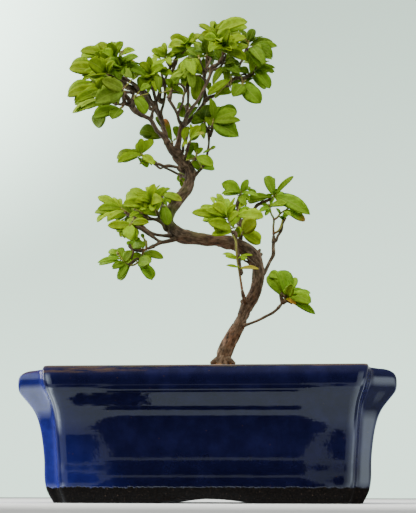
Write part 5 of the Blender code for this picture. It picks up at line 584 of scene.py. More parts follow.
def lattice_noise(points, seed):
    """Smooth noise from -1 to 1: random values on a unit lattice, blended by smoothstep."""
    cell = np.floor(points).astype(np.int64)
    part = points - cell
    part = part * part * (3.0 - 2.0 * part)
    total = np.zeros(len(points))
    for corner in np.ndindex(2, 2, 2):
        spot = cell + np.array(corner)
        key = spot[:, 0] * HASH_FACTORS[0] + spot[:, 1] * HASH_FACTORS[1]
        key = key + spot[:, 2] * HASH_FACTORS[2] + seed * HASH_SEED
        key = (key ^ (key >> 13)) * HASH_MIX
        value = ((key ^ (key >> 16)) & 65535) / 32767.5 - 1.0
        total += np.where(np.array(corner) == 1, part, 1.0 - part).prod(axis=1) * value
    return total


def smooth_path(knots, spacing):
    """A smooth curve through the knots, read every spacing mm.

    Between two knots it is the cubic that meets both with the mean slope of their chords.
    """
    chord = np.linalg.norm(np.diff(knots[:, :3], axis=0), axis=1)
    place = np.concatenate([[0.0], np.cumsum(chord)])
    slope = np.gradient(knots, place, axis=0)
    goal = np.linspace(0.0, place[-1], max(3, int(round(place[-1] / spacing)) + 1))
    left = np.clip(np.searchsorted(place, goal, side="right") - 1, 0, len(chord) - 1)
    span = chord[left][:, None]
    t = (goal[:, None] - place[left][:, None]) / span
    curve = (2 * t**3 - 3 * t**2 + 1) * knots[left] + (3 * t**2 - 2 * t**3) * knots[left + 1]
    curve += (t**3 - 2 * t**2 + t) * span * slope[left] + (t**3 - t**2) * span * slope[left + 1]
    return curve, goal


# Shapes are dictionaries: points, faces as arrays of quads or triangles, each with its
# material number, and named values for every point.
def join_shapes(shapes):
    """Puts several shapes into one, with their faces renumbered."""
    start = 0
    faces = []
    for shape in shapes:
        faces += [(corners + start, slot) for corners, slot in shape["faces"]]
        start += len(shape["points"])
    values = {}
    for name in shapes[0]["values"]:
        values[name] = np.concatenate([shape["values"][name] for shape in shapes])
    points = np.concatenate([shape["points"] for shape in shapes])
    return {"points": points, "faces": faces, "values": values}


def grid_quads(rows, columns, closed=False):
    """Corner numbers of the quads of a grid that is kept row by row."""
    index = np.arange(rows * columns).reshape(rows, columns)
    if closed:
        index = np.column_stack([index, index[:, 0]])
    quads = np.stack([index[:-1, :-1], index[:-1, 1:], index[1:, 1:], index[1:, :-1]], axis=-1)
    return quads.reshape(-1, 4)


def tube_faces(rows, sides, slot=0):
    """Faces of a closed tube of rings, with a fan to the first and the last of two points
    that follow the rings' points."""
    total = rows * sides
    turn = np.arange(sides)
    after = (turn + 1) % sides
    last = total - sides
    first_fan = np.stack([np.full(sides, total), after, turn], axis=-1)
    last_fan = np.stack([np.full(sides, total + 1), last + turn, last + after], axis=-1)
    return [(grid_quads(rows, sides, closed=True), slot), (first_fan, slot), (last_fan, slot)]


def limb_shape(knots, spacing, sides, slot=0, relief=None, flare=0.0):
    """A closed limb around a path.

    skin(s, a) = centre(s) + radius(s) * (side cos a + other sin a), lifted by the relief;
    the two ends close in a point that stands out like a low dome. flare widens its start.
    """
    path, along = smooth_path(knots, spacing)
    centre = path[:, :3]
    radius = np.maximum(path[:, 3], LEAST_RADIUS)
    radius = radius * (1.0 + flare * np.exp(-((along / (FLARE_LENGTH * radius[0])) ** 2)))
    tangent = unit(np.gradient(centre, axis=0))
    least = np.argmin(np.abs(tangent).max(axis=0))
    side = unit(np.cross(tangent, np.eye(3)[least]))
    other = np.cross(tangent, side)
    angle = 2.0 * math.pi * np.arange(sides) / sides
    ring = side[:, None] * np.cos(angle)[None, :, None]
    ring = ring + other[:, None] * np.sin(angle)[None, :, None]
    typical = float(radius.mean())
    grain = np.stack(np.broadcast_arrays(
        typical * np.cos(angle)[None], typical * np.sin(angle)[None], along[:, None]), axis=-1)
    lift = radius[:, None]
    if relief:
        lift = lift + relief(grain.reshape(-1, 3)).reshape(len(along), sides)
    skin = centre[:, None] + lift[..., None] * ring
    ends = np.stack([centre[0] - tangent[0] * END_DOME * radius[0],
                     centre[-1] + tangent[-1] * END_DOME * radius[-1]])
    caps = np.array([[0.0, 0.0, along[0]], [0.0, 0.0, along[-1]]])
    points = np.concatenate([skin.reshape(-1, 3), ends])
    height = np.concatenate([np.repeat(along / max(along[-1], 1e-6), sides), [0.0, 1.0]])
    return {
        "points": points,
        "faces": tube_faces(len(along), sides, slot),
        "values": {"grain": np.concatenate([grain.reshape(-1, 3), caps]), "reach": height},
    }


def make_piece(name, shape, materials):
    """Turns a shape into a smooth mesh object at the origin, in metres."""
    mesh = bpy.data.meshes.new(name)
    corners = [tuple(face) for faces, _ in shape["faces"] for face in faces.tolist()]
    slots = np.concatenate([np.full(len(faces), slot) for faces, slot in shape["faces"]])
    mesh.from_pydata((shape["points"] * MM).tolist(), [], corners)
    mesh.polygons.foreach_set("material_index", slots.astype(np.int32))
    for key, values in shape["values"].items():
        kind, field = ("FLOAT", "value") if values.ndim == 1 else ("FLOAT_VECTOR", "vector")
        layer = mesh.attributes.new(key, kind, "POINT")
        layer.data.foreach_set(field, values.astype(np.float32).ravel())
    for material in materials:
        mesh.materials.append(material)
    mesh.shade_smooth()
    piece = bpy.data.objects.new(name, mesh)
    bpy.context.scene.collection.objects.link(piece)
    return piece


def stand_for(piece, slot, *nodes):
    """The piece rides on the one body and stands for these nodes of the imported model."""
    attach(piece, BODY)
    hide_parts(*nodes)


# Materials.
def new_material(name):
    """A material and its empty node tree."""
    material = bpy.data.materials.new(name)
    material.use_nodes = True
    material.node_tree.nodes.clear()
    return material, material.node_tree


def add_node(tree, kind, *values, **named):
    """Adds a node and gives its inputs and properties their values.

    values fill the inputs in their order: of a Map Range those are the value, two ends to
    read from and two to read to. An output is linked, and a node by its first one in use.
    """
    node = tree.nodes.new("ShaderNode" + kind)
    inputs = dict(enumerate(values))
    for key, value in named.items():
        if key in node.bl_rna.properties:
            setattr(node, key, value)
        else:
            inputs[key.replace("_", " ")] = value
    for key, value in inputs.items():
        if isinstance(value, bpy.types.Node):
            value = next(output for output in value.outputs if output.enabled)
        if isinstance(value, bpy.types.NodeSocket):
            tree.links.new(value, node.inputs[key])
        else:
            node.inputs[key].default_value = value
    return node


def scaled(color, factor):
    """A colour with alpha 1, made lighter or darker by a factor."""
    return (*[min(1.0, factor * value) for value in color], 1.0)


def ramp_stops(node, stops):
    """Gives a Color Ramp node its stops, as pairs of place and linear colour."""
    elements = node.color_ramp.elements
    while len(elements) > 1:
        elements.remove(elements[-1])
    elements[0].position = stops[0][0]
    elements[0].color = stops[0][1]
    for place, color in stops[1:]:
        elements.new(place).color = color
    return node


# Settings a user would change.
def color_setting(name, description, code):
    """A colour that starts as the hex code's linear one."""
    return FloatVectorProperty(name=name, description=description, default=srgb(code)[:3], size=3,
                               subtype="COLOR", min=0.0, max=1.0)


def length_setting(name, description, size, least, most):
    """A length that is given in millimetres and kept in metres."""
    return FloatProperty(name=name, description=description, default=size * MM,
                         min=least * MM, max=most * MM, unit="LENGTH")


class PotSettings(bpy.types.PropertyGroup):
    """Sizes and colours of the glazed pot."""

    # Painted light: this brighter blue is used only on the lit left end of the pot.
    glaze: color_setting("Glaze", "Cobalt glaze where it lies thin and lets light in", "#252b88")
    glaze_dark: color_setting("Dark glaze", "Glaze where it pooled almost black", "#151638")
    glaze_break: color_setting("Glaze break", "Brown where glaze runs thin over edges", "#4c3b2a")
    clay: color_setting("Clay", "Bare fired clay of the foot and the inside", "#1a1410")
    foot_line: length_setting("Glaze line", "Height at which the glaze ends above the foot",
                              8.3, 2.0, 20.0)
    ripple: length_setting("Glaze ripple", "Depth of the slow ripples in the glaze",
                           0.06, 0.0, 1.0)


class SoilSettings(bpy.types.PropertyGroup):
    """Grain size and colours of the soil."""

    grain: length_setting("Grain", "Spacing of the fired clay grains", 2.1, 1.5, 6.0)
    light: color_setting("Light grains", "Dry light grains", "#c79a62")
    orange: color_setting("Orange grains", "Iron-rich grains", "#a4622c")
    grey: color_setting("Grey grains", "Weathered grains", "#7d6a57")


class WoodSettings(bpy.types.PropertyGroup):
    """Relief and colours of the bark."""

    relief: length_setting("Bark relief", "Depth of the cracks between bark plates on the trunk",
                           0.6, 0.0, 1.0)
    bark: color_setting("Bark", "Weathered bark plates", "#5c4c3a")
    crack: color_setting("Cracks", "Dark wood between the plates", "#1c130e")
    fresh: color_setting("Fresh bark", "Reddish bark where a plate has come off", "#7b5239")
    moss: color_setting("Moss", "Thin green growth on the shaded bends", "#5c6430")


class LeafSettings(bpy.types.PropertyGroup):
    """Thickness and colours of the leaves and young stems."""

    thickness: length_setting("Blade", "Thickness of a leaf blade", 0.28, 0.1, 1.0)
    spring: color_setting("Spring leaves", "Young leaves in full light", "#8aaa1a")
    grown: color_setting("Grown leaves", "Leaves of the year", "#6e921c")
    pale: color_setting("Pale leaves", "Leaves that show their underside", "#90b036")
    deep: color_setting("Deep leaves", "Shaded leaves inside the tree", "#5c7a1e")
    vein: color_setting("Veins", "Midrib and side veins", "#a5b850")
    stem: color_setting("Young stems", "Green shoots", "#8a8a36")
    stem_base: color_setting("Stem bases", "Ripening base of a shoot", "#70492a")


class StageSettings(bpy.types.PropertyGroup):
    """Floor tone and light of the studio."""

    floor: color_setting("Floor", "Plain pale floor", "#d9dbd8")
    backdrop: color_setting("Backdrop", "Plain pale backdrop", "#d7ddd9")
    backdrop_shown: color_setting("Shown backdrop", "Tint of it in the picture", "#e2ffed")
    backdrop_light: FloatProperty(
        name="Backdrop light", description="Brightness of the backdrop in the picture",
        default=1.61, min=0.0, max=10.0)
    strength: FloatProperty(
        name="Light", description="Strength of all the lamps together",
        default=1.0, min=0.0, max=10.0)


# Pot. The lip and the inside wall go on from the last of the outer levels: height, inset
# from the outermost line and half length of the front panel, all in millimetres.
LIP_AND_INSIDE = [
    (72.1, 8.5, 84.8), (71.8, 9.7, 83.4), (70.6, 10.6, 82), (67.8, 11.3, 80.6), (59.9, 13, 77.2),
    (48, 14.8, 74), (40.5, 17.7, 73.4), (31, 19.5, 72.8), (20, 20.6, 71.9), (14, 21, 71.4),
]
# The underside: height, and how far its ring lies inside the edge of the recess.
UNDERSIDE = [(POT_RECESS_HEIGHT, 0.7), (POT_RECESS_HEIGHT - 0.2, 0.15),
             (POT_RECESS_HEIGHT - 0.8, 0.0), (0.6, 0.0), (0.0, -0.5)]
FOOT_TOP = 7.6
FOOT_ROUND = 0.6
# The slots are cut into what lies outside the recess, with this much to spare.
SKIRT_SLACK = 1.0
LEVEL_SPACING = 1.15
LEAST_INSET = 0.02
# Bare clay: the inside below this height, and the drain holes with this much around them.
BARE_INSIDE = 66.5
DRILLED_RIM = 0.5
# How far the glaze is thin around a corner edge, and where beyond the front panel's end the
# pot's end begins, over which the painted light of the lit left end fades in.
CORNER_REACH = 1.8
LIT_END_FADE = (-1.0, 1.5)
# The cylinders that cut the drain holes: their sides, and the heights they stand between.
DRAIN_SIDES = 40
DRAIN_FROM = -10.0
DRAIN_TO = 30.0
# Points of a ring: in each rounding, and on the straight stretches of a quarter.
ARC_POINTS = 6
FRONT_POINTS = 22
SIDE_POINTS = 12
NOTCH_POINTS = 3


def ear_drop(height):
    """How much lower each ring's points lie than its height: a (h-h0)^p, none along the
    front and back panels, a share of it at the inner corners and all of it at the ends."""
    top = POT_LEVELS[-1][0]
    rise = np.maximum(0.0, height - EAR_DROP_FROM) / (top - EAR_DROP_FROM)
    rise = EAR_DROP * rise ** EAR_DROP_POWER
    first = FRONT_POINTS + ARC_POINTS - 1
    last = first + ARC_POINTS + 2 * NOTCH_POINTS - 1
    order = np.arange(last + ARC_POINTS + SIDE_POINTS - 1)
    share = np.interp(order, [first, 0.5 * (first + last), last], [0.0, INNER_CORNER_SHARE, 1.0])
    ahead, back = share[:-1], share[:0:-1]
    return rise[:, None] * np.concatenate([ahead, back, ahead, back])


def pot_rings(half_x, half_y, front_half, height):
    """Rings of a rectangle whose corners are stepped in, one for each height.

    A quarter runs in straight stretches from the middle of the front to the middle of the
    side. At each turning point A it is rounded by A - r (1-t)^2 d + r t^2 e, where d and e
    are the directions before and after A. The other quarters are its mirror images.
    """
    notch = half_x - front_half
    side_half = half_y - notch * NOTCH_DEPTH_RATIO
    inner_x = front_half + notch * NOTCH_SLANT_RATIO
    inner_y = side_half + notch * NOTCH_DEPTH_RATIO * NOTCH_SLANT_RATIO
    none = np.zeros_like(half_x)
    stops = [(none, half_y), (front_half, half_y), (inner_x, inner_y), (half_x, side_half),
             (half_x, none)]
    stops = [np.stack(stop, axis=-1)[:, None] for stop in stops]
    start = stops[0]
    parts = []
    rounds = [(1, EDGE_ROUND, FRONT_POINTS), (2, FILLET_ROUND, NOTCH_POINTS),
              (3, EDGE_ROUND, NOTCH_POINTS)]
    for index, radius, count in rounds:
        before = unit(stops[index] - stops[index - 1])
        after = unit(stops[index + 1] - stops[index])
        share = np.linspace(0.0, 1.0, count + 1)[min(index - 1, 1):-1, None]
        parts.append(start + (stops[index] - before * radius - start) * share)
        share = np.linspace(0.0, 1.0, ARC_POINTS)[:, None]
        parts.append(stops[index] - before * radius * (1.0 - share) ** 2
                     + after * radius * share ** 2)
        start = stops[index] + after * radius
    share = np.linspace(0.0, 1.0, SIDE_POINTS)[1:, None]
    parts.append(start + (stops[4] - start) * share)
    quarter = np.concatenate(parts, axis=1)
    ahead = quarter[:, :-1]
    back = quarter[:, :0:-1]
    ring = np.concatenate([ahead * (1, -1), back, ahead * (-1, 1), back * (-1, -1)], axis=1)
    return np.concatenate([ring, (height[:, None] - ear_drop(height))[..., None]], axis=2)


def pot_level(heights, column):
    """The outer profile's inset (1) or half front length (2) at these heights."""
    levels = np.array(POT_LEVELS)
    return np.interp(heights, levels[:, 0], levels[:, column])


def foot_slot(x):
    """Height of the shallow arch under the front and back skirts: a parabola."""
    return POT_SLOT_HEIGHT * np.maximum(0.0, 1.0 - (x / POT_SLOT_HALF_LENGTH) ** 2)


def pot_shape():
    """The pot as one skin: ceiling of the recess, foot, outside, lip, inside and floor.

    Row by row it is the ring of the stepped rectangle at the inset and height that the
    profile has there; the profile is a smooth curve through the levels.
    """
    foot_inset, foot_front = POT_LEVELS[0][1:]
    margin = POT_RECESS_MARGIN
    under = [(height, foot_inset + margin + more, foot_front - margin - more)
             for height, more in UNDERSIDE]
    under.append((0.0, foot_inset + FOOT_ROUND, foot_front - FOOT_ROUND))
    levels = np.array(POT_LEVELS + LIP_AND_INSIDE)
    knots = np.column_stack([levels[:, 1], levels[:, 2], levels[:, 0], np.zeros(len(levels))])
    curve, _ = smooth_path(knots, LEVEL_SPACING)
    rows = np.concatenate([np.array(under), curve[:, [2, 0, 1]]])
    height, inset, front = rows.T
    inset = np.maximum(inset, LEAST_INSET)
    rings = pot_rings(POT_HALF_LENGTH - inset, POT_HALF_WIDTH - inset, front, height)
    order = np.arange(len(rows))
    inner = order > len(rows) - np.argmax(height[::-1] > BARE_INSIDE)
    bare = np.where((order < len(under)) | inner, 1.0, 0.0)
    top = np.where(order < len(under) - 1, POT_RECESS_HEIGHT, FOOT_TOP)[:, None]
    skirt = np.abs(rings[..., 1]) > POT_HALF_WIDTH - foot_inset - margin - SKIRT_SLACK
    rise = foot_slot(rings[..., 0]) * (skirt & (rings[..., 2] < top))
    rings[..., 2] = rise + rings[..., 2] * (1.0 - rise / top)
    count = rings.shape[1]
    poles = np.array([[0.0, 0.0, POT_RECESS_HEIGHT], [0.0, 0.0, POT_INSIDE_FLOOR]])
    return {
        "points": np.concatenate([rings.reshape(-1, 3), poles]),
        "faces": tube_faces(len(rows), count),
        "values": {"bare": np.append(np.repeat(bare, count), (1.0, 1.0))},
    }


def glaze_zones_and_lit_end(points, bare):
    """For each point: nearness to a vertical corner edge, 1 where the clay is bare, and 1
    on the left end beyond the front panel, which marks where painted light goes.

    nearness = exp(-(d / CORNER_REACH)^2) with d the distance to the nearest corner of the
    ring at that height; the walls of the drain holes are bare too.
    """
    x, y, z = np.abs(points[:, 0]), np.abs(points[:, 1]), points[:, 2]
    inset = pot_level(z, 1)
    front = pot_level(z, 2)
    half_x = POT_HALF_LENGTH - inset
    half_y = POT_HALF_WIDTH - inset
    side_half = half_y - (half_x - front) * NOTCH_DEPTH_RATIO
    away = np.minimum(np.hypot(x - front, y - half_y), np.hypot(x - half_x, y - side_half))
    drilled = np.hypot(x - DRAIN_OFFSET, y) < DRAIN_RADIUS + DRILLED_RIM
    # Painted light: the left end, lit by the left lamp, is marked for the brighter blue.
    end = smoothstep(x - front, *LIT_END_FADE) * (points[:, 0] < 0.0)
    return np.column_stack([np.exp(-((away / CORNER_REACH) ** 2)), np.maximum(bare, drilled), end])


def glaze_material(settings):
    """Cobalt-blue glaze, dipped and fired to a glassy coat about 0.3 mm thick over dark
    stoneware. It is nearly black with random pools over the panels, breaks brown over the rim
    and the corners, and mirrors the lamps. Painted light makes it a brighter blue on the lit
    left end and low on the front beside it, and painted shade darkens it low on the panels.
    Below a ragged line the foot is bare, matt, dark clay."""
    material, tree = new_material("cobalt_glaze_on_stoneware")
    place = add_node(tree, "TexCoord").outputs["Object"]
    zones_and_lit_end = add_node(tree, "Attribute", attribute_name="zones_and_lit_end")
    near_edge, unglazed, lit_left_end = add_node(tree, "SeparateXYZ", zones_and_lit_end.outputs["Vector"]).outputs
    across, _, height = add_node(tree, "SeparateXYZ", place).outputs
    # Pools of glaze 9 mm across, and runs drawn out to 30 mm downwards.
    pools = add_node(tree, "TexNoise", place, Scale=110.0, Detail=5.0, Roughness=0.62)
    runs_map = add_node(tree, "Mapping", place, Scale=(1.0, 1.0, 0.18))
    runs = add_node(tree, "TexNoise", runs_map, Scale=170.0, Detail=3.0)
    blend = add_node(tree, "Math", runs, 0.35, pools, operation="MULTIPLY_ADD")
    pools_and_low_shade = ramp_stops(add_node(tree, "ValToRGB", blend), [
        (0.40, scaled(settings.glaze_dark, 0.7)), (0.66, scaled(settings.glaze_dark, 1.0)),
        (0.90, scaled(settings.glaze_dark, 1.5))])
    # Painted light: the brighter blue that the lit left end is given.
    painted_lit_glaze = ramp_stops(add_node(tree, "ValToRGB", blend), [
        (0.40, scaled(settings.glaze, 0.55)), (0.66, scaled(settings.glaze, 0.9)),
        (0.86, scaled(settings.glaze, 1.3))])
    # Painted light: the glaze is a brighter blue on the left end, which the left lamp lights, and
    # low on the front for 40 mm from there.
    cloud = add_node(tree, "Math", pools, 30.0 * MM, -15.0 * MM, operation="MULTIPLY_ADD")
    shifted = add_node(tree, "Math", across, cloud, operation="ADD")
    lifted = add_node(tree, "Math", height, 0.7, shifted, operation="MULTIPLY_ADD")
    corner = add_node(tree, "MapRange", lifted, -70.0 * MM, -25.0 * MM, 0.5, 0.0,
                      interpolation_type="SMOOTHSTEP")
    painted_light_mask = add_node(tree, "Math", corner, lit_left_end, operation="MAXIMUM")
    # It is darker on the lip, and painted shade darkens it low on the panels, against the light
    # that the floor throws up.
    lip = add_node(tree, "MapRange", height, 60.0 * MM, 63.0 * MM, 1.0, 0.8)
    low = add_node(tree, "MapRange", height, 16.0 * MM, 30.0 * MM, 0.55, 1.0)
    for factor in (lip, low):
        pools_and_low_shade = add_node(tree, "VectorMath", pools_and_low_shade, Scale=factor, operation="SCALE")
    depth = add_node(tree, "Mix", data_type="RGBA", Factor=painted_light_mask, A=pools_and_low_shade, B=painted_lit_glaze)
    # Iron specks under a millimetre across, spaced 6 mm.
    specks = add_node(tree, "TexVoronoi", place, Scale=170.0, Randomness=1.0)
    speck = add_node(tree, "MapRange", specks.outputs["Distance"], 0.04, 0.08, 0.5, 0.0)
    # The glaze runs thin in a line along the top of the rim and down the corner edges.
    rim = add_node(tree, "MapRange", height, 69.5 * MM, 71.8 * MM)
    # Left of the middle it is thin for 5 mm below the rim too.
    left = add_node(tree, "MapRange", across, 10.0 * MM, -45.0 * MM, 0.0, 0.62)
    upper = add_node(tree, "MapRange", height, 65.0 * MM, 68.5 * MM,
                     interpolation_type="SMOOTHSTEP")
    worn = add_node(tree, "Math", left, upper, operation="MULTIPLY")
    worn = add_node(tree, "Math", worn, rim, operation="MAXIMUM")
    thin = add_node(tree, "Math", near_edge, 0.22, worn, operation="MULTIPLY_ADD")
    # Streaks 12 mm long and 1.5 mm high lie along the rim.
    streak_map = add_node(tree, "Mapping", place, Scale=(0.12, 0.12, 1.0))
    streaks = add_node(tree, "TexNoise", streak_map, Scale=650.0, Detail=4.0, Roughness=0.65)
    torn = add_node(tree, "Math", thin, streaks, operation="MULTIPLY")
    broken = add_node(tree, "MapRange", torn, 0.23, 0.38)
    marks = add_node(tree, "Math", broken, speck, operation="MAXIMUM")
    marks = add_node(tree, "Math", marks, 0.8, operation="MULTIPLY")
    tinted = add_node(tree, "Mix", data_type="RGBA", Factor=marks, A=depth,
                      B=(*settings.glaze_break, 1.0))
    # Bare clay: the foot below the ragged line, the underside and the inside.
    ragged = add_node(tree, "TexNoise", place, Scale=420.0, Detail=4.0, Roughness=0.7)
    edge_line = add_node(tree, "Math", ragged, 3.2 * MM, settings.foot_line - 1.6 * MM,
                         operation="MULTIPLY_ADD")
    above = add_node(tree, "Math", height, edge_line, operation="SUBTRACT")
    foot = add_node(tree, "MapRange", above, -0.25 * MM, 0.25 * MM, 1.0, 0.0)
    bare = add_node(tree, "Math", foot, unglazed, operation="MAXIMUM")
    # Sand in the clay shows as ochre grains 0.7 mm across.
    sand = add_node(tree, "TexNoise", place, Scale=900.0, Detail=3.0, Roughness=0.6)
    clay = ramp_stops(add_node(tree, "ValToRGB", sand), [
        (0.34, scaled(settings.clay, 0.2)), (0.56, scaled(settings.clay, 0.5)),
        (0.66, scaled(settings.clay, 1.0)), (0.74, scaled(settings.clay, 7.0))])
    color = add_node(tree, "Mix", data_type="RGBA", Factor=bare, A=tinted, B=clay)
    rough = add_node(tree, "MapRange", bare, 0.0, 1.0, 0.02, 0.6)
    # Slow ripples of the dipped glaze 22 mm long, a fine orange peel 1.6 mm long, and the
    # step of 0.3 mm where the glaze ends.
    ripple = add_node(tree, "TexNoise", place, Scale=45.0, Detail=1.0, Roughness=0.4)
    peel = add_node(tree, "TexNoise", place, Scale=600.0, Detail=1.0)
    slow = add_node(tree, "Math", ripple, settings.ripple, operation="MULTIPLY")
    skin = add_node(tree, "Math", peel, 0.004 * MM, slow, operation="MULTIPLY_ADD")
    step = add_node(tree, "Math", bare, -0.3 * MM, skin, operation="MULTIPLY_ADD")
    grit = add_node(tree, "Math", sand, bare, operation="MULTIPLY")
    surface = add_node(tree, "Math", grit, 0.35 * MM, step, operation="MULTIPLY_ADD")
    bump = add_node(tree, "Bump", Strength=1.0, Distance=1.0, Height=surface)
    shine = add_node(tree, "MapRange", bare, 0.0, 1.0, 0.5, 0.04)
    shader = add_node(tree, "BsdfPrincipled", color, IOR=1.5, Roughness=rough, Normal=bump,
                      Specular_IOR_Level=shine)
    add_node(tree, "OutputMaterial", shader)
    return material


def drain_cutter(side):
    """An upright cylinder through the pot's floor: x = r cos a, y = r sin a at both ends."""
    angle = 2.0 * math.pi * np.arange(DRAIN_SIDES) / DRAIN_SIDES
    x = side * DRAIN_OFFSET + DRAIN_RADIUS * np.cos(angle)
    y = DRAIN_RADIUS * np.sin(angle)
    rings = [np.column_stack([x, y, np.full(DRAIN_SIDES, z)]) for z in (DRAIN_FROM, DRAIN_TO)]
    poles = [[side * DRAIN_OFFSET, 0.0, z] for z in (DRAIN_FROM, DRAIN_TO)]
    return {"points": np.concatenate(rings + [poles]), "faces": tube_faces(2, DRAIN_SIDES),
            "values": {}}


class BONSAI_OT_pot(bpy.types.Operator):
    """Build the stepped-corner pot with its foot slots and drain holes."""

    bl_idname = "bonsai.add_pot"
    bl_label = "Glazed pot"

    def execute(self, context):
        settings = context.scene.bonsai_pot
        piece = make_piece("glazed_pot", pot_shape(), [glaze_material(settings)])
        for side in (-1.0, 1.0):
            cutter = make_piece("drain_cutter", drain_cutter(side), [])
            hole = piece.modifiers.new("drain", "BOOLEAN")
            hole.operation = "DIFFERENCE"
            hole.solver = "EXACT"
            hole.object = cutter
            depsgraph = context.evaluated_depsgraph_get()
            drilled = bpy.data.meshes.new_from_object(piece.evaluated_get(depsgraph))
            piece.modifiers.clear()
            piece.data = drilled
            bpy.data.objects.remove(cutter, do_unlink=True)
        mesh = piece.data
        points = np.empty(len(mesh.vertices) * 3, np.float32)
        mesh.vertices.foreach_get("co", points)
        bare = np.empty(len(mesh.vertices), np.float32)
        mesh.attributes["bare"].data.foreach_get("value", bare)
        zones_and_lit_end = glaze_zones_and_lit_end(points.reshape(-1, 3).astype(float) / MM, bare)
        layer = mesh.attributes.new("zones_and_lit_end", "FLOAT_VECTOR", "POINT")
        layer.data.foreach_set("vector", zones_and_lit_end.astype(np.float32).ravel())
        mesh.shade_smooth()
        stand_for(piece, "glaze", "pot")
        return {"FINISHED"}


# Soil, in millimetres: heights of the bed's rings along the wall, its rings on the mound, how
# far it lies under the grains, and the grains' distance from the rim's outermost line.
BED_HEIGHTS = [POT_INSIDE_FLOOR + SOIL_GAP, 24.0, 34.0, 44.0, 54.0, SOIL_EDGE_HEIGHT - 1.0]
BED_RINGS = 30
BED_DEPTH = 0.9
GRAINS_INSET = 13.0
# How far grains may lie over their edge, off the stepped corners and into the trunk's hole.
GRAINS_OVER_EDGE = 1.0
GRAINS_OFF_CORNER = 0.5
GRAINS_OVER_TRUNK_GAP = 1.4
# Grains by their spacing: random shift, radius, and how deep they are sunk by their radius.
GRAIN_SHIFT = 0.45
GRAIN_SIZES = (0.42, 0.72)
GRAIN_SUNK = 0.45
# Shares by which a grain is stretched and its points pushed, and how flat it lies.
GRAIN_STRETCH = (0.7, 1.15)
GRAIN_ROUGHNESS = (0.88, 1.1)
GRAIN_FLATNESS = 0.85
BED_SHADE = 0.15


def soil_height(x, y):
    """A low mound: the edge height plus a bell curve around the trunk's foot."""
    away = np.hypot(x - TRUNK_FOOT_X, y)
    return SOIL_EDGE_HEIGHT + SOIL_MOUND_HEIGHT * np.exp(-((away / SOIL_MOUND_SPREAD) ** 2))


def soil_edge(height, gap):
    """The ring just inside the pot's inner wall at each of these heights."""
    inside = np.array(LIP_AND_INSIDE)[::-1]
    inset = np.interp(height, inside[:, 0], inside[:, 1]) + gap
    front = np.interp(height, inside[:, 0], inside[:, 2]) - gap
    return pot_rings(POT_HALF_LENGTH - inset, POT_HALF_WIDTH - inset, front, height)


def soil_bed_shape():
    """The filled body of the soil: rings up the inner wall, then rings that shrink towards
    the trunk's foot on the mound's surface, a little under the grains."""
    walls = soil_edge(np.array(BED_HEIGHTS), SOIL_GAP)
    edge = walls[-1, :, :2]
    share = np.linspace(1.0, 0.0, BED_RINGS)[1:-1, None, None]
    centre = np.array([TRUNK_FOOT_X, 0.0])
    flat = centre + (edge[None] - centre) * share
    surface = soil_height(flat[..., 0], flat[..., 1])[..., None] - BED_DEPTH
    rings = np.concatenate([walls, np.concatenate([flat, surface], axis=2)])
    poles = np.array([[0.0, 0.0, BED_HEIGHTS[0]],
                      [TRUNK_FOOT_X, 0.0, float(soil_height(TRUNK_FOOT_X, 0.0)) - BED_DEPTH]])
    points = np.concatenate([rings.reshape(-1, 3), poles])
    return {"points": points, "faces": tube_faces(*rings.shape[:2]),
            "values": {"shade": np.full(len(points), BED_SHADE)}}


# The twenty-sided solid: three upright rectangles of golden proportion, square to each other.
GOLDEN = (1.0 + 5.0 ** 0.5) / 2.0
ICOSA_POINTS = np.array([
    (-1, GOLDEN, 0), (1, GOLDEN, 0), (-1, -GOLDEN, 0), (1, -GOLDEN, 0),
    (0, -1, GOLDEN), (0, 1, GOLDEN), (0, -1, -GOLDEN), (0, 1, -GOLDEN),
    (GOLDEN, 0, -1), (GOLDEN, 0, 1), (-GOLDEN, 0, -1), (-GOLDEN, 0, 1)])
ICOSA_FACES = np.array([
    (0, 11, 5), (0, 5, 1), (0, 1, 7), (0, 7, 10), (0, 10, 11), (1, 5, 9), (5, 11, 4),
    (11, 10, 2), (10, 7, 6), (7, 1, 8), (3, 9, 4), (3, 4, 2), (3, 2, 6), (3, 6, 8),
    (3, 8, 9), (4, 9, 5), (2, 4, 11), (6, 2, 10), (8, 6, 7), (9, 8, 1)])
CORNERS = len(ICOSA_POINTS)


def turns_at_random(random, count):
    """Turning matrices of unit quaternions drawn evenly over all directions."""
    w, x, y, z = unit(random.normal(size=(count, 4))).T
    rows = [(1 - 2 * (y * y + z * z), 2 * (x * y - w * z), 2 * (x * z + w * y)),
            (2 * (x * y + w * z), 1 - 2 * (x * x + z * z), 2 * (y * z - w * x)),
            (2 * (x * z - w * y), 2 * (y * z + w * x), 1 - 2 * (x * x + y * y))]
    return np.stack([np.stack(row, axis=-1) for row in rows], axis=1)


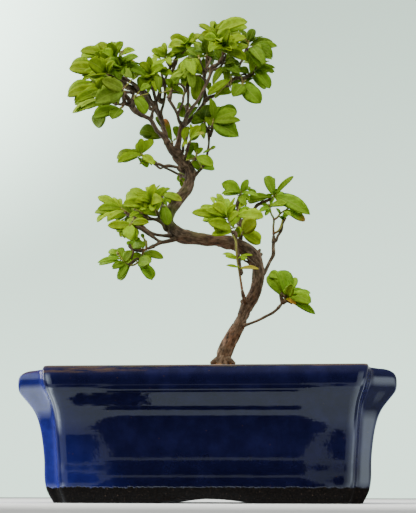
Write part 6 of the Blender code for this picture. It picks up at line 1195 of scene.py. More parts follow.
def grains_shape(spacing):
    """Fired clay grains: twenty-sided stones on a shifted grid, each turned and stretched
    at random and sunk by about half its radius into the mound's surface."""
    random = np.random.default_rng(SEED)
    half_x = POT_HALF_LENGTH - GRAINS_INSET
    half_y = POT_HALF_WIDTH - GRAINS_INSET
    across = np.arange(-half_x, half_x, spacing)
    deep = np.arange(-half_y, half_y, spacing)
    x, y = [axis.ravel() for axis in np.meshgrid(across, deep)]
    x = x + random.uniform(-GRAIN_SHIFT, GRAIN_SHIFT, len(x)) * spacing
    y = y + random.uniform(-GRAIN_SHIFT, GRAIN_SHIFT, len(y)) * spacing
    front = float(pot_level(SOIL_EDGE_HEIGHT, 2)) - POT_WALL
    side = half_y - (half_x - front) * NOTCH_DEPTH_RATIO
    inside = (np.abs(x) < half_x + GRAINS_OVER_EDGE) & (np.abs(y) < half_y + GRAINS_OVER_EDGE)
    inside &= ~((np.abs(x) > front - GRAINS_OFF_CORNER) & (np.abs(y) > side - GRAINS_OFF_CORNER))
    inside &= np.hypot(x - TRUNK_FOOT_X, y) > TRUNK_HOLE_RADIUS - GRAINS_OVER_TRUNK_GAP
    x, y = x[inside], y[inside]
    count = len(x)
    size = random.uniform(*GRAIN_SIZES, count) * spacing
    centre = np.column_stack([x, y, soil_height(x, y) - GRAIN_SUNK * size])
    stretch = random.uniform(*GRAIN_STRETCH, (count, 1, 3))
    stone = ICOSA_POINTS[None] / np.linalg.norm(ICOSA_POINTS[0]) * stretch
    stone = stone * random.uniform(*GRAIN_ROUGHNESS, (count, CORNERS, 1))
    stone = np.einsum("nij,nkj->nki", turns_at_random(random, count), stone) * size[:, None, None]
    points = (centre[:, None] + stone * (1.0, 1.0, GRAIN_FLATNESS)).reshape(-1, 3)
    faces = (ICOSA_FACES[None] + CORNERS * np.arange(count)[:, None, None]).reshape(-1, 3)
    shade = np.repeat(random.uniform(0.0, 1.0, count), CORNERS)
    return {"points": points, "faces": [(faces, 0)], "values": {"shade": shade}}


def soil_material(settings):
    """Akadama, fired volcanic clay broken to grains of 2 to 3 mm: dull, dusty and porous,
    from cream to orange-brown, each grain one colour with fine pores and darker dust."""
    material, tree = new_material("akadama_grains")
    place = add_node(tree, "TexCoord").outputs["Object"]
    shade = add_node(tree, "Attribute", attribute_name="shade")
    kinds = ramp_stops(add_node(tree, "ValToRGB", shade.outputs["Fac"]), [
        (0.0, (*settings.grey, 1.0)), (0.3, (*settings.orange, 1.0)),
        (0.62, (*settings.light, 1.0)), (1.0, scaled(settings.light, 1.25))])
    # Pores a third of a millimetre across.
    pores = add_node(tree, "TexNoise", place, Scale=1900.0, Detail=3.0, Roughness=0.6)
    worn = add_node(tree, "MapRange", pores, 0.3, 0.62, 0.55, 1.08)
    color = add_node(tree, "VectorMath", kinds, Scale=worn, operation="SCALE")
    bump = add_node(tree, "Bump", Strength=0.8, Distance=0.15 * MM, Height=pores)
    shader = add_node(tree, "BsdfPrincipled", color, Roughness=0.95, Specular_IOR_Level=0.25,
                      Normal=bump)
    add_node(tree, "OutputMaterial", shader)
    return material


class BONSAI_OT_soil(bpy.types.Operator):
    """Fill the pot and lay a skin of clay grains on the mound."""

    bl_idname = "bonsai.add_soil"
    bl_label = "Grain soil"

    def execute(self, context):
        settings = context.scene.bonsai_soil
        shape = join_shapes([soil_bed_shape(), grains_shape(settings.grain / MM)])
        piece = make_piece("grain_soil", shape, [soil_material(settings)])
        mesh = piece.data
        corners = np.empty(len(mesh.polygons), np.int32)
        mesh.polygons.foreach_get("loop_total", corners)
        mesh.polygons.foreach_set("use_smooth", corners == 4)
        stand_for(piece, "soil", "soil")
        return {"FINISHED"}


# Wood. Sides and spacing of the rings of trunk, limbs and twigs, by the tables' number.
LIMB_SIDES = {2: 40, 1: 16, 0: 9}
LIMB_SPACING = {2: 0.7, 1: 0.9, 0: 1.1}

# Places on the bark in millimetres: x, height, radius, kind (0 fresh, 1 moss) and strength.
BARK_MARKS = [
    (8.5, 96, 4.5, 0, 0.8), (22, 121, 5, 0, 0.5), (-22, 221, 7, 0, 0.45), (2, 152, 8, 0, 0.5),
    (14, 150, 4, 0, 0.4), (-26.5, 170, 7.5, 1, 0.9), (-8, 160.5, 7, 1, 0.5), (-18, 187, 4, 1, 0.35),
    (26, 133, 4, 1, 0.25),
]

# Twigs between the tables' ones: x, height and radius. Their depth goes evenly from that of
# the wood nearest to their start to that of the wood nearest to their end.
MORE_TWIGS = [
    [(-58, 261, 0.9), (-54, 258.8, 1.3), (-50, 256, 1.3), (-45.5, 250.5, 1.3), (-42.2, 244.5, 1.3),
     (-40.2, 240, 1.2)],
    [(-34.2, 244.5, 1), (-34.2, 251, 1), (-34.4, 257, 0.7)],
    [(-59.2, 253.2, 0.7), (-56, 251.6, 1), (-51.8, 250.5, 0.9)],
    [(-57.6, 249.6, 0.7), (-56.4, 245.4, 0.8)],
    [(-27.8, 264.4, 0.9), (-25.6, 268, 1), (-24.4, 272, 0.7)],
    [(-23.6, 256.2, 0.6), (-20.6, 255, 0.7), (-19, 252.6, 0.7), (-19, 249.6, 0.6)],
    [(-20.4, 210.8, 0.7), (-19.6, 216, 0.9), (-17.2, 221, 0.7)],
    [(-6.2, 231, 0.6), (-2.4, 226.8, 0.7)],
    [(15.4, 260.2, 0.6), (19.4, 261.2, 0.7)],
    [(-49.6, 165.8, 0.8), (-46, 163.6, 0.9), (-42, 160.9, 0.9), (-37, 157.4, 0.8)],
    [(-42.4, 169.6, 0.6), (-36, 168.6, 0.7), (-32, 166, 0.8), (-29.6, 161.8, 0.8)],
    [(-52.4, 153, 0.6), (-50.2, 150.4, 0.8), (-47, 149.5, 0.8), (-43.6, 149.6, 0.7)],
    [(-49.8, 150.2, 0.7), (-50.2, 147.4, 0.8), (-51.2, 144.8, 0.6)],
    [(-53, 139.6, 0.6), (-50.4, 142, 0.8), (-46.4, 144.2, 0.7)],
    [(42.6, 168.6, 0.6), (41, 165, 0.7), (40.4, 161, 0.7), (38, 157, 0.7), (36.6, 153.8, 0.7)],
    [(11.9, 160, 0.8), (12.6, 154, 0.9), (13.4, 148.4, 0.9), (14.5, 144, 1), (15.1, 139, 0.9),
     (15.9, 134, 0.8)],
    [(22.6, 139.2, 0.7), (20.2, 141.4, 0.7), (17.6, 142.8, 0.5)],
    [(39.4, 122, 0.7), (39.9, 118.6, 1), (40.6, 115.6, 0.9)],
    [(40.4, 116.2, 0.8), (43, 117.4, 0.7), (46.2, 115.8, 0.5)],
    [(-40.2, 206.2, 0.6), (-37, 203.8, 0.6), (-32.6, 201.6, 0.6)],
    [(0, 265, 0.8), (4, 267.6, 0.7), (5.8, 271, 0.6), (6, 275.5, 0.5)],
    [(-2.6, 265.5, 0.8), (-3.6, 270, 0.7), (-4.6, 273.5, 0.6)],
    [(-57, 243.5, 0.6), (-58, 248.5, 0.8), (-59, 252.5, 0.7)],
    [(-25.4, 208.6, 0.9), (-23.4, 205.4, 1.2), (-21.4, 202.4, 1)],
    [(-22.4, 200.9, 0.8), (-20.2, 199.3, 1), (-17.9, 197.4, 0.9)],
    [(-46.4, 252.8, 0.6), (-42.2, 250, 1.1), (-38.2, 244.6, 0.8)],
    [(-33.9, 254.6, 0.5), (-33.5, 246.4, 0.7)],
    [(-57, 257.6, 0.5), (-52, 255.2, 0.7), (-49.6, 254.4, 0.6)],
]

# A twig's end is led into wood that lies within this reach, but not nearer than TWIG_JOINED.
TWIG_REACH = 2.6
TWIG_JOINED = 0.3
TWIG_END_RADIUS = 0.65

# The share by which limbs are thinner in the crown, and the heights between which that comes.
CROWN_SLIMMER = 0.14
CROWN_HEIGHTS = (200.0, 226.0)
# How much thicker the bark makes the trunk, the limbs and the twigs, in millimetres.
BARK_COVER = {2: 0.5, 1: 0.33, 0: 0.2}
# Share of the trunk's relief on trunk, limbs and twigs, and on the twigs of shoots.
BARK_DEPTH = {2: 1.0, 1: 0.5, 0: 0.2}
SHOOT_TWIG_DEPTH = 0.12
LIMB_FLARE = 0.35
SHOOT_TWIG_FLARE = 0.4

# Bark relief: size of the noise's cells across and along the limb in millimetres, and for
# the cracks how wide they are by the noise's value.
SWELLING = (5.0, 5.0, 7.0)
PLATES = (1.5, 1.5, 2.6)
CRACKS = (1.25, 1.25, 5.0)
CRACK_WIDTH = 0.28
CROSS_CRACKS = (2.4, 2.4, 1.9)
CROSS_CRACK_WIDTH = 0.16
CROSS_CRACKS_FROM = 0.1


def bark_relief(depth, seed):
    """Relief of scaly bark: plates parted by cracks that run with the grain.

    height = depth * (0.9 swelling + 0.45 plates - cracks - 0.5 cross cracks), where a crack
    is (1 - |n| / width)+ of noise n, so that cracks follow its zero lines. The noise is drawn
    out along the limb, and cross cracks part only the raised plates.
    """
    def relief(grain):
        swelling = lattice_noise(grain / SWELLING, seed)
        plates = lattice_noise(grain / PLATES, seed + 1)
        crack = 1.0 - np.abs(lattice_noise(grain / CRACKS, seed + 2)) / CRACK_WIDTH
        cross = 1.0 - np.abs(lattice_noise(grain / CROSS_CRACKS, seed + 3)) / CROSS_CRACK_WIDTH
        crack, cross = np.maximum(0.0, crack), np.maximum(0.0, cross)
        return depth * (0.9 * swelling + 0.45 * plates - crack
                        - 0.5 * cross * (plates > CROSS_CRACKS_FROM))
    return relief


def bark_marks(points):
    """For each point the strength of fresh bark and moss: exp(-(d/r)^2) around each mark."""
    marks = np.zeros((len(points), 3))
    for x, z, radius, kind, strength in BARK_MARKS:
        away = np.hypot(points[:, 0] - x, points[:, 2] - z) / radius
        marks[:, kind] = np.maximum(marks[:, kind], strength * np.exp(-away * away))
    return marks


def twig_knots(twig, stems):
    """The brown twig's knots, ending just short of the green shoot and in line with it."""
    knots = knots_of(twig)
    first, second = on_sheet(*np.array(stems[0][:2], float).T)
    end = first - unit(second - first) * TWIG_GAP
    return np.concatenate([knots, [[*end, min(knots[-1, 3], TWIG_END_RADIUS)]]])


def joined_twig(rows, wood):
    """A twig that starts in the nearest wood, with depth going evenly from end to end, and
    ends in it too where that lies within TWIG_REACH."""
    rows = np.array(rows)
    number, away = nearest(rows[[0, -1]], wood)
    first, last = wood[number]
    depth = np.linspace(first[2], last[2], len(rows))
    knots = np.column_stack([rows[:, :2], depth, rows[:, 2]])
    if away[0] > TWIG_JOINED:
        knots = np.concatenate([[[*first, rows[0, 2]]], knots])
    if TWIG_JOINED < away[1] < TWIG_REACH:
        knots = np.concatenate([knots, [[*last, rows[-1, 2]]]])
    return knots


def wood_shape(relief):
    """Trunk, limbs, surface roots and the brown twigs, each a limb of its own."""
    shapes = []
    wood = [sheet_steps(rows) for name, _, rows in LIMBS if not name.startswith("back")]
    wood += [sheet_steps(stem) for name, _, _, stems, _ in SHOOTS for stem in stems
             if not name.startswith("back")]
    wood = np.concatenate(wood)
    limbs = [(kind, rows) for _, kind, rows in LIMBS]
    limbs += [(0, joined_twig(rows, wood)) for rows in MORE_TWIGS]
    for number, (kind, rows) in enumerate(limbs):
        knots = knots_of(rows) + (0.0, 0.0, 0.0, BARK_COVER[kind])
        knots[:, 3] *= 1.0 - CROWN_SLIMMER * smoothstep(knots[:, 2], *CROWN_HEIGHTS)
        shapes.append(limb_shape(knots, LIMB_SPACING[kind], LIMB_SIDES[kind],
                                 relief=bark_relief(relief * BARK_DEPTH[kind], 10 * number),
                                 flare=0.0 if kind == 2 else LIMB_FLARE))
    for number, (_, _, twig, stems, _) in enumerate(SHOOTS):
        knots = twig_knots(twig, stems) + (0.0, 0.0, 0.0, BARK_COVER[0])
        bark = bark_relief(SHOOT_TWIG_DEPTH * relief, 1000 + 10 * number)
        shapes.append(limb_shape(knots, LIMB_SPACING[0], LIMB_SIDES[0], relief=bark,
                                 flare=SHOOT_TWIG_FLARE))
    shape = join_shapes(shapes)
    shape["values"]["marks"] = bark_marks(shape["points"])
    return shape


def bark_material(settings):
    """Satsuki azalea bark: thin brown-grey plates that split along the grain and lift at
    their edges, dark cracks, reddish wood where plates have dropped, and a green film on
    the shaded bends. It is dry and matt, a little shinier on fresh bark."""
    material, tree = new_material("azalea_bark")
    grain = add_node(tree, "Attribute", attribute_name="grain").outputs["Vector"]
    marks = add_node(tree, "Attribute", attribute_name="marks")
    dropped, shaded, _ = add_node(tree, "SeparateXYZ", marks.outputs["Vector"]).outputs
    # Fibres 0.7 mm wide and 5 mm long; the grain attribute is in millimetres.
    fibre_map = add_node(tree, "Mapping", grain, Scale=(1.4, 1.4, 0.22))
    fibres = add_node(tree, "TexNoise", fibre_map, Scale=1.0, Detail=6.0, Roughness=0.68)
    # Plates 2 mm wide and 4 mm long.
    plate_map = add_node(tree, "Mapping", grain, Scale=(0.5, 0.5, 0.26))
    plates = add_node(tree, "TexNoise", plate_map, Scale=1.0, Detail=4.0, Roughness=0.6)
    tone = add_node(tree, "Math", fibres, 0.65, plates, operation="MULTIPLY_ADD")
    grey = tuple(min(1.0, 1.8 * value + 0.02) for value in settings.bark)
    bark = ramp_stops(add_node(tree, "ValToRGB", tone), [
        (0.60, (*settings.crack, 1.0)), (0.72, scaled(settings.bark, 0.55)),
        (0.86, (*settings.bark, 1.0)), (1.0, (*grey, 1.0))])
    ragged = add_node(tree, "MapRange", plates, 0.35, 0.6)
    fresh = add_node(tree, "Math", dropped, ragged, operation="MULTIPLY")
    peeled = add_node(tree, "Mix", data_type="RGBA", Factor=fresh, A=bark, B=(*settings.fresh, 1.0))
    film = add_node(tree, "Math", shaded, fibres, operation="MULTIPLY")
    film = add_node(tree, "MapRange", film, 0.08, 0.45)
    color = add_node(tree, "Mix", data_type="RGBA", Factor=film, A=peeled, B=(*settings.moss, 1.0))
    bump = add_node(tree, "Bump", Strength=0.9, Distance=0.28 * MM, Height=tone)
    rough = add_node(tree, "MapRange", fresh, 0.0, 1.0, 0.88, 0.6)
    shader = add_node(tree, "BsdfPrincipled", color, Specular_IOR_Level=0.35, Roughness=rough,
                      Normal=bump)
    add_node(tree, "OutputMaterial", shader)
    return material


class BONSAI_OT_wood(bpy.types.Operator):
    """Grow trunk, limbs, roots and brown twigs with bark relief."""

    bl_idname = "bonsai.add_wood"
    bl_label = "Bark wood"

    def execute(self, context):
        settings = context.scene.bonsai_wood
        piece = make_piece("bark_wood", wood_shape(settings.relief / MM), [bark_material(settings)])
        stand_for(piece, "bark", "wood")
        return {"FINISHED"}


# Leafy shoots. Shares of a blade's length at which it has a row of points.
BLADE_ROWS = np.array([0.0, 0.09, 0.2, 0.34, 0.48, 0.62, 0.75, 0.86, 0.95, 1.0])
BLADE_SIDES = np.array([-1.0, -0.52, 0.0, 0.52, 1.0])
BLADE_BASE = 0.85
STALK_HALF_WIDTH = 0.11
STALK_END = 0.15
WIDER = 1.15
# What varies from blade to blade: bluntness of the tip, lean of the outline, the edge wave's
# height by the width, the fold by the half width, droop and bend by the length.
BLUNTNESS = (0.5, 0.74)
LEAN = 0.1
WAVES = (0.02, 0.07)
FOLDS = (0.26, 0.42)
DROOP = 0.09
DROOP_LESS_AT_EDGE = 0.4
BEND = 0.05
ARCH = 0.10
FOLD_SHAPE = (1.25, 0.45)
# The edge wave's run along a blade and how far its two edges are apart, in radians.
WAVE_RUN = 2.2 * math.pi
WAVE_APART = 1.4
# The blade's thickness grows this fast from its ends, by its length, from this share.
THICKENING = 14.0
END_THICKNESS = 0.15
# Below this share of a blade's way that isn't along the line of sight, up is its face.
FACE_LEAST = 0.05

# Leaves between the tables' ones: least number of leaves on the shoot, angles in degrees
# between neighbours they may fill in the crown, how far apart those may start, the widest
# angle below the crown, and what varies. Then their layers: share of the neighbours' length,
# how far behind them in millimetres, and whether only the crown has this layer.
FILLED_FROM = 4
FILLED_GAPS = (12.0, 125.0)
FILLED_REACH = 9.0
FILLED_GAP_LOW = 62.0
FILLED_SWAY = 0.12
FILLED_WIDTHS = (0.8, 1.0)
FILLED_TURN = 20.0
FILLED_LAYERS = [
    (0.66, 0.9, 1.2, 3.0, False),
    (0.55, 0.8, 3.2, 5.5, True),
    (0.4, 0.62, -1.8, -0.8, True),
]

# Single leaves behind the tables' ones: base x and height, tip x and height, and width. A
# thin stalk runs to each from the nearest stem, and their tips lie MORE_LEAF_BACK behind it.
MORE_LEAF_BACK = 3.0
MORE_LEAF_TURN = 10.0
MORE_LEAVES = [
    (-71, 276.4, -85.3, 277.9, 6.5), (-60, 276, -50.5, 279.8, 4.5), (-52, 260.5, -58.5, 266, 5.5),
    (-50.5, 262, -46.5, 267.5, 4), (-47.5, 252, -41, 256.5, 4.5), (-35, 250.5, -36.5, 263.5, 4.2),
    (-70.5, 243.8, -90, 238.8, 5.5), (-68.5, 239, -74.5, 229, 9), (-48, 208.5, -41, 202.5, 3.6),
    (8, 289.5, 20.5, 293, 6), (-6.5, 282.5, -11.5, 289, 5), (-24.5, 272.5, -15.5, 276.8, 4.5),
    (4.5, 269.5, 1.5, 279.5, 5), (5.5, 270, 10.8, 275, 4.5), (12.5, 276.5, 21, 280.8, 4.5),
    (20.8, 269.5, 21.5, 277.5, 3.5), (21.5, 261.5, 15, 265.5, 5), (16.5, 260.5, 9.5, 262.5, 4.2),
    (22.4, 260.8, 31.8, 251.4, 6), (24, 258.5, 16.8, 256, 3), (-19, 250, -28, 250.8, 3),
    (-29, 246.5, -28.8, 254.8, 3.6), (-10.2, 240.5, -7.5, 249.8, 3.4),
    (-10.5, 240.5, -17.2, 233.2, 3.4), (-1.5, 227, -5, 234.5, 5.5), (-18, 216.5, -16.8, 228.5, 4.5),
    (-16.5, 206.5, -14, 218.5, 5), (-18, 206, -12, 209, 4.2), (-14.5, 204.5, -7.5, 201, 6),
    (-7.5, 200.3, 0, 200.8, 4), (-1, 249.5, 9.5, 257, 3.2), (-4, 251.5, -4.2, 257, 3),
    (1.5, 289.5, 5.8, 296.8, 3.2), (-1.5, 291.5, -0.8, 298.5, 3), (-47, 184.6, -55.5, 182.8, 5),
    (-65.5, 173.2, -74, 174.2, 3.2), (-53.5, 171.8, -66.5, 168, 3.2),
    (-40.5, 169.6, -50.5, 171.8, 3.4), (-35.5, 170.8, -45.5, 174.8, 5.2),
    (-35, 173.8, -32.8, 180.8, 2.8), (-31.8, 183.4, -25.8, 179.2, 4.4),
    (-49.8, 170.4, -53.2, 166.2, 3), (-56, 144.2, -57.6, 152, 3.8), (-57.5, 143.4, -71, 141.3, 2.8),
    (-50.2, 143, -44.6, 147.4, 5), (-49, 144.2, -54.8, 141.8, 3.4), (-50, 151.6, -49.9, 156.4, 3.4),
    (-19, 191.8, -20.2, 199, 3), (13.5, 183.4, 5, 184.2, 3.4), (14.5, 174.6, 19.8, 178.4, 3.2),
    (33.2, 181.4, 19.8, 179, 3.6), (14.2, 163.5, 13.4, 156.6, 4), (19.5, 161, 28.2, 155, 4.2),
    (41, 131, 32.6, 134.8, 5), (34.6, 175.4, 42.6, 176.6, 2.6), (41, 169.4, 45, 172.8, 2.8),
    (34, 176.2, 35.6, 181.8, 2.8), (0.5, 176.6, -9.2, 176.2, 2.6), (14.6, 142.8, 6.2, 146.2, 2.8),
    (15, 142, 19, 145.4, 3.2), (21.5, 280.2, 36.8, 282.2, 5.4), (9.8, 252.8, -0.6, 246.4, 3.4),
    (19.5, 257.5, 25.6, 243.8, 6.5), (1, 226.8, 14.6, 221.2, 5.6), (2.5, 236.5, 13.8, 237.8, 6.5),
    (-7.4, 273.8, -6.6, 265.6, 3.4), (-7.8, 262.2, -12.4, 264.2, 3.2), (17.8, 257, 9.8, 254.6, 2.4),
    (-27.4, 250.4, -19.6, 249.2, 2.6), (0.4, 291.6, 11.2, 297, 4.6), (-4.2, 290.6, -10.2, 294.8, 3),
    (0.4, 289.2, 1.6, 296.4, 3), (28.5, 272.6, 36, 271, 3.4), (29.5, 264.2, 36.4, 262, 3),
    (14.6, 290.2, 20.4, 288.4, 2.6), (-61.5, 180.4, -71.8, 182.4, 4.4),
    (-66, 172.6, -72.8, 168.2, 3.4), (-54.6, 171.2, -61.4, 168.8, 3),
    (-29.4, 176.8, -31.5, 182.8, 3), (-51.4, 139.8, -58.4, 131.8, 4.8),
    (-42.4, 141.6, -37.4, 131.8, 6), (-44, 150, -42.2, 156.2, 2.6),
    (-20.8, 198.6, -21.9, 192.2, 3.2), (4.6, 177.2, 1.4, 184.8, 2.2),
    (-0.2, 177.8, -2.2, 182.8, 2.2), (19, 186.9, 25.6, 184.6, 2.2), (-1, 167.8, -7.6, 168.4, 2.8),
    (14, 165.4, 14.2, 170.8, 2), (22, 168, 29.4, 169.2, 3), (43.2, 121.6, 39.6, 136.2, 8.2),
    (-78, 271.2, -91.6, 270.8, 6.8), (-77.5, 258.6, -93.2, 251.4, 8.4),
    (-78, 247.2, -88.6, 244.8, 4.4), (-70, 244.2, -81, 241.4, 3.2), (-66.2, 264, -66.6, 268.6, 3),
    (-46.4, 263.4, -52.4, 260.2, 4), (-41.8, 250.4, -42.6, 256, 3), (-34, 272.6, -40, 275.8, 2.8),
    (-33, 220.6, -45, 223.6, 5.4), (-46.4, 210.4, -38.6, 219.4, 5.8),
    (-47.4, 208.8, -57.4, 206, 3.4), (-50, 209.8, -61.6, 209.6, 4.4), (-84, 247.8, -76, 249.8, 3),
    (1, 226.5, 14, 221.4, 5), (32.5, 181, 20.5, 178.2, 3), (35.3, 186.5, 35.8, 194, 3.2),
    (1, 248, 10.2, 251, 4.5), (-58.6, 250, -62, 244.4, 3.2), (-46.6, 204.2, -35.4, 205.6, 2.4),
    (-84.5, 260, -76.5, 263.4, 4),
]

# Young stems: how much they thin out, how far they run on past their end, the stalks' and
# the bud's knots along the way, and their radius.
STEM_THINNING = 0.35
STEM_OVERRUN = 0.6
STALK_KNOTS = np.array([[0.0], [0.5], [1.0]])
STALK_RADII = [0.45, 0.4, 0.35]
BUD_KNOTS = np.array([[-0.5], [0.2], [0.9], [1.5]])
BUD_RADII = [0.45, 0.75, 0.6, 0.2]
STEM_SIDES = 8
STEM_SPACING = 0.7
STEM_FLARE = 0.1
STALK_SIDES = 6
STALK_SPACING = 1.2
BUD_SPACING = 0.35
# Hairs in millimetres: spacing, lengths, lean to the stem's tip, how deep their feet stand
# by the stem's radius, and the feet's corners along the stem and across it.
HAIR_SPACING = 0.35
HAIR_LENGTHS = (0.7, 1.5)
HAIR_LEAN = 0.8
HAIR_DEPTH = 0.8
HAIR_FOOT = [(0.06, 0.0), (-0.03, 0.052), (-0.03, -0.052)]
HAIR_FACES = np.array([(0, 1, 2), (0, 3, 1), (1, 3, 2), (2, 3, 0)])
# The share of the green tone in the hairs, and that of a stem along which it ripens.
HAIR_TONE = 0.75
RIPE_SHARE = 0.6
# No leaf of the first stem is nearer to its start than this, in millimetres or as a share.
FIRST_LEAF = 0.95

# The leaves' tone: how far it varies at random; then painted light and shade: how much
# lighter the low leaves are painted than their tone and how much darker the crown's, the
# heights between which that comes, and how much darker the crown is painted on the left and
# lighter the low branches on the right.
LEAF_LIGHT = (0.72, 1.28)
LEAF_WARMTH = (-0.10, 0.12)
WARM_TINT = (1.0, 0.3, -0.6)
TIP_TINT = (1.06, 1.02, 0.9)
LOW_LEAF_PAINTED_LIGHT = 1.18
CROWN_PAINTED_SHADE = 0.96
PAINTED_LIGHT_HEIGHTS = (180.0, 250.0)
LEFT_CROWN_PAINTED_SHADE = 0.15
LEFT_SHADE_PLACES = (40.0, 65.0)
RIGHT_PAINTED_LIGHT = 0.14
RIGHT_LIGHT_PLACES = (12.0, 32.0)

# Leaves that have turned: shoot, tip x and height in the tables, colour, and the share of
# the length between which the green goes over into it.
TURNED_LEAVES = [
    ("right_cluster_low", 25.2, 167.2, "#9cae2a", -0.2, 0.1),
    ("low_left_right", -20.3, 180.5, "#98983a", 0.6, 1.1),
    ("leaf_orange_tip", -32.3, 233.8, "#b8743a", 0.35, 0.8),
    ("right_low", 48.6, 115.2, "#c0922c", -0.2, 0.5),
    ("crown_left_inner", -50.4, 272.6, "#b9a838", -0.2, 0.2),
    ("crown_left_inner", -58.3, 280, "#7a5a30", 0.35, 1.1),
    ("crown_right_low", 33, 264.8, "#9a4a30", 0.6, 1),
    ("right_stem", 54.6, 166.2, "#94502c", 0.55, 1.1),
    ("front_shoot", 26.7, 137, "#b9ac3c", -0.2, 0.4),
    ("middle_low", -6.6, 223.5, "#9a9a3c", 0.4, 1),
]


def leaf_frames(base, tip, turn):
    """Directions along each blade, across it and out of its upper face.

    out = face cos(turn) + other sin(turn), where face is the way to the front less its
    part along the blade, and other is square to both with its upward side taken.
    """
    along = unit(tip - base)
    face = np.array([0.0, -1.0, 0.0]) + along * along[:, 1:2]
    weak = np.linalg.norm(face, axis=1) < FACE_LEAST
    upward = np.array([0.0, 0.0, 1.0]) - along * along[:, 2:3]
    face = unit(np.where(weak[:, None], upward, face))
    other = np.cross(along, face)
    other = np.where(other[:, 2:3] < 0.0, -other, other)
    angle = np.radians(turn)[:, None]
    out = unit(face * np.cos(angle) + other * np.sin(angle))
    return along, unit(np.cross(out, along)), out


def blade_half_width(place, blunt):
    """Obovate outline: v^a (1-v)^b over its highest value, with a short narrow stalk."""
    widest = BLADE_BASE / (BLADE_BASE + blunt)
    top = widest ** BLADE_BASE * (1.0 - widest) ** blunt
    outline = place ** BLADE_BASE * (1.0 - place) ** blunt / top
    return np.maximum(outline, STALK_HALF_WIDTH * (place < STALK_END))


def blades_shape(base, tip, width, turn, shade, thickness, random):
    """Blades as two skins that share their edge, with a row of points at each share.

    A point lies at base + along v L + across s w(v) + out h, where h adds the arch
    4 v (1-v), the fold of the two halves along the midrib, a droop of the tip that grows
    with v^3, and a slow wave along both edges.
    """
    count = len(base)
    along, across, out = leaf_frames(base, tip, turn)
    length = np.linalg.norm(tip - base, axis=1)[:, None, None]
    place = BLADE_ROWS[None, :, None]
    side = BLADE_SIDES[None, None, :]
    each = (count, 1, 1)
    blunt = random.uniform(*BLUNTNESS, each)
    half = 0.5 * WIDER * width[:, None, None] * blade_half_width(place, blunt)
    lean = random.uniform(-LEAN, LEAN, each)
    wave = random.uniform(0.0, 2.0 * math.pi, each)
    ripple = random.uniform(*WAVES, each) * width[:, None, None]
    fold = random.uniform(*FOLDS, each) * half
    lift = ARCH * length * 4.0 * place * (1.0 - place)
    lift = lift + fold * (FOLD_SHAPE[0] * np.abs(side) - FOLD_SHAPE[1] * side * side)
    ripple = ripple * side * side * np.sin(WAVE_RUN * place + wave + (side > 0) * WAVE_APART)
    lift = lift + ripple * (4 * place * (1 - place))
    droop = random.uniform(0.0, DROOP, each) * length * place ** 3
    lift = lift - droop * (1.0 - DROOP_LESS_AT_EDGE * np.abs(side))
    bend = random.uniform(-BEND, BEND, each) * length * 4.0 * place * (1.0 - place)
    reach = half * side * (1.0 + lean * side) + bend
    skin = base[:, None, None] + along[:, None, None] * (place * length)[..., None]
    skin = skin + across[:, None, None] * reach[..., None] + out[:, None, None] * lift[..., None]
    taper = np.minimum(1.0, np.minimum(place, 1.0 - place) * THICKENING + END_THICKNESS)
    deep = (thickness * taper[:, 1:-1] * np.ones((1, 1, 3)))[..., None]
    under = skin[:, 1:-1, 1:-1] - out[:, None, None] * deep
    # Numbers of one blade's points: base, tip, the upper skin's inner rows, the under side.
    middle, columns = len(BLADE_ROWS) - 2, len(BLADE_SIDES)
    points = np.concatenate([skin[:, 0, 2:3], skin[:, -1, 2:3], skin[:, 1:-1].reshape(count, -1, 3),
                             under.reshape(count, -1, 3)], axis=1)
    upper = 2 + np.arange(middle * columns).reshape(middle, columns)
    lower = upper.copy()
    lower[:, 1:-1] = 2 + middle * columns + np.arange(middle * 3).reshape(middle, 3)
    faces = []
    for index, slot, flip in ((upper, 0, False), (lower, 1, True)):
        quads = index.ravel()[grid_quads(middle, columns)]
        near = np.stack([np.zeros(columns - 1, int), index[0, 1:], index[0, :-1]], axis=-1)
        far = np.stack([np.ones(columns - 1, int), index[-1, :-1], index[-1, 1:]], axis=-1)
        for block in (quads, near, far):
            block = block[:, ::-1] if flip else block
            step = points.shape[1] * np.arange(count)[:, None, None]
            faces.append(((block[None] + step).reshape(-1, block.shape[1]), slot))
    sides = np.broadcast_to(BLADE_SIDES, (middle, columns))
    places = np.broadcast_to(BLADE_ROWS[1:-1, None], (middle, columns))
    u = np.concatenate([[0.0, 0.0], sides.ravel(), sides[:, 1:-1].ravel()])
    v = np.concatenate([[0.0, 1.0], places.ravel(), places[:, 1:-1].ravel()])
    chance = random.uniform(0.0, 1.0, (count, 1))
    blade = np.stack(np.broadcast_arrays(u[None], v[None], chance), axis=-1)
    start, end, low, high = shade
    blend = smoothstep(v[None, :], low[:, None], high[:, None])[..., None]
    tint = start[:, None] * (1.0 - blend) + end[:, None] * blend
    return {"points": points.reshape(-1, 3), "faces": faces,
            "values": {"blade": blade.reshape(-1, 3), "shade": tint.reshape(-1, 3)}}


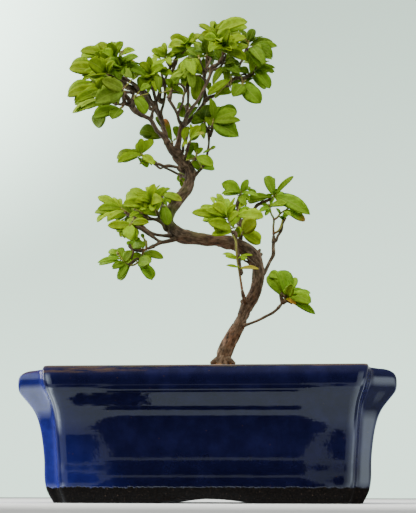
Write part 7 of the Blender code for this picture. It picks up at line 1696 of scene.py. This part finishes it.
def filling_leaves(bases, tips, widths, turns, layer, widest, random):
    """One more leaf between two neighbours of a shoot, a little behind or before them.

    Seen from the front the tips are put in order of their angle around the shoot's end; a
    leaf is set where the angle to the next is within the limits, on their mean direction.
    """
    centre = bases.mean(axis=0)
    away = tips - centre
    angle = np.arctan2(away[:, 2], away[:, 0])
    order = np.argsort(angle)
    following = np.roll(order, -1)
    gap = np.degrees(np.mod(angle[following] - angle[order], 2.0 * math.pi))
    apart = np.linalg.norm(bases[following] - bases[order], axis=1)
    chosen = (gap > FILLED_GAPS[0]) & (gap < widest) & (apart < FILLED_REACH)
    one, two = order[chosen], following[chosen]
    count = len(one)
    base = 0.5 * (bases[one] + bases[two])
    way = unit(unit(tips[one] - bases[one]) + unit(tips[two] - bases[two]))
    lengths = np.linalg.norm(tips - bases, axis=1)
    length = 0.5 * (lengths[one] + lengths[two])
    sway = random.uniform(-FILLED_SWAY, FILLED_SWAY, (count, 3))
    tip = base + unit(way + sway) * (length * random.uniform(layer[0], layer[1], count))[:, None]
    tip[:, 1] += random.uniform(layer[2], layer[3], count)
    width = 0.5 * (widths[one] + widths[two]) * random.uniform(*FILLED_WIDTHS, count)
    turn = 0.5 * (turns[one] + turns[two]) + random.uniform(-FILLED_TURN, FILLED_TURN, count)
    return base, tip, width, turn


def more_leaves(number):
    """The single leaves that have their nearest stem on this shoot, and their stalks' starts."""
    extra = np.array(MORE_LEAVES)
    steps = [np.concatenate([sheet_steps(stem) for stem in stems])
             for name, _, _, stems, _ in SHOOTS if not name.startswith("back")]
    owner = np.repeat(np.arange(len(steps)), [len(shoot) for shoot in steps])
    steps = np.concatenate(steps)
    row, _ = nearest(extra, steps)
    mine = owner[row] == number
    extra, start = extra[mine], steps[row[mine]]
    bases = on_sheet(extra[:, 0], extra[:, 1], start[:, 2])
    tips = on_sheet(extra[:, 2], extra[:, 3], start[:, 2] + MORE_LEAF_BACK)
    return (bases, tips, extra[:, 4], np.full(len(extra), MORE_LEAF_TURN)), on_sheet(*start.T)


def stem_knots(stem):
    """A young stem's knots; it thins out towards its end and runs on a little past it."""
    points = on_sheet(*np.array(stem, float).T)
    end = points[-1] + unit(points[-1] - points[-2]) * STEM_OVERRUN
    radius = STEM_RADIUS * (1.0 - STEM_THINNING * np.linspace(0.0, 1.0, len(points) + 1))
    return np.column_stack([np.concatenate([points, end[None]]), radius])


def hairs_shape(knots, random):
    """Short stiff hairs on a young stem: thin four-faced spikes that lean to its tip."""
    path, _ = smooth_path(knots, HAIR_SPACING)
    tangent = unit(np.gradient(path[:, :3], axis=0))
    away = unit(np.cross(tangent, random.normal(size=tangent.shape)))
    root = path[:, :3] + away * path[:, 3:4] * HAIR_DEPTH
    length = random.uniform(*HAIR_LENGTHS, (len(root), 1))
    tip = root + unit(away + HAIR_LEAN * tangent) * length
    other = np.cross(tangent, away)
    foot = [root + ahead * tangent + beside * other for ahead, beside in HAIR_FOOT]
    points = np.stack([*foot, tip], axis=1).reshape(-1, 3)
    faces = (HAIR_FACES[None] + 4 * np.arange(len(root))[:, None, None]).reshape(-1, 3)
    return points, faces


def shoot_shape(name, tone, stems, leaves, settings, number):
    """One leafy shoot: its stems with a bud at the end, their hairs, and its blades."""
    random = np.random.default_rng(SEED + number)
    green, base_color = np.array(settings.stem), np.array(settings.stem_base)
    shapes = []
    paths = []
    single, starts = more_leaves(number)
    for start, base in zip(starts, single[0]):
        stalk = np.column_stack([start + (base - start) * STALK_KNOTS, STALK_RADII])
        shapes.append(limb_shape(stalk, STALK_SPACING, STALK_SIDES, slot=2))
    for stem in stems:
        knots = stem_knots(stem)
        paths.append(on_sheet(*np.array(stem, float).T))
        shapes.append(limb_shape(knots, STEM_SPACING, STEM_SIDES, slot=2, flare=STEM_FLARE))
        bud = knots[-1, :3] + unit(knots[-1, :3] - knots[-2, :3]) * BUD_KNOTS
        bud = np.column_stack([bud, BUD_RADII])
        shapes.append(limb_shape(bud, BUD_SPACING, STEM_SIDES, slot=2))
    for shape in shapes:
        mix = smoothstep(shape["values"]["reach"][:, None], 0.0, RIPE_SHARE)
        shape["values"] = {"blade": np.zeros((len(mix), 3)),
                           "shade": base_color * (1 - mix) + green * mix}
    for stem in stems:
        points, faces = hairs_shape(stem_knots(stem), random)
        shade = HAIR_TONE * green + (1.0 - HAIR_TONE) * base_color
        values = {"blade": np.zeros((len(points), 3)), "shade": np.tile(shade, (len(points), 1))}
        shapes.append({"points": points, "faces": [(faces, 2)], "values": values})
    rows = np.array(leaves, float)
    tone_color = np.array({"spring": settings.spring, "leaf": settings.grown, "pale": settings.pale,
                           "deep": settings.deep}[tone])
    bases = []
    for stem, place in zip(rows[:, 0].astype(int), rows[:, 1]):
        along = path_places(paths[stem])
        if stem == 0:
            place = max(place, min(FIRST_LEAF, FIRST_LEAF / along[-1]))
        bases.append([np.interp(place * along[-1], along, axis) for axis in paths[stem].T])
    bases = np.array(bases)
    tips = on_sheet(rows[:, 2], rows[:, 3], rows[:, 4])
    widths, turns = rows[:, 5], rows[:, 6]
    given = (bases, tips, widths, turns)
    more = [single]
    if len(rows) >= FILLED_FROM:
        crown = "crown" in name
        widest = FILLED_GAPS[1] if crown else FILLED_GAP_LOW
        more += [filling_leaves(*given, layer, widest, random)
                 for layer in FILLED_LAYERS if crown or not layer[4]]
    bases, tips, widths, turns = [np.concatenate(group) for group in zip(given, *more)]
    count = len(bases)
    light = random.uniform(*LEAF_LIGHT, (count, 1))
    warm = random.uniform(*LEAF_WARMTH, (count, 1)) * WARM_TINT
    # Painted light and shade: low leaves and the low right branches are made lighter, and the crown
    # darker, most of all on the left.
    height = smoothstep(tips[:, 2:3], *PAINTED_LIGHT_HEIGHTS)
    light = light * (LOW_LEAF_PAINTED_LIGHT + (CROWN_PAINTED_SHADE - LOW_LEAF_PAINTED_LIGHT) * height)
    left, right = smoothstep(-tips[:, 0:1], *LEFT_SHADE_PLACES), smoothstep(tips[:, 0:1], *RIGHT_LIGHT_PLACES)
    light = light * (1.0 - LEFT_CROWN_PAINTED_SHADE * height * left)
    light = light * (1.0 + RIGHT_PAINTED_LIGHT * (1.0 - height) * right)
    start = tone_color * light * (1.0 + warm)
    end = start * TIP_TINT
    low, high = np.full(count, 0.0), np.full(count, 1.0)
    for shoot, x, z, code, first, last in TURNED_LEAVES:
        if shoot == name:
            chosen = np.argmin(np.hypot(rows[:, 2] - x, rows[:, 3] - z))
            end[chosen], low[chosen], high[chosen] = srgb(code)[:3], first, last
    shapes.append(blades_shape(bases, tips, widths, turns, (start, end, low, high),
                               settings.thickness / MM, random))
    return join_shapes(shapes)


# Faces of a leaf: roughness, specular level, how much paler, and whether its veins stand out.
LEAF_FACES = [("azalea_leaf_upper_face", 0.5, 0.14, 0.0, -1.0),
              ("azalea_leaf_under_face", 0.7, 0.12, 0.3, 1.0)]
# Light that comes through a blade: its tint and its share.
THROUGH_TINT = (1.0, 1.15, 0.2)
THROUGH_SHARE = 0.28


def leaf_materials(settings):
    """Azalea leaves, 0.3 mm thick: a waxy, softly shining upper face with a pale sunken
    midrib and faint side veins, a duller and paler under face with raised veins, and light
    that glows through; and green young stems that ripen brown from the base."""
    faces = []
    for name, rough, shine, fade, rise in LEAF_FACES:
        material, tree = new_material(name)
        place = add_node(tree, "TexCoord").outputs["Object"]
        shade = add_node(tree, "Attribute", attribute_name="shade").outputs["Vector"]
        blade = add_node(tree, "Attribute", attribute_name="blade").outputs["Vector"]
        across, place_along, chance = add_node(tree, "SeparateXYZ", blade).outputs
        side = add_node(tree, "Math", across, operation="ABSOLUTE")
        # The midrib takes a twelfth of the blade's width, and thins out to the tip.
        rib_edge = add_node(tree, "MapRange", place_along, 0.0, 1.0, 0.17, 0.05)
        rib = add_node(tree, "MapRange", side, 0.02, rib_edge, 1.0, 0.0)
        # Six side veins leave the midrib on each side and run forward to the edge.
        along = add_node(tree, "Math", side, -0.26, place_along, operation="MULTIPLY_ADD")
        count = add_node(tree, "Math", along, 7.0, chance, operation="MULTIPLY_ADD")
        wave = add_node(tree, "Math", count, 0.5, operation="PINGPONG")
        vein = add_node(tree, "MapRange", wave, 0.0, 0.12, 0.45, 0.0)
        lines = add_node(tree, "Math", rib, vein, operation="MAXIMUM")
        # Cell clouds 2.5 mm across and a finer grain of 0.4 mm.
        clouds = add_node(tree, "TexNoise", place, Scale=400.0, Detail=4.0, Roughness=0.65)
        light = add_node(tree, "MapRange", clouds, 0.3, 0.7, 0.72, 1.25)
        mottled = add_node(tree, "VectorMath", shade, Scale=light, operation="SCALE")
        paler = add_node(tree, "Mix", data_type="RGBA", Factor=fade, A=mottled,
                         B=(*settings.pale, 1.0))
        share = add_node(tree, "Math", lines, 0.4, operation="MULTIPLY")
        color = add_node(tree, "Mix", data_type="RGBA", Factor=share, A=paler,
                         B=(*settings.vein, 1.0))
        relief = add_node(tree, "Math", lines, rise, clouds, operation="MULTIPLY_ADD")
        bump = add_node(tree, "Bump", Strength=0.7, Distance=0.1 * MM, Height=relief)
        shader = add_node(tree, "BsdfPrincipled", color, Roughness=rough, Specular_IOR_Level=shine,
                          Normal=bump)
        glow = add_node(tree, "VectorMath", color, THROUGH_TINT, operation="MULTIPLY")
        through = add_node(tree, "BsdfTranslucent", glow)
        mixed = add_node(tree, "MixShader", THROUGH_SHARE, shader, through)
        add_node(tree, "OutputMaterial", mixed)
        faces.append(material)
    material, tree = new_material("azalea_young_stem")
    place = add_node(tree, "TexCoord").outputs["Object"]
    shade = add_node(tree, "Attribute", attribute_name="shade").outputs["Vector"]
    # Fine blotches 1 mm across on the hairy skin.
    blotches = add_node(tree, "TexNoise", place, Scale=1000.0, Detail=3.0)
    light = add_node(tree, "MapRange", blotches, 0.3, 0.7, 0.65, 1.3)
    color = add_node(tree, "VectorMath", shade, Scale=light, operation="SCALE")
    bump = add_node(tree, "Bump", Strength=0.5, Distance=0.08 * MM, Height=blotches)
    shader = add_node(tree, "BsdfPrincipled", color, Roughness=0.55, Normal=bump)
    add_node(tree, "OutputMaterial", shader)
    return faces + [material]


class BONSAI_OT_shoots(bpy.types.Operator):
    """Set the leafy shoots on their twigs, one piece for each shoot."""

    bl_idname = "bonsai.add_shoots"
    bl_label = "Leafy shoots"

    def execute(self, context):
        settings = context.scene.bonsai_leaves
        materials = leaf_materials(settings)
        for number, (name, tone, _, stems, leaves) in enumerate(SHOOTS):
            shape = shoot_shape(name, tone, stems, leaves, settings, number)
            piece = make_piece(name + "_shoot", shape, materials)
            stand_for(piece, "leaf_" + tone, name)
        return {"FINISHED"}


# Stage, camera and lamps. The slab in millimetres: its front face, rounded edge, back, half
# length and thickness.
STAGE_FRONT = -104.0
STAGE_ROUND = 3.0
STAGE_BACK = 1600.0
STAGE_SIDE = 1600.0
STAGE_DROP = 60.0
ROUND_POINTS = 9
CLIP_START = 0.01
CLIP_END = 20.0


def floor_shape():
    """A pale slab: its profile of front face, rounded edge and top is drawn along x."""
    angle = np.linspace(0.0, 0.5 * math.pi, ROUND_POINTS)
    rounded = np.column_stack([STAGE_FRONT + STAGE_ROUND * (1.0 - np.cos(angle)),
                               -STAGE_ROUND + STAGE_ROUND * np.sin(angle)])
    profile = np.concatenate([[[STAGE_FRONT, -STAGE_DROP]], rounded,
                              [[STAGE_BACK, 0.0], [STAGE_BACK, -STAGE_DROP]]])
    ends = np.array([STAGE_SIDE, -STAGE_SIDE])
    rows = len(profile)
    points = np.stack([np.broadcast_to(ends[None, :], (rows, 2)),
                       np.broadcast_to(profile[:, :1], (rows, 2)),
                       np.broadcast_to(profile[:, 1:], (rows, 2))], axis=-1).reshape(-1, 3)
    return {"points": points, "faces": [(grid_quads(rows, 2)[:, ::-1], 0)], "values": {}}


def floor_material(settings):
    """Matt painted board: an even pale tone with a faint roller texture."""
    material, tree = new_material("matt_painted_board")
    place = add_node(tree, "TexCoord").outputs["Object"]
    # Roller stipple about 2 mm across.
    stipple = add_node(tree, "TexNoise", place, Scale=500.0, Detail=2.0)
    tone = add_node(tree, "MapRange", stipple, 0.0, 1.0, 0.97, 1.03)
    color = add_node(tree, "VectorMath", settings.floor, Scale=tone, operation="SCALE")
    bump = add_node(tree, "Bump", Strength=0.1, Distance=0.05 * MM, Height=stipple)
    shader = add_node(tree, "BsdfPrincipled", color, Roughness=0.8, Specular_IOR_Level=0.2,
                      Normal=bump)
    add_node(tree, "OutputMaterial", shader)
    return material


def add_camera():
    """The camera at the photograph's place: its axes follow from yaw, pitch and roll."""
    yaw, pitch, roll = [math.radians(value) for value in (CAMERA_YAW, CAMERA_PITCH, CAMERA_ROLL)]
    right = Vector((math.cos(yaw), -math.sin(yaw), 0.0))
    level = math.cos(pitch)
    ahead = Vector((math.sin(yaw) * level, math.cos(yaw) * level, math.sin(pitch)))
    up = right.cross(ahead)
    across = right * math.cos(roll) + up * math.sin(roll)
    upright = up * math.cos(roll) - right * math.sin(roll)
    data = bpy.data.cameras.new("photo_camera")
    data.sensor_width = SENSOR_MM
    data.lens = FOCAL_PIXELS / FRAME_HEIGHT * SENSOR_MM
    data.clip_start = CLIP_START
    data.clip_end = CLIP_END
    camera = bpy.data.objects.new("photo_camera", data)
    turn = Matrix((across, upright, -ahead)).transposed().to_4x4()
    place = ((EYE_X + SHEET_X) * MM, EYE_Y * MM, EYE_Z * MM)
    camera.matrix_world = Matrix.Translation(place) @ turn
    bpy.context.scene.collection.objects.link(camera)
    bpy.context.scene.camera = camera


# Lamps: name, place and aim in metres, width, height, power in watts, colour, and whether
# shiny things mirror them.
LAMPS = [
    ("top_left_softbox", (-0.55, -0.45, 1.0), (0.0, 0.0, 0.15), 0.8, 0.8, 17.0, "#fffaf2", False),
    ("overhead_softbox", (0.15, 0.45, 1.3), (0.0, 0.0, 0.1), 1.2, 1.0, 16.0, "#ffffff", False),
    ("left_softbox", (-1.1, 0.1, 0.45), (0.0, 0.0, 0.1), 0.7, 0.9, 13.0, "#f4f8ff", True),
    ("right_fill", (1.1, -0.5, 0.5), (0.0, 0.0, 0.15), 0.8, 0.8, 13.0, "#f4f8ff", False),
]

# What the glaze mirrors of the room in front, by the X of the direction: pale walls beside
# the pot, dimmer in front of it.
ROOM_ACROSS = [(-1.0, 0.06), (-0.55, 0.06), (-0.42, 0.06), (-0.3, 0.4), (-0.225, 0.26),
               (-0.2, 0.2), (0.05, 0.2), (0.09, 0.33), (0.22, 1.35), (0.5, 1.35), (1.0, 0.6)]
ROOM_TINT = (0.78, 0.91, 1.0)
ROOM_LIGHT = 3.0
ROOM_DARK = 0.05
# Ragged edges of the dark things: how fine they are across and upwards, how far they go, and
# how soft the edges are at the sides and above.
RAGGED_SCALE = (140.0, 0.0, 36.0)
RAGGED_PUSH = (0.02, 0.0, 0.09)
SOFT_SIDE = 0.003
SOFT_TOP = 0.02

# Dark things in front, by X and Z of the direction: middle, half sizes, and how much the
# half width falls with the distance from the middle height.
DARK_THINGS = [
    (-0.08, 0.48, 0.17, 0.52, 0.0),
    (-0.08, -0.05, 0.088, 0.05, 0.0),
    (-0.078, -0.3925, 0.107, 0.2675, 0.09),
    (-0.083, -0.86, 0.088, 0.07, 0.0),
    (-0.194, -0.175, 0.02, 0.125, 0.03),
    (0.038, -0.23, 0.012, 0.14, 0.05),
    (-0.168, -0.97, 0.043, 0.06, 0.3),
]

# Soft light by the height of the direction, from 0 straight down to 1 straight up.
SOFT_LIGHT = [
    (0.0, (0.02, 0.02, 0.022, 1.0)), (0.5, (0.04, 0.042, 0.045, 1.0)),
    (0.58, (0.22, 0.23, 0.23, 1.0)), (0.8, (0.75, 0.76, 0.75, 1.0)), (1.0, (0.9, 0.9, 0.9, 1.0)),
]
# The glow on the backdrop: its direction, how far it reaches and how much lighter it is.
GLOW_WAY = (-0.36, 0.80, 0.47)
GLOW_REACH = 0.345
GLOW_LIGHT = 4.9


def add_lamp(name, place, aim, width, height, power, code, mirrored, strength):
    """A rectangular area lamp that is turned to its aim and unseen by the camera."""
    data = bpy.data.lights.new(name, "AREA")
    data.shape = "RECTANGLE"
    data.size = width
    data.size_y = height
    data.energy = power * strength
    data.color = srgb(code)[:3]
    lamp = bpy.data.objects.new(name, data)
    lamp.location = place
    lamp.rotation_euler = (Vector(aim) - Vector(place)).to_track_quat("-Z", "Y").to_euler()
    lamp.visible_glossy = mirrored
    lamp.visible_camera = False
    bpy.context.scene.collection.objects.link(lamp)


def mirrored_room(tree, way, pale):
    """What mirrored rays meet: a pale room with dark things in front of the pot.

    A dark thing is where half width - slant |z| - |x| and half height - |z| are positive,
    x and z being the distances from its middle, pushed about a little by noise.
    """
    across, deep, upward = add_node(tree, "SeparateXYZ", way).outputs
    place = add_node(tree, "MapRange", across, -1.0, 1.0)
    wall = ramp_stops(add_node(tree, "ValToRGB", place), [
        (0.5 + 0.5 * x, (*(tint * light for tint in ROOM_TINT), 1.0)) for x, light in ROOM_ACROSS])
    stretched = add_node(tree, "VectorMath", way, RAGGED_SCALE, operation="MULTIPLY")
    ragged = add_node(tree, "TexNoise", stretched, Scale=1.0, Detail=3.0, Roughness=0.6)
    centred = add_node(tree, "VectorMath", ragged.outputs["Color"], (0.5, 0.5, 0.5),
                       operation="SUBTRACT")
    push = add_node(tree, "VectorMath", centred, RAGGED_PUSH, way, operation="MULTIPLY_ADD")
    dark = None
    for x, z, half_x, half_z, slant in DARK_THINGS:
        off = add_node(tree, "VectorMath", push, (x, 0.0, z), operation="SUBTRACT")
        away = add_node(tree, "VectorMath", off, operation="ABSOLUTE")
        away_x, _, away_z = add_node(tree, "SeparateXYZ", away).outputs
        reach = add_node(tree, "Math", away_z, -slant, half_x, operation="MULTIPLY_ADD")
        inside = add_node(tree, "Math", reach, away_x, operation="SUBTRACT")
        wide = add_node(tree, "MapRange", inside, 0.0, SOFT_SIDE)
        high = add_node(tree, "MapRange", away_z, half_z, half_z - SOFT_TOP)
        thing = add_node(tree, "Math", wide, high, operation="MULTIPLY")
        if dark:
            thing = add_node(tree, "Math", dark, thing, operation="MAXIMUM")
        dark = thing
    dim = add_node(tree, "MapRange", dark, 0.0, 1.0, ROOM_LIGHT, ROOM_DARK)
    # The room is lighter high on the left and low on the right, and lightest near the ground.
    left = add_node(tree, "MapRange", across, -0.45, -0.25, 17.0, 1.0)
    right = add_node(tree, "MapRange", across, 0.1, 0.3, 1.0, 0.06)
    sides = add_node(tree, "Math", left, right, operation="MULTIPLY")
    high = add_node(tree, "MapRange", upward, -0.08, 0.12, 1.0, sides)
    ground = add_node(tree, "Math", sides, 1.95, operation="MULTIPLY")
    below = add_node(tree, "MapRange", upward, -0.5, -0.27, ground, 1.0)
    for factor in (high, below):
        dim = add_node(tree, "Math", dim, factor, operation="MULTIPLY")
    front = add_node(tree, "VectorMath", wall, Scale=dim, operation="SCALE")
    # Beside, behind and above, the room is as pale as the backdrop.
    beside = add_node(tree, "MapRange", deep, -0.75, -0.3)
    level = add_node(tree, "MapRange", upward, -0.35, 0.0)
    share = add_node(tree, "Math", beside, level, operation="MULTIPLY")
    above = add_node(tree, "MapRange", upward, 0.3, 0.75, 1.0, 0.3)
    side = add_node(tree, "VectorMath", pale, Scale=above, operation="SCALE")
    return add_node(tree, "Mix", data_type="RGBA", Factor=share, A=front, B=side)


def add_world(settings):
    """Pale backdrop for the camera, soft light from above, and a room for mirrored rays."""
    world = bpy.data.worlds.new("studio")
    bpy.context.scene.world = world
    world.use_nodes = True
    tree = world.node_tree
    tree.nodes.clear()
    way = add_node(tree, "TexCoord").outputs["Generated"]
    _, deep, upward = add_node(tree, "SeparateXYZ", way).outputs
    rise = add_node(tree, "MapRange", upward, -1.0, 1.0)
    soft = ramp_stops(add_node(tree, "ValToRGB", rise), SOFT_LIGHT)
    back = add_node(tree, "MapRange", deep, -0.1, 0.25)
    lit = add_node(tree, "Mix", data_type="RGBA", Factor=back, A=soft, B=(*settings.backdrop, 1.0))
    room = mirrored_room(tree, way, settings.backdrop)
    rays = add_node(tree, "LightPath").outputs
    both = add_node(tree, "Mix", data_type="RGBA", Factor=rays["Is Glossy Ray"], A=lit, B=room)
    # The backdrop darkens upwards, with a glow high on its left.
    apart = add_node(tree, "VectorMath", way, GLOW_WAY, operation="DISTANCE")
    glow = add_node(tree, "MapRange", apart, 0.0, GLOW_REACH,
                    GLOW_LIGHT * settings.backdrop_light, settings.backdrop_light,
                    interpolation_type="SMOOTHSTEP")
    fall = add_node(tree, "MapRange", upward, 0.1, 0.43, 1.24, 0.81)
    both_lights = add_node(tree, "Math", glow, fall, operation="MULTIPLY")
    shown = add_node(tree, "VectorMath", settings.backdrop_shown, Scale=both_lights,
                     operation="SCALE")
    final = add_node(tree, "Mix", data_type="RGBA", Factor=rays["Is Camera Ray"], A=both, B=shown)
    add_node(tree, "OutputWorld", add_node(tree, "Background", final))


class BONSAI_OT_stage(bpy.types.Operator):
    """Set up the pale floor, the soft lamps, the backdrop and the camera."""

    bl_idname = "bonsai.add_stage"
    bl_label = "Stage and camera"

    def execute(self, context):
        settings = context.scene.bonsai_stage
        floor = make_piece("studio_floor", floor_shape(), [floor_material(settings)])
        floor.visible_glossy = False
        for lamp in LAMPS:
            add_lamp(*lamp, settings.strength)
        add_world(settings)
        add_camera()
        return {"FINISHED"}


class BONSAI_PT_panel(bpy.types.Panel):
    """Lists the settings and the pieces of the bonsai."""

    bl_idname = "BONSAI_PT_panel"
    bl_label = "Azalea bonsai"
    bl_space_type = "VIEW_3D"
    bl_region_type = "UI"
    bl_category = "Bonsai"

    def draw(self, context):
        for group, operator in STEPS:
            box = self.layout.box()
            settings = getattr(context.scene, group)
            for name in settings.__annotations__:
                box.prop(settings, name)
            box.operator(operator)


STEPS = [
    ("bonsai_stage", "bonsai.add_stage"),
    ("bonsai_pot", "bonsai.add_pot"),
    ("bonsai_soil", "bonsai.add_soil"),
    ("bonsai_wood", "bonsai.add_wood"),
    ("bonsai_leaves", "bonsai.add_shoots"),
]
GROUPS = {
    "bonsai_pot": PotSettings,
    "bonsai_soil": SoilSettings,
    "bonsai_wood": WoodSettings,
    "bonsai_leaves": LeafSettings,
    "bonsai_stage": StageSettings,
}
CLASSES = [*GROUPS.values(), BONSAI_OT_stage, BONSAI_OT_pot, BONSAI_OT_soil, BONSAI_OT_wood,
           BONSAI_OT_shoots, BONSAI_PT_panel]


def register():
    for item in CLASSES:
        bpy.utils.register_class(item)
    for name, group in GROUPS.items():
        setattr(bpy.types.Scene, name, PointerProperty(type=group))


def unregister():
    for name in GROUPS:
        delattr(bpy.types.Scene, name)
    for item in reversed(CLASSES):
        bpy.utils.unregister_class(item)


def main():
    """Builds the whole scene."""
    register()
    bpy.ops.bonsai.add_stage()
    bpy.ops.bonsai.add_pot()
    bpy.ops.bonsai.add_soil()
    bpy.ops.bonsai.add_wood()
    bpy.ops.bonsai.add_shoots()


if __name__ == "__main__":
    main()
